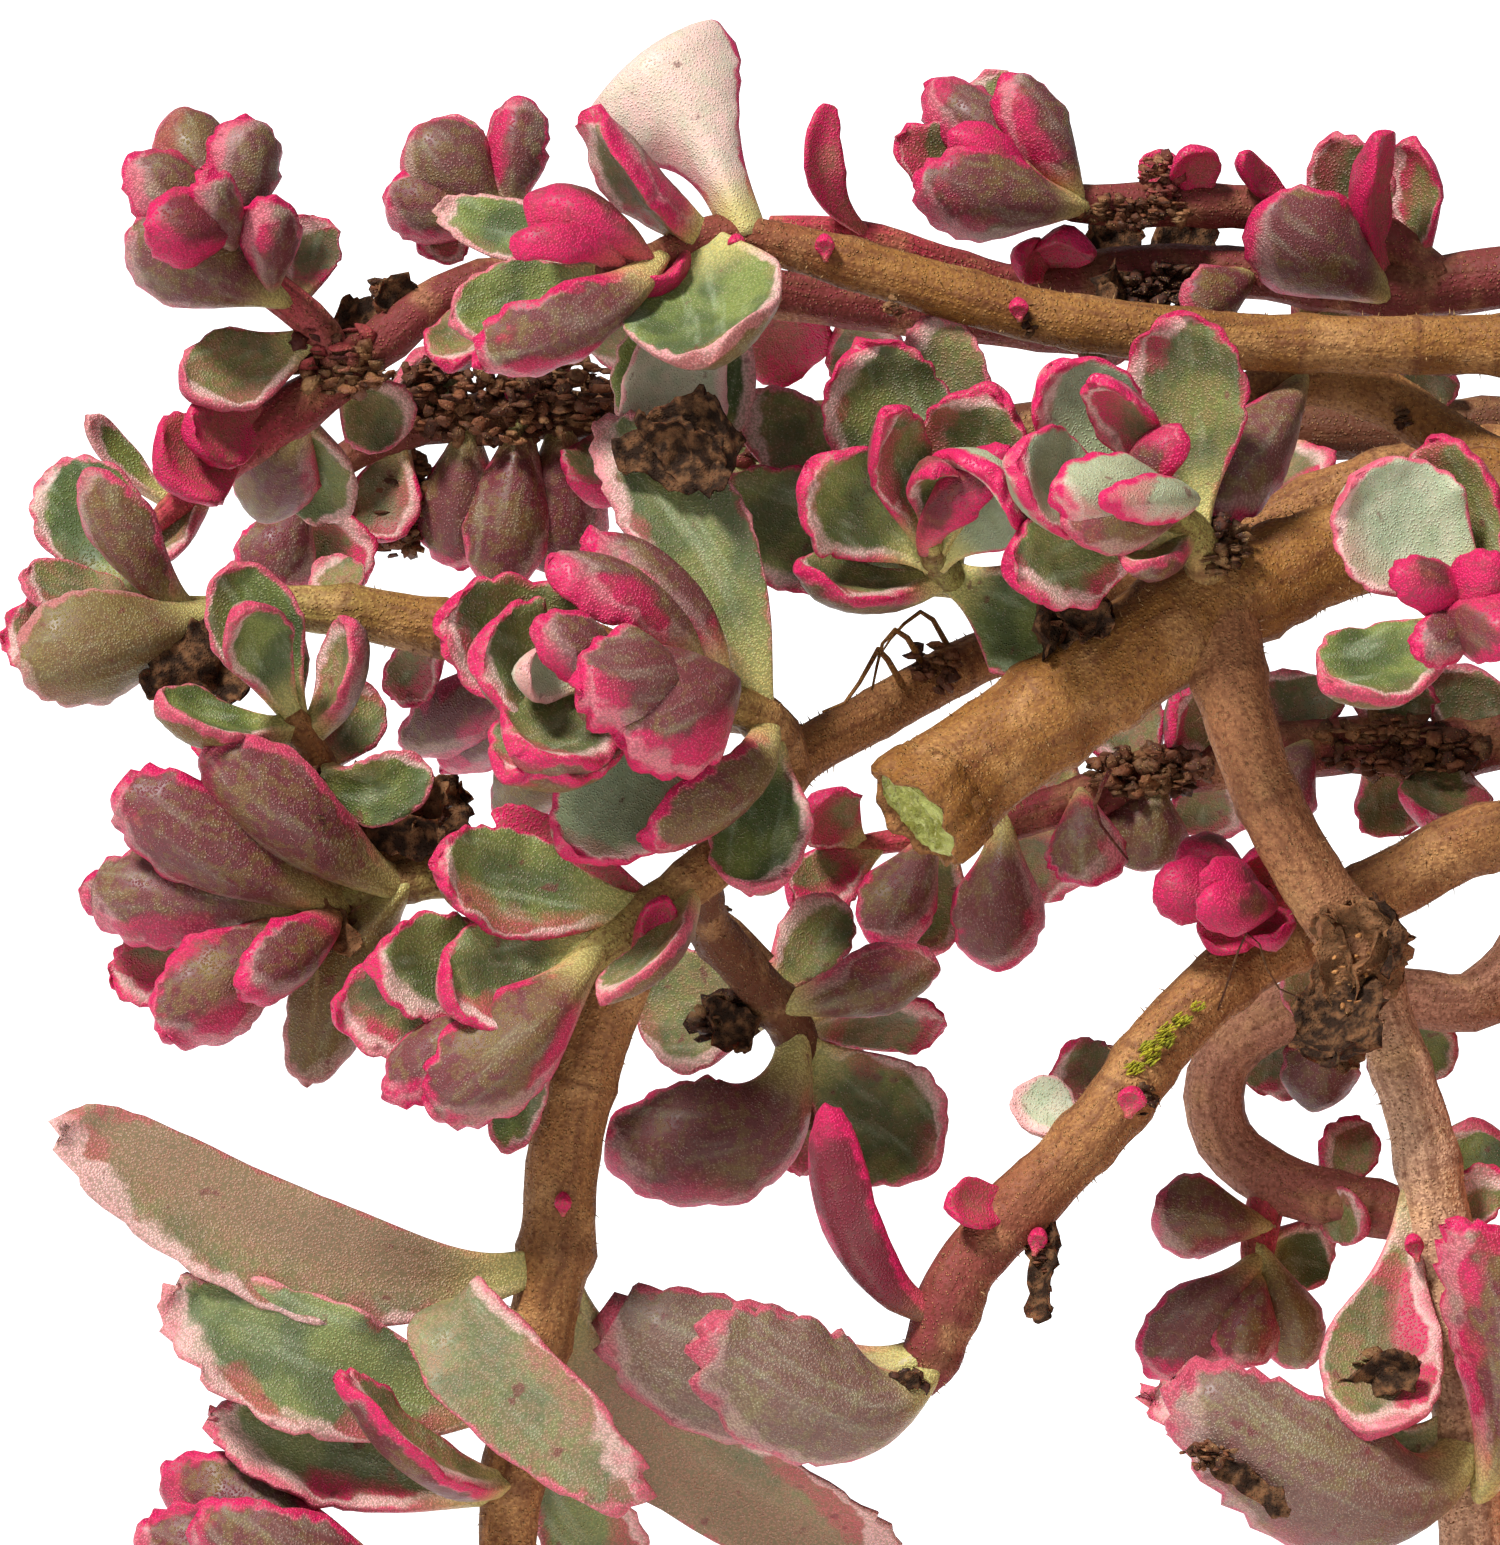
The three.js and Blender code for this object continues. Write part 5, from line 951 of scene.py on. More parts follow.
@dataclass(frozen=True)
class Blade:
    """A leaf in space, which can make its fine surface."""

    root: np.ndarray
    tip: np.ndarray
    facing: np.ndarray
    width: float
    roll: float
    bend: float
    look: LeafLook
    toward: np.ndarray | None = None

    def frame_at(self, s: np.ndarray) -> tuple[np.ndarray, np.ndarray, np.ndarray]:
        """The rib's points, and the directions across the blade and out of its upper face.

        Args:
            s: shares of the way from the root to the tip.

        Returns:
            Points, directions across and directions out.
        """
        chord = self.tip - self.root
        length = float(np.linalg.norm(chord))
        chord = chord / length
        normal = unit(self.facing - chord * (self.facing @ chord))
        normal = turned_about(normal, chord, math.radians(self.roll))
        middle = (self.root + self.tip) / 2 - normal * 2 * self.bend * length
        via = middle if self.toward is None else self.toward
        s = s[..., None]
        points = self.root * (1 - s) ** 2 + via * 2 * s * (1 - s) + self.tip * s**2
        along = unit((via - self.root) * (1 - s) + (self.tip - via) * s)
        out = unit(normal - along * (along @ normal)[..., None])
        return points, np.cross(along, out), out

    def grow(self, draft: Draft, detail: Detail, draw: Drawer) -> None:
        """Adds the leaf's surface to a draft: a lens with a round crenate margin, a groove and a cupped face.

        Args:
            draft: the draft to add to.
            detail: how fine the surface is.
            draw: the draws for small differences.
        """
        to_widest, beyond, size = detail.value
        look, widest = self.look, self.look.widest
        v, w = np.cos(turns(size))[None, :], np.sin(turns(size))[None, :]
        lower = np.linspace(0, 1, to_widest, endpoint=False)
        phi = np.append(np.linspace(0, math.pi / 2, beyond + 1)[:-1], LAST_RING)
        power = 2 / look.blunt
        s = np.concatenate([widest * lower, widest + (1 - widest) * np.sin(phi) ** power])[:, None]
        rho = np.concatenate([np.zeros(to_widest), np.sin(phi) ** power])[:, None]
        petiole = PETIOLE + (1 - PETIOLE) * smooth(lower, 0, 1) ** look.flare
        half = np.concatenate([petiole, np.cos(phi) ** power])[:, None]
        margin = np.concatenate([widest * lower, widest + (1 - widest) * phi / (math.pi / 2)])
        margin = margin[:, None]

        right = (v + 1) / 2
        scallops = draw(8, 10) * np.clip(np.linalg.norm(self.tip - self.root) / 8, 0.8, 1.5)
        teeth, wave = 0.0, 0.0
        for share in (right, 1 - right):
            start, swell = draw(0, 1), draw(0, math.tau)
            bent = margin + 0.02 * np.sin(17 * margin + 6 * start)
            uneven = 1 + 0.4 * np.sin(11 * margin + 9 * start)
            row = np.abs(np.sin(math.pi * (scallops * bent + start))) - 0.6
            teeth = teeth + share * uneven * row
            wave = wave + share * np.sin(math.tau * draw(1.6, 2.4) * margin + swell)
        ruffle = np.sin(math.tau * (0.45 * scallops * margin + right * draw(0.3, 0.7) + draw(0, 1)))
        ruffle = ruffle * look.teeth * self.width * smooth(margin, 0.35, 0.6)
        if look.rim < 0.3:
            teeth = teeth * (1 - 0.85 * right)
        teeth = teeth * look.teeth * smooth(margin, 0.4, 0.62) * draw(0.8, 1.4)
        close = np.maximum(np.abs(v), rho) ** 3
        swollen = 1 + teeth * close + 0.03 * wave * close
        beside = self.width / 2 * half * v * swollen
        s_at = s + np.maximum(s - widest, 0) * teeth * close

        thick = LEAF_THICKNESS * (0.8 + 0.2 * smooth(s, 0.0, 0.3)) * half ** np.where(s > widest, 0.45, 0)
        thick = thick * np.clip(self.width / 4, 0.6, 1.1) * (0.35 if look.dry else 1)
        rise = thick / 2 * np.sign(w) * np.abs(w) ** 0.85
        keel = 0.35 * np.exp(-((beside / 0.9) ** 2)) * (1 - smooth(s, 0.1, 0.75))
        pillow = 0.09 * self.width * (1 - v**2) * half * (1 - rho**2)
        rise = np.where(w < 0, rise - keel - pillow, rise)
        groove = 0.1 * np.exp(-((beside / 0.4) ** 2)) * smooth(s, 0.1, 0.4) * (1 - rho**2)
        dish = CUP * self.width / 2 * (half * v**2 + 0.3 * rho**2)
        dish = dish + (0.05 * self.width * wave * smooth(margin, 0.3, 0.6) + 0.4 * ruffle) * close
        points, across, out = self.frame_at(np.clip(s_at, 0, 1.03))
        rings = points + across * beside[..., None] + out * (rise + dish - groove)[..., None]
        if look.dry:
            crumple = 0.32 * lumps(rings, 2.4, draw(0, 9)) + 0.12 * lumps(rings, 0.7, 2.0)
            rings = rings + out * crumple[..., None]
            rings = rings + across * (0.3 * lumps(rings, 1.9, draw(0, 9)))[..., None]
        else:
            rings = rings + out * (0.035 * lumps(rings, 1.6, draw(0, 9)))[..., None]
        away = 1 - (rho**look.blunt + np.abs(half * v) ** look.blunt) ** (1 / look.blunt)
        away = np.where(s > widest, away, half * (1 - np.abs(v))) * self.width / 2
        draft.loft(
            rings, Finish.LEAF, outward=False, edge=away, side=smooth(w, -0.25, 0.25), along=s, lane=beside,
            chance=draw(0, 20), blush=look.blush * draw(0.8, 1.2), ruddy=look.ruddy * draw(0.8, 1.2),
            pale=look.pale + draw(0, 0.08), dry=look.dry, rim=look.rim,
        )


def stem_skin(
    draft: Draft, axis: Axis, barks: Sequence[Bark], near: bool, joints: Sequence[float], draw: Drawer
) -> None:
    """Adds a stem's skin to a draft, with a ring at each of its joints.

    Args:
        draft: the draft to add to.
        axis: the stem's axis.
        barks: the colours of its old skin, of its skin along the way and of its growing end.
        near: whether it is made finely.
        joints: shares of its length at which leaves grow or grew.
        draw: the draws for small differences.
    """
    step, size = NEAR_SKIN if near else FAR_SKIN
    shares = axis.even(step)
    points, along = axis.point(shares), axis.tangent(shares)
    run = np.concatenate([[0], np.cumsum(np.linalg.norm(np.diff(points, axis=0), axis=1))])
    radius = axis.radius(shares)
    for joint in joints:
        away = run - np.interp(joint, shares, run)
        radius = radius * (1 + draw(0.04, 0.1) * np.exp(-((away / 0.5) ** 2)))
    across = np.zeros_like(points)
    last = np.array([0.0, 1.0, 0.0])
    for i, direction in enumerate(along):
        last = unit(last - direction * (last @ direction))
        across[i] = last
    beside = np.cross(along, across)
    cosine, sine = np.cos(turns(size)), np.sin(turns(size))
    ring = across[:, None] * cosine[:, None] + beside[:, None] * sine[:, None]
    rings = points[:, None] + ring * radius[:, None, None]
    rough = 0.03 * lumps(rings, 3.1, 1.0) + 0.02 * lumps(rings, 0.9, 4.0)
    rings = rings + ring * (rough * np.minimum(radius, 1.5)[:, None])[..., None]
    old, middle, tip = (np.array(bark.value) for bark in barks)
    fresh = smooth(run, run[-1] - FRESH_ALONG[0], run[-1] - FRESH_ALONG[1])[:, None]
    worn = smooth(run, *WORN_ALONG)[:, None]
    tone = (old * (1 - worn) + middle * worn) * (1 - fresh) + tip * fresh
    places = np.interp(sorted(joints), shares, run)
    to_joint = np.abs(run[:, None] - places).min(axis=1) if len(places) else run + NO_JOINT
    draft.loft(
        rings, Finish.BARK, tone=tone, lane=cosine, side=sine, along=run[:, None], edge=to_joint[:, None],
        chance=draw(0, 20),
    )


def bristles(draft: Draft, axis: Axis, bark: Bark, per_area: float, draw: Drawer) -> None:
    """Adds the short stiff hairs of a stem's skin to a draft, each a thin three-sided spike.

    Args:
        draft: the draft to add to.
        axis: the stem's axis.
        bark: the colour of its skin.
        per_area: how many hairs grow on a square millimetre.
        draw: the draws for small differences.
    """
    step = 0.5
    shares = axis.even(step)
    middle = float(axis.radius(shares).mean())
    count = int(per_area * math.tau * middle * step * len(shares))
    picked = np.random.default_rng(int(draw(0, 1e6)))
    at = np.interp(picked.random(count) * (len(shares) - 1), range(len(shares)), shares)
    turn = picked.random(count)[:, None] * math.tau
    along, radius = axis.tangent(at), axis.radius(at)[:, None]
    across = unit(FORWARD - along * (along @ FORWARD)[:, None])
    beside = np.cross(along, across)
    out = across * np.cos(turn) + beside * np.sin(turn)
    around = np.cross(along, out)
    least, more = HAIR_LENGTH
    reach = (least + more * picked.random(count) ** 2)[:, None]
    foot = axis.point(at) + out * (radius - HAIR_SUNK)
    rows = [foot + HAIR_RADIUS * (along * math.cos(k) + around * math.sin(k)) for k in HAIR_SIDES]
    rows.append(foot + out * (reach + HAIR_SUNK) + along * reach * (picked.random(count)[:, None] - 0.2))
    first = 4 * np.arange(count)[:, None]
    sides = np.vstack([first + side for side in ((0, 1, 3), (1, 2, 3), (2, 0, 3), (2, 1, 0))])
    points = np.stack(rows, axis=1).reshape(-1, 3)
    draft.add(points, [sides], Finish.BARK, tone=(np.array(bark.value) + HAIR_TONE) / 2, edge=NO_JOINT)


class Graph:
    """Builds a material's shader nodes."""

    def __init__(self, name: str) -> None:
        """Makes a material with an empty surface.

        Args:
            name: its name.
        """
        self.material = bpy.data.materials.new(name)
        self.material.use_nodes = True
        self.tree = self.material.node_tree
        self.shader = self.tree.nodes["Principled BSDF"]
        self.place = self.make("ShaderNodeTexCoord").outputs["Object"]

    def put(self, node: bpy.types.Node, socket: str | int, value: object) -> None:
        """Sets an input of a node, or joins an output or a point attribute to it, given by its name.

        Args:
            node: the node.
            socket: the input.
            value: a value, an output, or the name of a point attribute.
        """
        target = node.inputs[socket]
        if isinstance(value, str):
            value = self.value(value)
        if isinstance(value, Socket):
            self.tree.links.new(value, target)
        else:
            target.default_value = value

    def make(self, kind: str, **inputs: object) -> bpy.types.Node:
        """Adds a node of a kind, with its inputs by name.

        Args:
            kind: the kind.
            inputs: the inputs.

        Returns:
            The node.
        """
        node = self.tree.nodes.new(kind)
        for socket, value in inputs.items():
            self.put(node, socket.replace("_", " "), value)
        return node

    def value(self, name: str, output: str = "Fac") -> Socket:
        """A point attribute's number, or its colour from the output Color.

        Args:
            name: the attribute.
            output: which output is read.

        Returns:
            The output.
        """
        node = self.make("ShaderNodeAttribute")
        node.attribute_name = name
        return node.outputs[output]

    def noise(self, size: float, detail: float = 3.0, place: Socket | None = None) -> Socket:
        """Soft noise.

        Args:
            size: the size of its lumps in millimetres.
            detail: how many finer layers it has.
            place: where it is read, in metres, or None for the place on the object.

        Returns:
            Its value, about 0.2 to 0.8.
        """
        where = place or self.place
        node = self.make("ShaderNodeTexNoise", Vector=where, Scale=1 / (size * MM), Detail=detail)
        return node.outputs["Fac"]

    def pebbles(self, size: float) -> Socket:
        """The distance to the middle of the nearest pebble, for pebbles of a size in millimetres."""
        node = self.make("ShaderNodeTexVoronoi", Vector=self.place, Scale=1 / (size * MM))
        return node.outputs["Distance"]

    def arithmetic(self, operation: str, first: object, second: object) -> Socket:
        """Arithmetic on two numbers.

        Args:
            operation: what is done.
            first: the first number.
            second: the second number.

        Returns:
            The result.
        """
        node = self.make("ShaderNodeMath")
        node.operation = operation
        self.put(node, 0, first)
        self.put(node, 1, second)
        return node.outputs[0]

    def times(self, first: object, second: object) -> Socket:
        """A product."""
        return self.arithmetic("MULTIPLY", first, second)

    def plus(self, first: object, second: object) -> Socket:
        """A sum."""
        return self.arithmetic("ADD", first, second)

    def over(self, first: object, second: object) -> Socket:
        """A quotient."""
        return self.arithmetic("DIVIDE", first, second)

    def most(self, first: object, second: object) -> Socket:
        """The larger of two."""
        return self.arithmetic("MAXIMUM", first, second)

    def vector(self, *values: object) -> Socket:
        """A place from its three coordinates.

        Args:
            values: the coordinates.

        Returns:
            The place.
        """
        node = self.make("ShaderNodeCombineXYZ")
        for socket, value in enumerate(values):
            self.put(node, socket, value)
        return node.outputs[0]

    def share(self, value: object, low: float, high: float, start: object = 0.0, end: object = 1.0) -> Socket:
        """A number moved softly from one pair of limits to another.

        Args:
            value: the number.
            low: where the step starts.
            high: where it ends.
            start: the result before the step.
            end: the result after it.

        Returns:
            The moved number.
        """
        node = self.make("ShaderNodeMapRange", Value=value)
        node.interpolation_type = "SMOOTHSTEP"
        limits = {"From Min": low, "From Max": high, "To Min": start, "To Max": end}
        for socket, limit in limits.items():
            self.put(node, socket, limit)
        return node.outputs[0]

    def mix(self, share: object, first: object, second: object) -> Socket:
        """A colour between two colours, given as sRGB shares or as sockets.

        Args:
            share: the share of the second.
            first: the first colour.
            second: the second colour.

        Returns:
            The mixed colour.
        """
        node = self.make("ShaderNodeMix")
        node.data_type = "RGBA"
        self.put(node, 0, share)
        for socket, colour in ((6, first), (7, second)):
            self.put(node, socket, colour if isinstance(colour, Socket) else colour_of(colour))
        return node.outputs[2]

    def relief(self, height: Socket, depth: float) -> None:
        """Gives the surface a fine relief of a depth in millimetres, on top of any it has.

        Args:
            height: its heights, from 0 to 1.
            depth: its depth.
        """
        node = self.make("ShaderNodeBump", Height=height, Distance=depth * MM, Strength=1.0)
        last = self.shader.inputs["Normal"]
        if last.is_linked:
            self.put(node, "Normal", last.links[0].from_socket)
        self.put(self.shader, "Normal", node.outputs[0])

    def surface(self, colour: object, roughness: object, **inputs: object) -> Material:
        """Sets the surface's colour and roughness, and returns the material.

        Args:
            colour: the colour.
            roughness: the roughness.
            inputs: other inputs by name.

        Returns:
            The material.
        """
        self.put(self.shader, "Base Color", colour)
        self.put(self.shader, "Roughness", roughness)
        for socket, value in inputs.items():
            self.put(self.shader, socket.replace("_", " "), value)
        return self.material


def colour_of(colour: Triple) -> tuple[float, float, float, float]:
    """A colour in linear light, from sRGB shares."""
    red, green, blue = (float(value) for value in srgb(np.array(colour)))
    return red, green, blue, 1.0


@dataclass(frozen=True)
class LeafSkin:
    """The skin of the leaves.

    Attributes:
        green: the upper face.
        deep: its darker patches, and the painted shade between the pebbles of the upper face.
        streak: its paler streaks, and half the colour of the pale dots on the pebbles, which are partly
            painted glints.
        tawny: its tan in strong light.
        olive: a plain underside.
        maroon: a ruddy underside.
        cream: the inner part of the margin, and half the colour of the pale dots on the pebbles.
        pink: the outer part of the margin.
        crimson: the deepest flush.
        petiole: the leaf's foot.
        withered: a dead leaf.
        parchment: a dry papery leaf.
        dusk: the painted shade between the pebbles of the undersides.
        papilla: the size of the skin's pebbles in millimetres.
    """

    green: Triple = (0.47, 0.51, 0.24)
    deep: Triple = (0.26, 0.31, 0.15)
    streak: Triple = (0.68, 0.72, 0.59)
    tawny: Triple = (0.59, 0.38, 0.30)
    olive: Triple = (0.46, 0.39, 0.17)
    maroon: Triple = (0.41, 0.16, 0.19)
    cream: Triple = (0.89, 0.71, 0.68)
    pink: Triple = (0.78, 0.06, 0.33)
    crimson: Triple = (0.43, 0.05, 0.15)
    petiole: Triple = (0.76, 0.71, 0.42)
    withered: Triple = (0.17, 0.12, 0.09)
    parchment: Triple = (0.56, 0.39, 0.26)
    dusk: Triple = (0.29, 0.15, 0.13)
    papilla: float = 0.11

    def face(self, g: Graph, broad: Socket, fine: Socket) -> Socket:
        """The colour of the blade inside its margin.

        Args:
            g: the material's nodes.
            broad: noise for patches.
            fine: noise for the grain of a pale blade.

        Returns:
            The colour.
        """
        ribbon = g.vector(g.times("lane", MM), g.times("along", 1.6 * MM), g.times("chance", MM))
        streaks = g.noise(0.6, 2.0, ribbon)
        upper = g.mix(g.share(broad, 0.38, 0.62), self.green, self.deep)
        upper = g.mix(g.share(streaks, 0.5, 0.78, 0, 0.4), upper, self.streak)
        mottle = g.share(g.noise(0.45, 5.0), 0.36, 0.62)
        tan = g.times(g.share("ruddy", 0.2, 1), g.share(broad, 0.35, 0.6, 1, 0.5))
        upper = g.mix(g.times(tan, g.share(mottle, 0, 1, 0.4, 1)), upper, self.tawny)
        shy = g.times(g.share("rim", 0.1, 0.3, 0.85, 0), g.share("lane", -1.9, 0.3))
        upper = g.mix(shy, upper, self.tawny)
        tan = g.times("ruddy", g.share(broad, 0.3, 0.6, 0.5, 1.3))
        lower = g.mix(g.times(tan, g.share(mottle, 0, 1, 0.5, 1.15)), self.olive, self.maroon)
        lower = g.mix(g.share(streaks, 0.5, 0.75, 0, 0.2), lower, self.streak)
        g.relief(streaks, 0.05)
        face = g.mix("side", lower, upper)
        pale = g.times("pale", g.share(fine, 0.2, 0.8, 0.75, 1))
        return g.mix(g.share(pale, 0.7, 1.6), g.mix(pale, face, self.streak), self.cream)

    def margin(self, g: Graph, colour: Socket, broad: Socket, fine: Socket) -> Socket:
        """The colour with the flush and the two-coloured margin over it.

        Args:
            g: the material's nodes.
            colour: the colour of the blade inside the margin.
            broad: noise for patches.
            fine: noise for the margin's rough outline.

        Returns:
            The colour.
        """
        patch = g.noise(3.4)
        lane = g.times("lane", g.share("side", 0, 1, -1, 1))
        lean = g.share(lane, -1, 1, 1.8, 0.35)
        spread = g.times(g.share(patch, 0.42, 0.64, 0.4, 2.0), g.plus("blush", 0.1))
        spread = g.times(spread, lean)
        depth = g.over(g.plus("edge", g.share(fine, 0.3, 0.7, -0.2, 0.2)), spread)
        flush = g.times(g.share(depth, 0.3, 1.15, 1, 0), g.share("blush", 0.15, 0.7, 0.1, 0.95))
        whole = g.times(g.share("blush", 1.1, 1.9), g.share(patch, 0.4, 0.6, 0.65, 0.98))
        flush = g.most(flush, whole)
        flush = g.times(flush, g.share(fine, 0.3, 0.6, 0.6, 1))
        bright = g.most("side", g.share(depth, 0.3, 1, 1, 0))
        bright = g.times(bright, g.share("ruddy", 1.35, 1.5, 1, 0))
        colour = g.mix(flush, colour, g.mix(bright, self.crimson, self.pink))
        wobble = g.plus("edge", g.share(fine, 0.3, 0.7, -0.09, 0.09))
        reach = g.times(g.share(patch, 0.42, 0.66, 0.5, 0.12), g.plus("blush", 0.35))
        reach = g.most(g.times(reach, lean), 0.12)
        inside = g.over(wobble, reach)
        washed = g.times(g.share("side", 0, 1, 0.3, 0.8), g.share("blush", 1, 1.4, 1, 0))
        both = g.most(g.share("rim", 0.1, 0.3), g.share(lane, -0.3, 0.6, 1, 0))
        washed = g.times(washed, both)
        colour = g.mix(g.share(inside, 0.75, 1.3, washed, 0), colour, self.cream)
        hot = g.times(g.share("blush", 0, 0.4, 0.6, 1), "rim")
        rim = g.share(wobble, 0.05, 0.22, 1, 0)
        rim = g.most(rim, g.times(g.share(inside, 0.2, 0.8, 0.9, 0), g.share(broad, 0.4, 0.6)))
        return g.mix(g.times(rim, hot), colour, self.pink)

    def make(self) -> Material:
        """Makes the material from the leaf's point attributes.

        Returns:
            The material.
        """
        g = Graph("leaf")
        broad, fine = g.noise(2.6), g.noise(0.7, 4.0)
        colour = self.margin(g, self.face(g, broad, fine), broad, fine)
        foot = g.share("along", 0.08, 0.36, 0.9, 0)
        foot = g.times(foot, g.share("blush", 0.8, 1.3, 1, 0.2))
        colour = g.mix(foot, colour, self.petiole)
        grain = g.pebbles(self.papilla)
        # Pale dots on the tops of the pebbles: partly the papillae's own pale colour, partly painted glints.
        specks_and_glints = g.times(g.share(grain, 0.06, 0.3, 1, 0), g.share(fine, 0.35, 0.62, 0.1, 0.75))
        specks_and_glints = g.times(specks_and_glints, g.share("blush", 0.3, 1.3, 1, 0.2))
        colour = g.mix(specks_and_glints, colour, g.mix(0.5, self.streak, self.cream))
        # Painted shade between the pebbles of the skin: deep on the upper face, dusk on the underside.
        shade = g.times(g.share(grain, 0.4, 0.7), g.share("pale", 0.2, 1, 0.5, 0.15))
        colour = g.mix(shade, colour, g.mix("side", self.dusk, self.deep))
        colour = g.mix(g.share(g.noise(0.9, 5.0), 0.66, 0.72, 0, 0.6), colour, self.maroon)
        crumple = g.noise(0.5, 5.0)
        dull = g.plus(g.share(crumple, 0.4, 0.7, 0, 0.5), g.share("ruddy", 0.2, 1, 0, 0.45))
        colour = g.mix("dry", colour, g.mix(dull, self.withered, self.parchment))
        g.relief(g.share(grain, 0, 0.55, 1, 0), 0.045)
        g.relief(g.times(crumple, "dry"), 0.18)
        rough = g.most(g.share(fine, 0.3, 0.7, 0.38, 0.56), g.times("dry", 0.9))
        shine = g.share("dry", 0, 1, 0.26, 0.05)
        thin = {"Subsurface_Weight": 0.1, "Subsurface_Scale": 0.5 * MM}
        return g.surface(colour, rough, Specular_IOR_Level=shine, **thin)


@dataclass(frozen=True)
class BarkSkin:
    """The skin of the stems, over the colour that each stem carries.

    Attributes:
        fleck: its dark flecks.
        bloom: its pale corky patches and pores.
    """

    fleck: Triple = (0.34, 0.17, 0.10)
    bloom: Triple = (0.81, 0.62, 0.40)

    def make(self) -> Material:
        """Makes the material.

        Returns:
            The material.
        """
        g = Graph("bark")
        down = g.times(g.plus("along", "chance"), 0.16 * MM)
        tube = g.vector(g.times("lane", 1.3 * MM), g.times("side", 1.3 * MM), down)
        streaks = g.noise(0.45, 4.0, tube)
        broad, fine = g.noise(2.2, 4.0), g.noise(0.2, 4.0)
        grain = g.pebbles(0.17)
        colour = g.mix(g.share(streaks, 0.42, 0.7, 0, 0.55), g.value("tone", "Color"), self.fleck)
        colour = g.mix(g.share(broad, 0.48, 0.7, 0, 0.4), colour, self.bloom)
        colour = g.mix(g.share(fine, 0.5, 0.68, 0, 0.6), colour, self.fleck)
        colour = g.mix(g.share(grain, 0.4, 0.7, 0, 0.4), colour, self.fleck)
        colour = g.mix(g.share(grain, 0.05, 0.3, 0.55, 0), colour, self.bloom)
        ring = g.times(g.share("edge", 0.05, 0.3, 0.6, 0), g.share(broad, 0.4, 0.6))
        colour = g.mix(ring, colour, self.fleck)
        g.relief(streaks, 0.12)
        g.relief(g.share(grain, 0, 0.45, 1, 0), 0.08)
        g.relief(fine, 0.08)
        return g.surface(colour, g.share(fine, 0.3, 0.7, 0.5, 0.75), Specular_IOR_Level=0.2)


@dataclass(frozen=True)
class Grained:
    """A plain matt finish with patches, grain and a fine relief.

    Attributes:
        name: the material's name.
        base: its colour.
        patch: its patches.
        speck: its grain.
        size: the size of the patches in millimetres.
        depth: the depth of the relief in millimetres.
        roughness: how matt it is.
    """

    name: str
    base: Triple
    patch: Triple
    speck: Triple
    size: float
    depth: float
    roughness: float = 0.85

    def make(self) -> Material:
        """Makes the material.

        Returns:
            The material.
        """
        g = Graph(self.name)
        broad, fine = g.noise(self.size), g.noise(self.size / 6, 5.0)
        colour = g.mix(g.share(broad, 0.35, 0.65), self.base, self.patch)
        colour = g.mix(g.share(fine, 0.58, 0.7, 0, 0.6), colour, self.speck)
        g.relief(fine, self.depth)
        return g.surface(colour, self.roughness)


CLAY = Grained("clay", (0.75, 0.44, 0.30), (0.70, 0.38, 0.25), (0.82, 0.57, 0.44), 5.0, 0.12)
EARTH = Grained("earth", (0.20, 0.14, 0.11), (0.14, 0.10, 0.08), (0.36, 0.27, 0.20), 3.0, 0.5)
CHIPS = Grained("bark chips", (0.44, 0.30, 0.20), (0.30, 0.20, 0.14), (0.60, 0.46, 0.34), 2.0, 0.3)
GRIT = Grained("grit", (0.84, 0.82, 0.78), (0.74, 0.72, 0.68), (0.92, 0.91, 0.88), 1.0, 0.2)
PITH = Grained("pith", (0.76, 0.78, 0.42), (0.60, 0.60, 0.22), (0.93, 0.91, 0.66), 1.2, 0.3, 0.5)
MOSS = Grained("moss", (0.64, 0.60, 0.06), (0.50, 0.50, 0.05), (0.80, 0.76, 0.26), 0.8, 0.1)


def dress(made: bpy.types.Object, node: str) -> None:
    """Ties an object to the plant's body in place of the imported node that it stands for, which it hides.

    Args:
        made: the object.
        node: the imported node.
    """
    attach(made, "root")
    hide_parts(node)
    LOG.info("%s: %d triangles", made.name, sum(len(face.vertices) - 2 for face in made.data.polygons))


def foot_knots(x: float, y: float, radius: float) -> Knots:
    """The knots of a stem's foot, upright in the soil and for a short way above it."""
    return [(np.array([x, y, z]), radius) for z in (STEM_FOOT, STRAIGHT_TO, ABOVE_SOIL)]


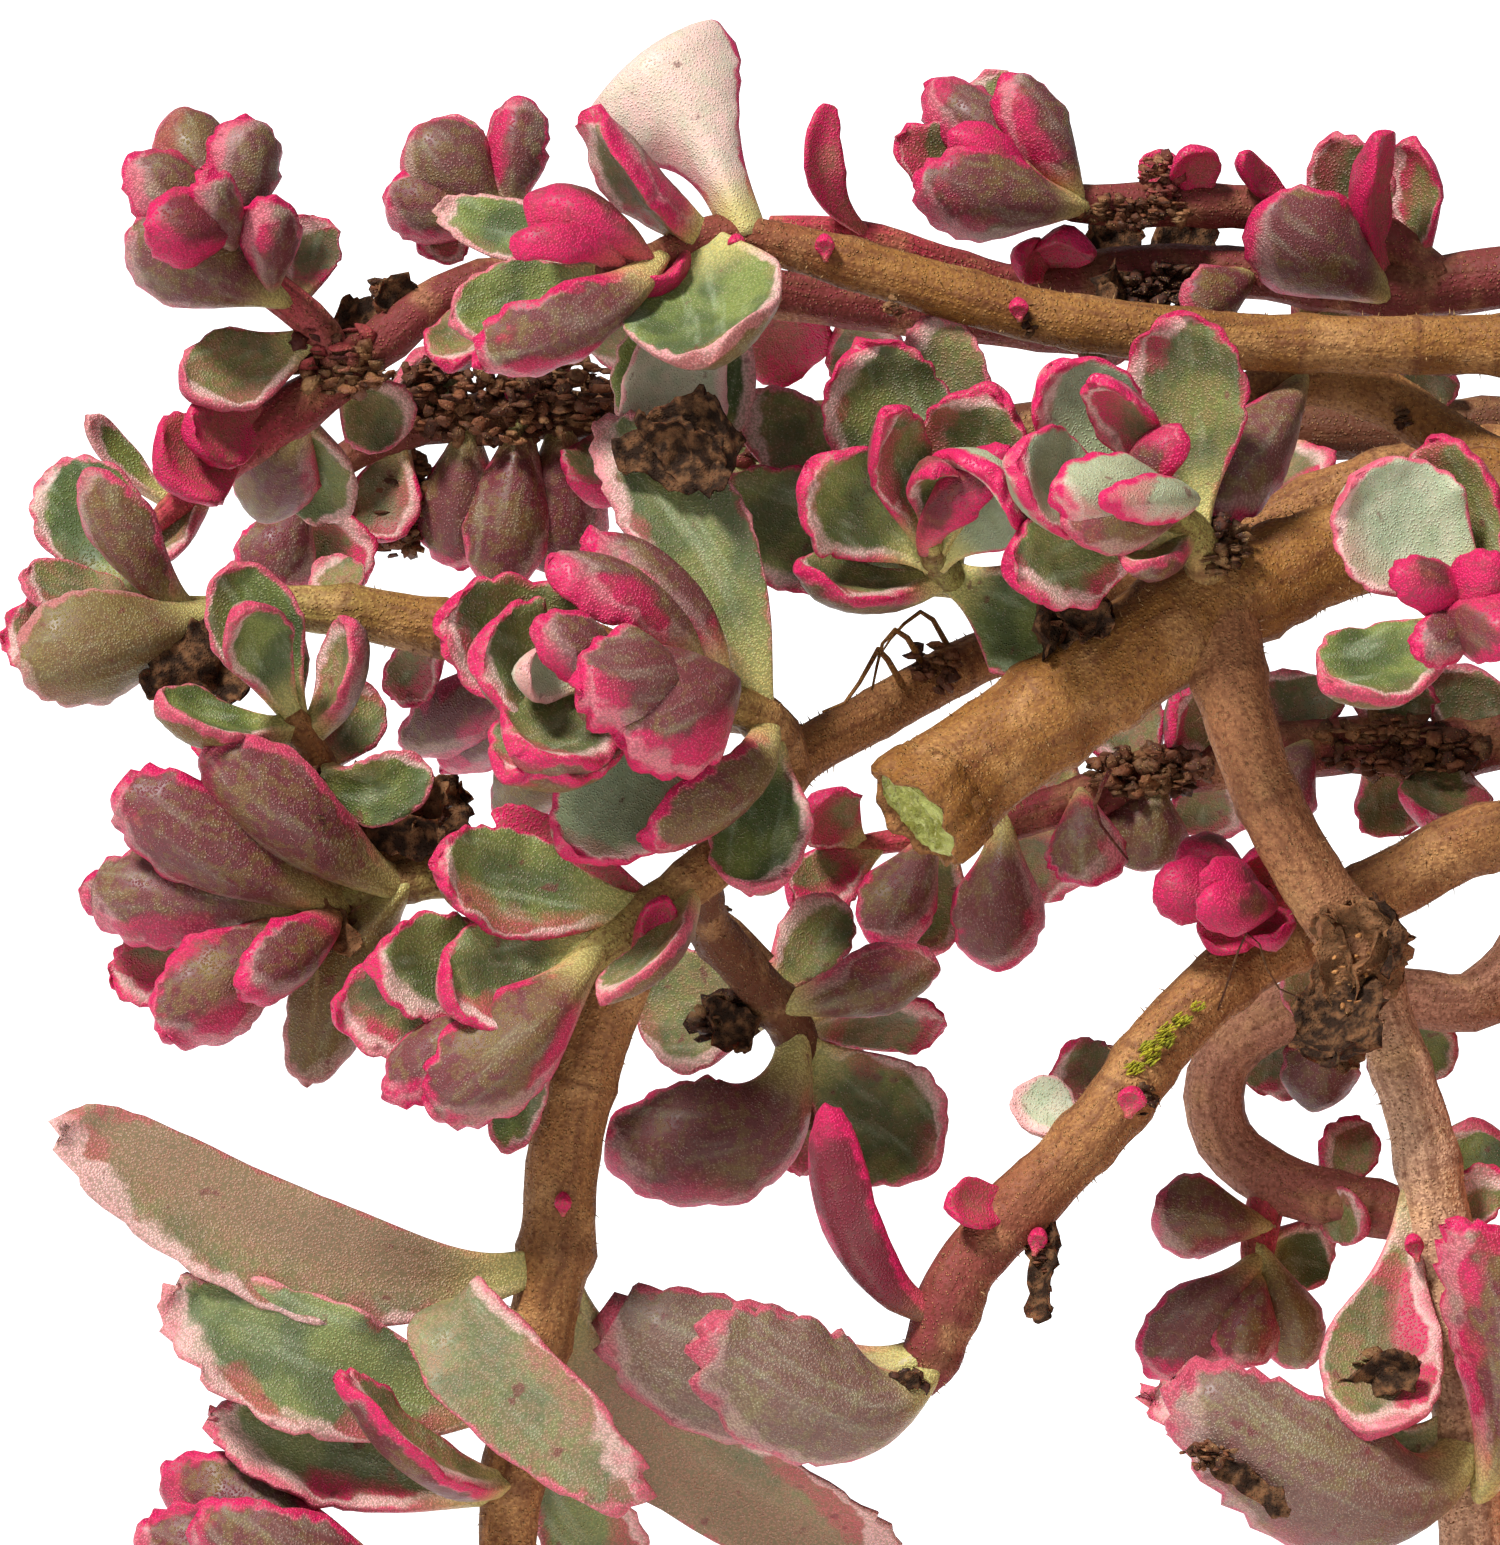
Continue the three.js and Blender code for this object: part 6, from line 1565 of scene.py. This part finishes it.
@dataclass
class LeafyStem:
    """A leafy stem of the side that the photo shows.

    Attributes:
        stem: its shoots and leaves.
        skins: its finishes, as Finish numbers them.
        draw: the draws for small differences.
    """

    stem: SeenStem
    skins: Sequence[Material]
    draw: Drawer
    draft: Draft = field(default_factory=Draft)

    def axis_of(self, shoot: Shoot) -> Axis:
        """The axis of a shoot through its foot, its arch and its route.

        Args:
            shoot: the shoot.

        Returns:
            The axis.
        """
        knots = foot_knots(*shoot.start) if shoot.start else []
        knots += [(np.array([x, y, z]), radius) for x, y, z, radius in shoot.arch]
        return Axis(knots + seen_knots(shoot.route))

    def joints_of(self, shoot: Shoot, axis: Axis) -> list[float]:
        """The shares of a shoot's length at which it has rings: at its leaves and at old leaf scars.

        Args:
            shoot: the shoot.
            axis: its axis.

        Returns:
            The shares.
        """
        joints = [axis.share(leaf.root) for leaf in shoot.leaves]
        step = 0.5
        shares = axis.even(step)
        place = self.draw(2, 4)
        while place < step * len(shares):
            joints.append(float(shares[int(place / step)]))
            place += self.draw(3.2, 6)
        return joints

    def grow_leaf(self, leaf: Leaf, axis: Axis) -> None:
        """Adds a leaf to the draft.

        Args:
            leaf: the leaf.
            axis: the axis that it grows from.
        """
        root, tip = axis.point(axis.share(leaf.root)), seen(leaf.tip_x, leaf.tip_y, leaf.tip_depth)
        toward = seen(*leaf.toward) if leaf.toward else None
        blade = Blade(root, tip, -FORWARD, leaf.width, leaf.roll, leaf.bend, leaf.look.value, toward)
        detail = self.stem.detail
        if detail is Detail.NEAR and leaf.width < SMALL_LEAF:
            detail = Detail.SMALL
        blade.grow(self.draft, detail, self.draw)

    def grow_pith(self, axis: Axis) -> None:
        """Adds the pith in the end of a cut stem and the torn lip of bark round it.

        Args:
            axis: the stem's axis.
        """
        end, along, radius = axis.point(1.0), axis.tangent(1.0), float(axis.radius(1.0))
        across = unit(UPWARD - along * (UPWARD @ along))
        beside = np.cross(along, across)
        angle = turns(48)
        ring = across * np.cos(angle)[:, None] + beside * np.sin(angle)[:, None]
        slant = CUT_SLANT * radius * (1 - ring @ FORWARD)
        lip = 1 + 0.05 * np.sin(5 * angle) + 0.04 * np.sin(13 * angle + 1)
        tear = 0.25 * np.sin(3 * angle + 2) + 0.15 * np.sin(11 * angle)
        rows = []
        for share, rise, torn in TORN_LIP:
            height = (rise + torn * tear + max(torn, 0.3) * slant * (rise > -0.5))[:, None]
            rows.append(end + ring * (radius * share * lip)[:, None] + along * height)
        tone = np.array([Bark.OLIVE.value] * 3 + [Bark.OCHRE.value] * 2)
        self.draft.loft(np.array(rows), Finish.BARK, tone=tone, edge=NO_JOINT)
        rows = []
        for share in PITH_ROWS:
            rise = -0.5 if share == PITH_ROWS[0] else 0.1
            tilted = CUT_SLANT * radius * (1 - share * (ring @ FORWARD))
            row = end + ring * radius * share + along * (rise + tilted)[:, None]
            rough = 0.3 * lumps(row, 1.3, 3.0) + 0.12 * lumps(row, 0.5, 1.0)
            rows.append(row + along * (rough * min(1.0, 2.5 * (1 - share)))[:, None])
        self.draft.loft(np.array(rows), Finish.PITH)

    def grow_thread(self, thread: Thread) -> None:
        """Adds a rootlet or a thin twig."""
        stem_skin(self.draft, Axis(seen_knots(thread.route)), (thread.tone,) * 3, False, (), self.draw)

    def grow_heap(self, heap: Heap) -> None:
        """Adds loose bits or moss, each a rough lump or a small blade.

        Args:
            heap: the heap.
        """
        points, faces = ICOSAHEDRON
        moss = heap.tone is None
        spread = min(heap.reach_x, heap.reach_y) / 40
        for _ in range(heap.count):
            turn, away = self.draw(0, math.tau), math.sqrt(self.draw(0, 1))
            px = heap.x + heap.reach_x * away * math.cos(turn)
            py = heap.y + heap.reach_y * away * math.sin(turn)
            middle = seen(px, py, heap.depth + self.draw(-1, 1) * spread)
            first, second = self.draw(0, ANY_TURN), self.draw(0, ANY_TURN)
            spin = Matrix.Rotation(first, 3, "X") @ Matrix.Rotation(second, 3, "Z")
            if moss:
                spin = Matrix.Rotation(0.6 + 0.1 * first, 3, "Y") @ Matrix.Rotation(0.1 * second, 3, "X")
            rough = np.array([self.draw(0.6, 1.3) for _ in points])[:, None]
            size = heap.size * self.draw(0.6, 1.2)
            shape = points * rough * size * (MOSS_SHAPE if moss else CRUMB_SHAPE)
            finish = Finish.MOSS if moss else Finish.BARK
            tone = None if moss else np.array(heap.tone.value) * self.draw(0.5, 1.4)
            self.draft.add(middle + shape @ np.array(spin).T, [faces], finish, tone=tone, edge=NO_JOINT)

    def grow_flake(self, flake: Flake) -> None:
        """Adds a dead scrap, bud or leaflet.

        Args:
            flake: the scrap.
        """
        root = seen(flake.from_x, flake.from_y, flake.depth)
        tip = seen(flake.to_x, flake.to_y, flake.depth - 0.4)
        blade = Blade(root, tip, -FORWARD, flake.width, flake.roll, USUAL_BEND, flake.look.value)
        blade.grow(self.draft, Detail.SMALL, self.draw)

    def grow_shoot(self, shoot: Shoot) -> None:
        """Adds a shoot with its skin, its hairs and its leaves.

        Args:
            shoot: the shoot.
        """
        axis = self.axis_of(shoot)
        near = self.stem.detail is Detail.NEAR
        barks = (shoot.bark, shoot.middle or shoot.bark, shoot.tip)
        stem_skin(self.draft, axis, barks, near, self.joints_of(shoot, axis), self.draw)
        if near:
            hairs = OLD_HAIRS if shoot.cut else YOUNG_HAIRS
            bristles(self.draft, axis, shoot.bark, hairs, self.draw)
        for leaf in shoot.leaves:
            self.grow_leaf(leaf, axis)
        if shoot.cut:
            self.grow_pith(axis)

    def build(self) -> None:
        """Builds the stem with all its leaves as one object."""
        for thread in self.stem.threads:
            self.grow_thread(thread)
        for heap in self.stem.heaps:
            self.grow_heap(heap)
        for flake in self.stem.flakes:
            self.grow_flake(flake)
        for shoot in self.stem.shoots:
            self.grow_shoot(shoot)
        dress(self.draft.build(f"fine_{self.stem.node}", self.skins), self.stem.node)


@dataclass
class RuledStem:
    """A leafy stem of the sides that the photo doesn't show, with opposite pairs that shorten toward its end.

    Attributes:
        node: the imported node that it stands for.
        skins: its finishes, as Finish numbers them.
        draw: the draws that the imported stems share.
        vary: the draws for what only the fine surface has.
        PAIRS: how many pairs there are.
        FIRST: where along the stem the first pair stands.
        LENGTH: the limits of a leaf's length.
        WIDTH: the limits of its width.
        RADIUS: the stem's radius at the foot.
        LOOKS: the kinds of leaf that its pairs are drawn from.
    """

    node: str
    skins: Sequence[Material]
    draw: Drawer
    vary: Drawer
    draft: Draft = field(default_factory=Draft)

    PAIRS: ClassVar[int]
    FIRST: ClassVar[float]
    LENGTH: ClassVar[tuple[float, float]]
    WIDTH: ClassVar[tuple[float, float]]
    RADIUS: ClassVar[float]
    LOOKS = (GREEN, GREEN, OLIVE, PINK, RUDDY)

    def knots(self, azimuth: float, rows: Sequence[Knot]) -> Knots:
        """Knots from rows of distance from the pot's middle, sideways wander, height and radius.

        Args:
            azimuth: the direction in which the stem leaves the pot.
            rows: the rows.

        Returns:
            The knots.
        """
        outward = np.array([math.cos(azimuth), math.sin(azimuth), 0])
        sideways = np.array([-math.sin(azimuth), math.cos(azimuth), 0])
        up = np.array([0.0, 0.0, 1.0])
        return [(outward * away + sideways * wander + up * z, r) for away, wander, z, r in rows]

    def grow_pairs(self, axis: Axis) -> list[float]:
        """Adds the leaves in pairs, each pair a quarter turn from the last.

        Args:
            axis: the stem's axis.

        Returns:
            The shares of the stem's length at which they grow.
        """
        joints = []
        twist = self.draw(0, math.pi)
        for pair in range(self.PAIRS):
            progress = pair / (self.PAIRS - 1)
            t = self.FIRST + (LAST_PAIR - self.FIRST) * (1 - (1 - progress) ** 1.5)
            joints.append(t)
            along = axis.tangent(t)
            level = unit(np.cross([0, 0, 1], along))
            lift = math.radians(28 + 34 * progress)
            for half in (0, math.pi):
                spread = turned_about(level, along, twist + pair * math.pi / 2 + half)
                length = self.draw(*self.LENGTH) * (1 - 0.45 * progress)
                root = axis.point(t)
                tip = root + (spread * math.cos(lift) + along * math.sin(lift)) * length
                width = self.draw(*self.WIDTH) * (1 - 0.3 * progress)
                roll = self.draw(-18, 18)
                look = self.LOOKS[int(self.vary(0, len(self.LOOKS)))]
                blade = Blade(root, tip, along, width, roll, self.draw(0.1, 0.2), look.value)
                blade.grow(self.draft, Detail.FAR, self.vary)
        return joints

    def grow_tip(self, axis: Axis, count: int) -> None:
        """Adds the young leaves of the stem's end, which spiral round it.

        Args:
            axis: the stem's axis.
            count: how many there are.
        """
        for k in range(count):
            t = 0.99 - 0.035 * (count - k)
            along = axis.tangent(t)
            level = unit(np.cross([0, 0, 1], along))
            spread = turned_about(level, along, 2.4 * k)
            lift = math.radians(35 + 35 * k / count)
            length = self.vary(4.5, 6) * (1 - 0.4 * k / count)
            root = axis.point(t)
            tip = root + (spread * math.cos(lift) + along * math.sin(lift)) * length
            look = (PINK, GREEN, RUDDY)[k % 3]
            blade = Blade(root, tip, along, 0.5 * length, self.vary(-15, 15), 0.18, look.value)
            blade.grow(self.draft, Detail.FAR, self.vary)

    def finish(self, axis: Axis, bark: Bark) -> None:
        """Adds the leaves and the stem's skin, and makes the object.

        Args:
            axis: the stem's axis.
            bark: the colour of its old skin.
        """
        joints = self.grow_pairs(axis)
        self.grow_tip(axis, 6)
        joints += list(np.arange(0.2, joints[0], 0.055))
        stem_skin(self.draft, axis, (bark, bark, Bark.MAROON), False, joints, self.vary)
        dress(self.draft.build(f"fine_{self.node}", self.skins), self.node)


@dataclass
class TrailingStem(RuledStem):
    """A stem that goes over the rim and hangs beside the pot."""

    azimuth: float = 0.0

    PAIRS, FIRST, LENGTH, WIDTH, RADIUS = 5, 0.4, (8, 13), (4.6, 6.2), 1.5

    def build(self) -> None:
        """Builds the stem."""
        foot = 33 + self.draw(-3, 3)
        rise = POT_HEIGHT + 7 + self.draw(0, 6)
        reach = self.draw(64, 76)
        bottom = self.draw(34, 50)
        wander = self.draw(-3, 3)
        r = self.RADIUS
        past = reach - RIM_RADIUS
        rows = (
            (foot, 0, STEM_FOOT, r), (foot, 0, STRAIGHT_TO, r), (foot + 1, 0, ABOVE_SOIL, r),
            (foot + 8, 0, rise - 1, r), (RIM_RADIUS, 0.4 * wander, rise, 0.95 * r),
            (RIM_RADIUS + 0.45 * past, wander, rise - 7, 0.85 * r),
            (RIM_RADIUS + 0.75 * past, 0.6 * wander, (rise + bottom) / 2 + 4, 0.7 * r),
            (reach - 1.5, -0.5 * wander, bottom + 7, 0.5 * r), (reach + 3, -wander, bottom, 0.4),
        )
        self.finish(Axis(self.knots(math.radians(self.azimuth), rows)), Bark.OCHRE)


@dataclass
class CrownShoot(RuledStem):
    """A shoot that stands up from the soil and leans a little outward."""

    place: tuple[float, float] = (0.0, 0.0)

    PAIRS, FIRST, LENGTH, WIDTH, RADIUS = 4, 0.45, (7, 11), (4.2, 5.6), 1.3

    def build(self) -> None:
        """Builds the shoot."""
        away = math.hypot(*self.place)
        height = self.draw(22, 38)
        lean = self.draw(6, 14)
        r = self.RADIUS
        rows = (
            (away, 0, STEM_FOOT, r),
            (away, 0, STRAIGHT_TO, r),
            (away + 0.3 * lean, self.draw(-1.5, 1.5), ABOVE_SOIL + 0.4 * height, 0.85 * r),
            (away + 0.8 * lean, self.draw(-2, 2), ABOVE_SOIL + 0.75 * height, 0.65 * r),
            (away + lean, self.draw(-2, 2), ABOVE_SOIL + height, 0.4),
        )
        azimuth = math.atan2(self.place[1], self.place[0])
        self.finish(Axis(self.knots(azimuth, rows)), Bark.PURPLE)


def outer_radius(z: float) -> float:
    """The pot's outer radius at a height below its rim band."""
    return FOOT_RADIUS + (RIM_RADIUS - RIM_STEP - FOOT_RADIUS) * z / (POT_HEIGHT - RIM_HEIGHT)


def inner_radius(z: float) -> float:
    """The pot's inner radius at a height."""
    low, high = outer_radius(FLOOR) - WALL, RIM_RADIUS - WALL
    return low + (high - low) * (z - FLOOR) / (POT_HEIGHT - FLOOR)


@dataclass
class Pot:
    """The clay pot: thrown walls with faint rings, a rim band, and a floor with drain holes."""

    finish: Material
    sides: int = 144
    drains: int = 3
    drain_radius: float = 4.5
    drain_distance: float = 19.0
    drain_sides: int = 32
    draft: Draft = field(default_factory=Draft)

    def profile(self) -> np.ndarray:
        """Radii and heights from the foot's edge up the outside, over the rim and down to the floor.

        Returns:
            Rows of radius and height.
        """
        band = POT_HEIGHT - RIM_HEIGHT
        outer, inner, top, soft, bevel = outer_radius, inner_radius, POT_HEIGHT, 0.3, 1.0
        corners = [
            (FOOT_RADIUS, 0.0), (outer(0.8) + 0.2, 0.8), (outer(band - bevel), band - bevel),
            (outer(band), band - soft), (RIM_RADIUS - bevel, band), (RIM_RADIUS - soft, band + soft),
            (RIM_RADIUS, band + bevel), (RIM_RADIUS, top - bevel), (RIM_RADIUS - soft, top - soft),
            (RIM_RADIUS - bevel, top), (inner(top) + bevel, top), (inner(top) + soft, top - soft),
            (inner(top - bevel), top - bevel), (inner(FLOOR), FLOOR),
        ]
        rows = [np.array(corners[0])]
        for start, end in zip(corners, corners[1:]):
            length = math.dist(start, end)
            steps = max(1, round(length / 2))
            rows += [np.array(start) + (np.array(end) - start) * (k + 1) / steps for k in range(steps)]
        return np.array(rows)

    def circle(self, x: float, y: float, radius: float, z: float, sides: int) -> np.ndarray:
        """Points of a level circle."""
        across, along = x + radius * np.cos(turns(sides)), y + radius * np.sin(turns(sides))
        return np.stack([across, along, np.full(sides, z)], axis=-1)

    def drain_circle(self, place: tuple[float, float], z: float) -> np.ndarray:
        """Points round a drain hole at a height."""
        return self.circle(*place, self.drain_radius, z, self.drain_sides)

    def floor_face(self, outline: np.ndarray, z: float, up: bool) -> None:
        """Adds the floor's upper or lower face round its drain holes.

        Args:
            outline: its edge.
            z: its height.
            up: whether it faces up.
        """
        rings = [outline] + [self.drain_circle(place, z) for place in self.drain_places()]
        triangles = np.array(tessellate_polygon([[Vector(point) for point in ring] for ring in rings]))
        points = np.vstack(rings)
        a, b, c = (points[triangles[:, k], :2] for k in range(3))
        upward = (b[:, 0] - a[:, 0]) * (c[:, 1] - a[:, 1]) - (b[:, 1] - a[:, 1]) * (c[:, 0] - a[:, 0]) > 0
        triangles[upward != up] = triangles[upward != up][:, ::-1]
        self.draft.add(points, [triangles], 0)

    def drain_places(self) -> list[tuple[float, float]]:
        """The middles of the drain holes."""
        angles = [math.tau * (k + 0.25) / self.drains for k in range(self.drains)]
        return [(self.drain_distance * math.cos(a), self.drain_distance * math.sin(a)) for a in angles]

    def build(self) -> None:
        """Builds the pot."""
        rings = np.array([self.circle(0, 0, radius, z, self.sides) for radius, z in self.profile()])
        outward = unit(rings * (1, 1, 0))
        fade = smooth(rings[..., 2], 1, 5)
        uneven = 0.12 * lumps(rings, 34.0) + 0.05 * np.sin(rings[..., 2] * 2.2 + 0.4 * lumps(rings, 50.0))
        rings[1:-1] += (outward * (uneven * fade)[..., None])[1:-1]
        self.draft.add(rings.reshape(-1, 3), [quads(len(rings), self.sides)], 0)
        self.floor_face(rings[0], 0.0, up=False)
        self.floor_face(rings[-1], FLOOR, up=True)
        count = self.drain_sides
        k = np.arange(count)
        wall = np.stack([(k + 1) % count, k, k + count, (k + 1) % count + count], axis=-1)
        for place in self.drain_places():
            holes = [self.drain_circle(place, z) for z in (0.0, FLOOR)]
            self.draft.add(np.vstack(holes), [wall], 0)
        dress(self.draft.build("fine_pot", [self.finish]), "pot")


@dataclass
class Soil:
    """The soil: an uneven surface with crumbs, bark chips and grit.

    Attributes:
        finishes: its finishes, as SoilFinish numbers them.
        bumps: small heaps as x, y and size.
        draw: the draws for the crumbs.
        CRUMBS: for each kind their count, the limits of their radius, their finish and how flat they are.
    """

    finishes: Sequence[Material]
    bumps: Sequence[Triple]
    draw: Drawer
    draft: Draft = field(default_factory=Draft)

    CRUMBS = (
        (1500, 0.35, 1.1, SoilFinish.EARTH, 0.8),
        (150, 1.0, 2.4, SoilFinish.CHIPS, 0.4),
        (130, 0.5, 1.1, SoilFinish.GRIT, 0.8),
    )

    def height(self, x: np.ndarray, y: np.ndarray) -> np.ndarray:
        """The height of the soil's surface at some places.

        Args:
            x: their x.
            y: their y.

        Returns:
            The heights.
        """
        edge = inner_radius(SOIL_TOP) - SOIL_GAP
        away = np.hypot(x, y)
        z = SOIL_TOP + SOIL_CROWN * (1 - (away / edge) ** 2)
        for heap_x, heap_y, size in self.bumps:
            z = z + 0.5 * np.clip(1 - np.hypot(x - heap_x, y - heap_y) / size, 0, None)
        places = np.stack([x, y, np.zeros_like(x)], axis=-1)
        return z + 0.3 * lumps(places, 7.0, 2.0) + 0.15 * lumps(places, 2.5, 5.0)

    def body(self) -> None:
        """Adds the filling with its uneven surface."""
        size = 96
        edge = inner_radius(SOIL_TOP) - SOIL_GAP
        low = FLOOR + SOIL_GAP
        rows = [(1.0, low), (inner_radius(low) - SOIL_GAP, low), (edge, SOIL_TOP)]
        rows += [(radius, None) for radius in np.linspace(edge - 0.8, 0.6, 34)]
        angle = turns(size)
        rings = []
        for radius, z in rows:
            x, y = radius * np.cos(angle), radius * np.sin(angle)
            rings.append(np.stack([x, y, self.height(x, y) if z is None else np.full(size, z)], axis=-1))
        self.draft.loft(np.array(rings), SoilFinish.EARTH)

    def crumb(self, size: float, finish: int, flat: float) -> None:
        """Adds a crumb at a drawn place.

        Args:
            size: its radius.
            finish: the number of its material.
            flat: how high it is as a share of its width.
        """
        away = (inner_radius(SOIL_TOP) - 0.6 - 1.3 * size) * math.sqrt(self.draw(0, 1))
        angle = self.draw(0, math.tau)
        x, y = away * math.cos(angle), away * math.sin(angle)
        turn = Matrix.Rotation(self.draw(0, ANY_TURN), 3, "Z") @ Matrix.Rotation(self.draw(-0.4, 0.4), 3, "X")
        points, faces = ICOSAHEDRON
        rough = np.array([self.draw(0.7, 1.25) for _ in points])[:, None]
        shape = points * rough * (self.draw(0.9, 1.5), self.draw(0.6, 1), flat) * size
        z = float(self.height(np.array(x), np.array(y))) + 0.25 * size * flat
        self.draft.add(shape @ np.array(turn).T + (x, y, z), [faces], finish)

    def build(self) -> None:
        """Builds the soil."""
        self.body()
        for count, smallest, largest, finish, flat in self.CRUMBS:
            for _ in range(count):
                self.crumb(self.draw(smallest, largest), finish, flat)
        dress(self.draft.build("fine_soil", self.finishes), "soil")


def icosahedron() -> tuple[np.ndarray, np.ndarray]:
    """The corners and faces of an icosahedron of radius 1.

    Returns:
        Corners and triangles.
    """
    g = (1 + math.sqrt(5)) / 2
    points = [(0, a, b * g) for a in (-1, 1) for b in (-1, 1)]
    points += [(a, b * g, 0) for a in (-1, 1) for b in (-1, 1)]
    points += [(b * g, 0, a) for a in (-1, 1) for b in (-1, 1)]
    points = unit(np.array(points, float))
    faces = []
    for i, j, k in combinations(range(len(points)), 3):
        a, b, c = points[[i, j, k]]
        if max(math.dist(a, b), math.dist(b, c), math.dist(a, c)) < 1.2:
            faces.append((i, j, k) if np.cross(b - a, c - a) @ a > 0 else (i, k, j))
    return points, np.array(faces)


ICOSAHEDRON = icosahedron()


@dataclass(frozen=True)
class Studio:
    """A plain white room: a floor, soft light from all round, and a camera where the photo was taken."""

    floor_size: float = 14.0
    paper: Triple = (0.97, 0.97, 0.97)
    sky: float = 0.36
    sky_colour: Triple = (0.86, 0.93, 1)
    power: float = 5.6
    softness: float = 12.0
    toward_light: Triple = (-0.5, -0.55, 1.0)
    lens_width: float = 36.0

    def floor(self) -> None:
        """Adds the floor on which the pot stands."""
        bpy.ops.mesh.primitive_plane_add(size=self.floor_size, location=(0, 0, 0))
        plane = bpy.context.object
        plane.name = "floor"
        g = Graph("paper")
        plane.data.materials.append(g.surface((*self.paper, 1), 0.9, Specular_IOR_Level=0.0))

    def daylight(self) -> None:
        """Adds soft light from the upper left, alike on the plant and on the whole floor."""
        lamp = bpy.data.lights.new("daylight", "SUN")
        lamp.energy = self.power
        lamp.angle = math.radians(self.softness)
        held = bpy.data.objects.new("daylight", lamp)
        held.rotation_euler = (-Vector(self.toward_light)).to_track_quat("-Z", "Y").to_euler()
        bpy.context.scene.collection.objects.link(held)

    def camera(self) -> None:
        """Adds the camera at the photo's place and angle."""
        data = bpy.data.cameras.new("camera")
        data.sensor_width = self.lens_width
        data.lens = self.lens_width * VIEW_DISTANCE / (PHOTO_SIZE[1] / PX_PER_MM)
        data.clip_start, data.clip_end = 0.01, 50
        eye = bpy.data.objects.new("camera", data)
        turn = Matrix((RIGHT, UPWARD, -FORWARD)).transposed().to_4x4()
        eye.matrix_world = Matrix.Translation((FOCUS - FORWARD * VIEW_DISTANCE) * MM) @ turn
        bpy.context.scene.collection.objects.link(eye)
        bpy.context.scene.camera = eye

    def build(self) -> None:
        """Builds the room."""
        scene = bpy.context.scene
        scene.view_settings.view_transform = "Standard"
        world = bpy.data.worlds.new("white room")
        world.use_nodes = True
        sky = world.node_tree.nodes["Background"]
        sky.inputs["Color"].default_value = (*self.sky_colour, 1)
        sky.inputs["Strength"].default_value = self.sky
        scene.world = world
        self.floor()
        self.daylight()
        self.camera()


def main() -> None:
    """Builds the plant and the room."""
    logging.basicConfig(level=logging.INFO, format="%(message)s")
    skins = [LeafSkin().make(), BarkSkin().make(), PITH.make(), MOSS.make()]
    fine = Drawer(FINE_SEED)
    for stem in SEEN_STEMS:
        LeafyStem(stem, skins, fine).build()
    draw = Drawer(SEED)
    for number, azimuth in enumerate(TRAILING_AZIMUTHS, 1):
        TrailingStem(f"stem_trailing_{number}", skins, draw, fine, azimuth=azimuth).build()
    for number, place in enumerate(CROWN_FEET, 1):
        CrownShoot(f"stem_crown_{number}", skins, draw, fine, place=place).build()
    Pot(CLAY.make()).build()
    bumps = [(draw(-35, 35), draw(-35, 35), draw(4, 9)) for _ in range(12)]
    Soil([EARTH.make(), CHIPS.make(), GRIT.make()], bumps, fine).build()
    Studio().build()


if __name__ == "__main__":
    main()
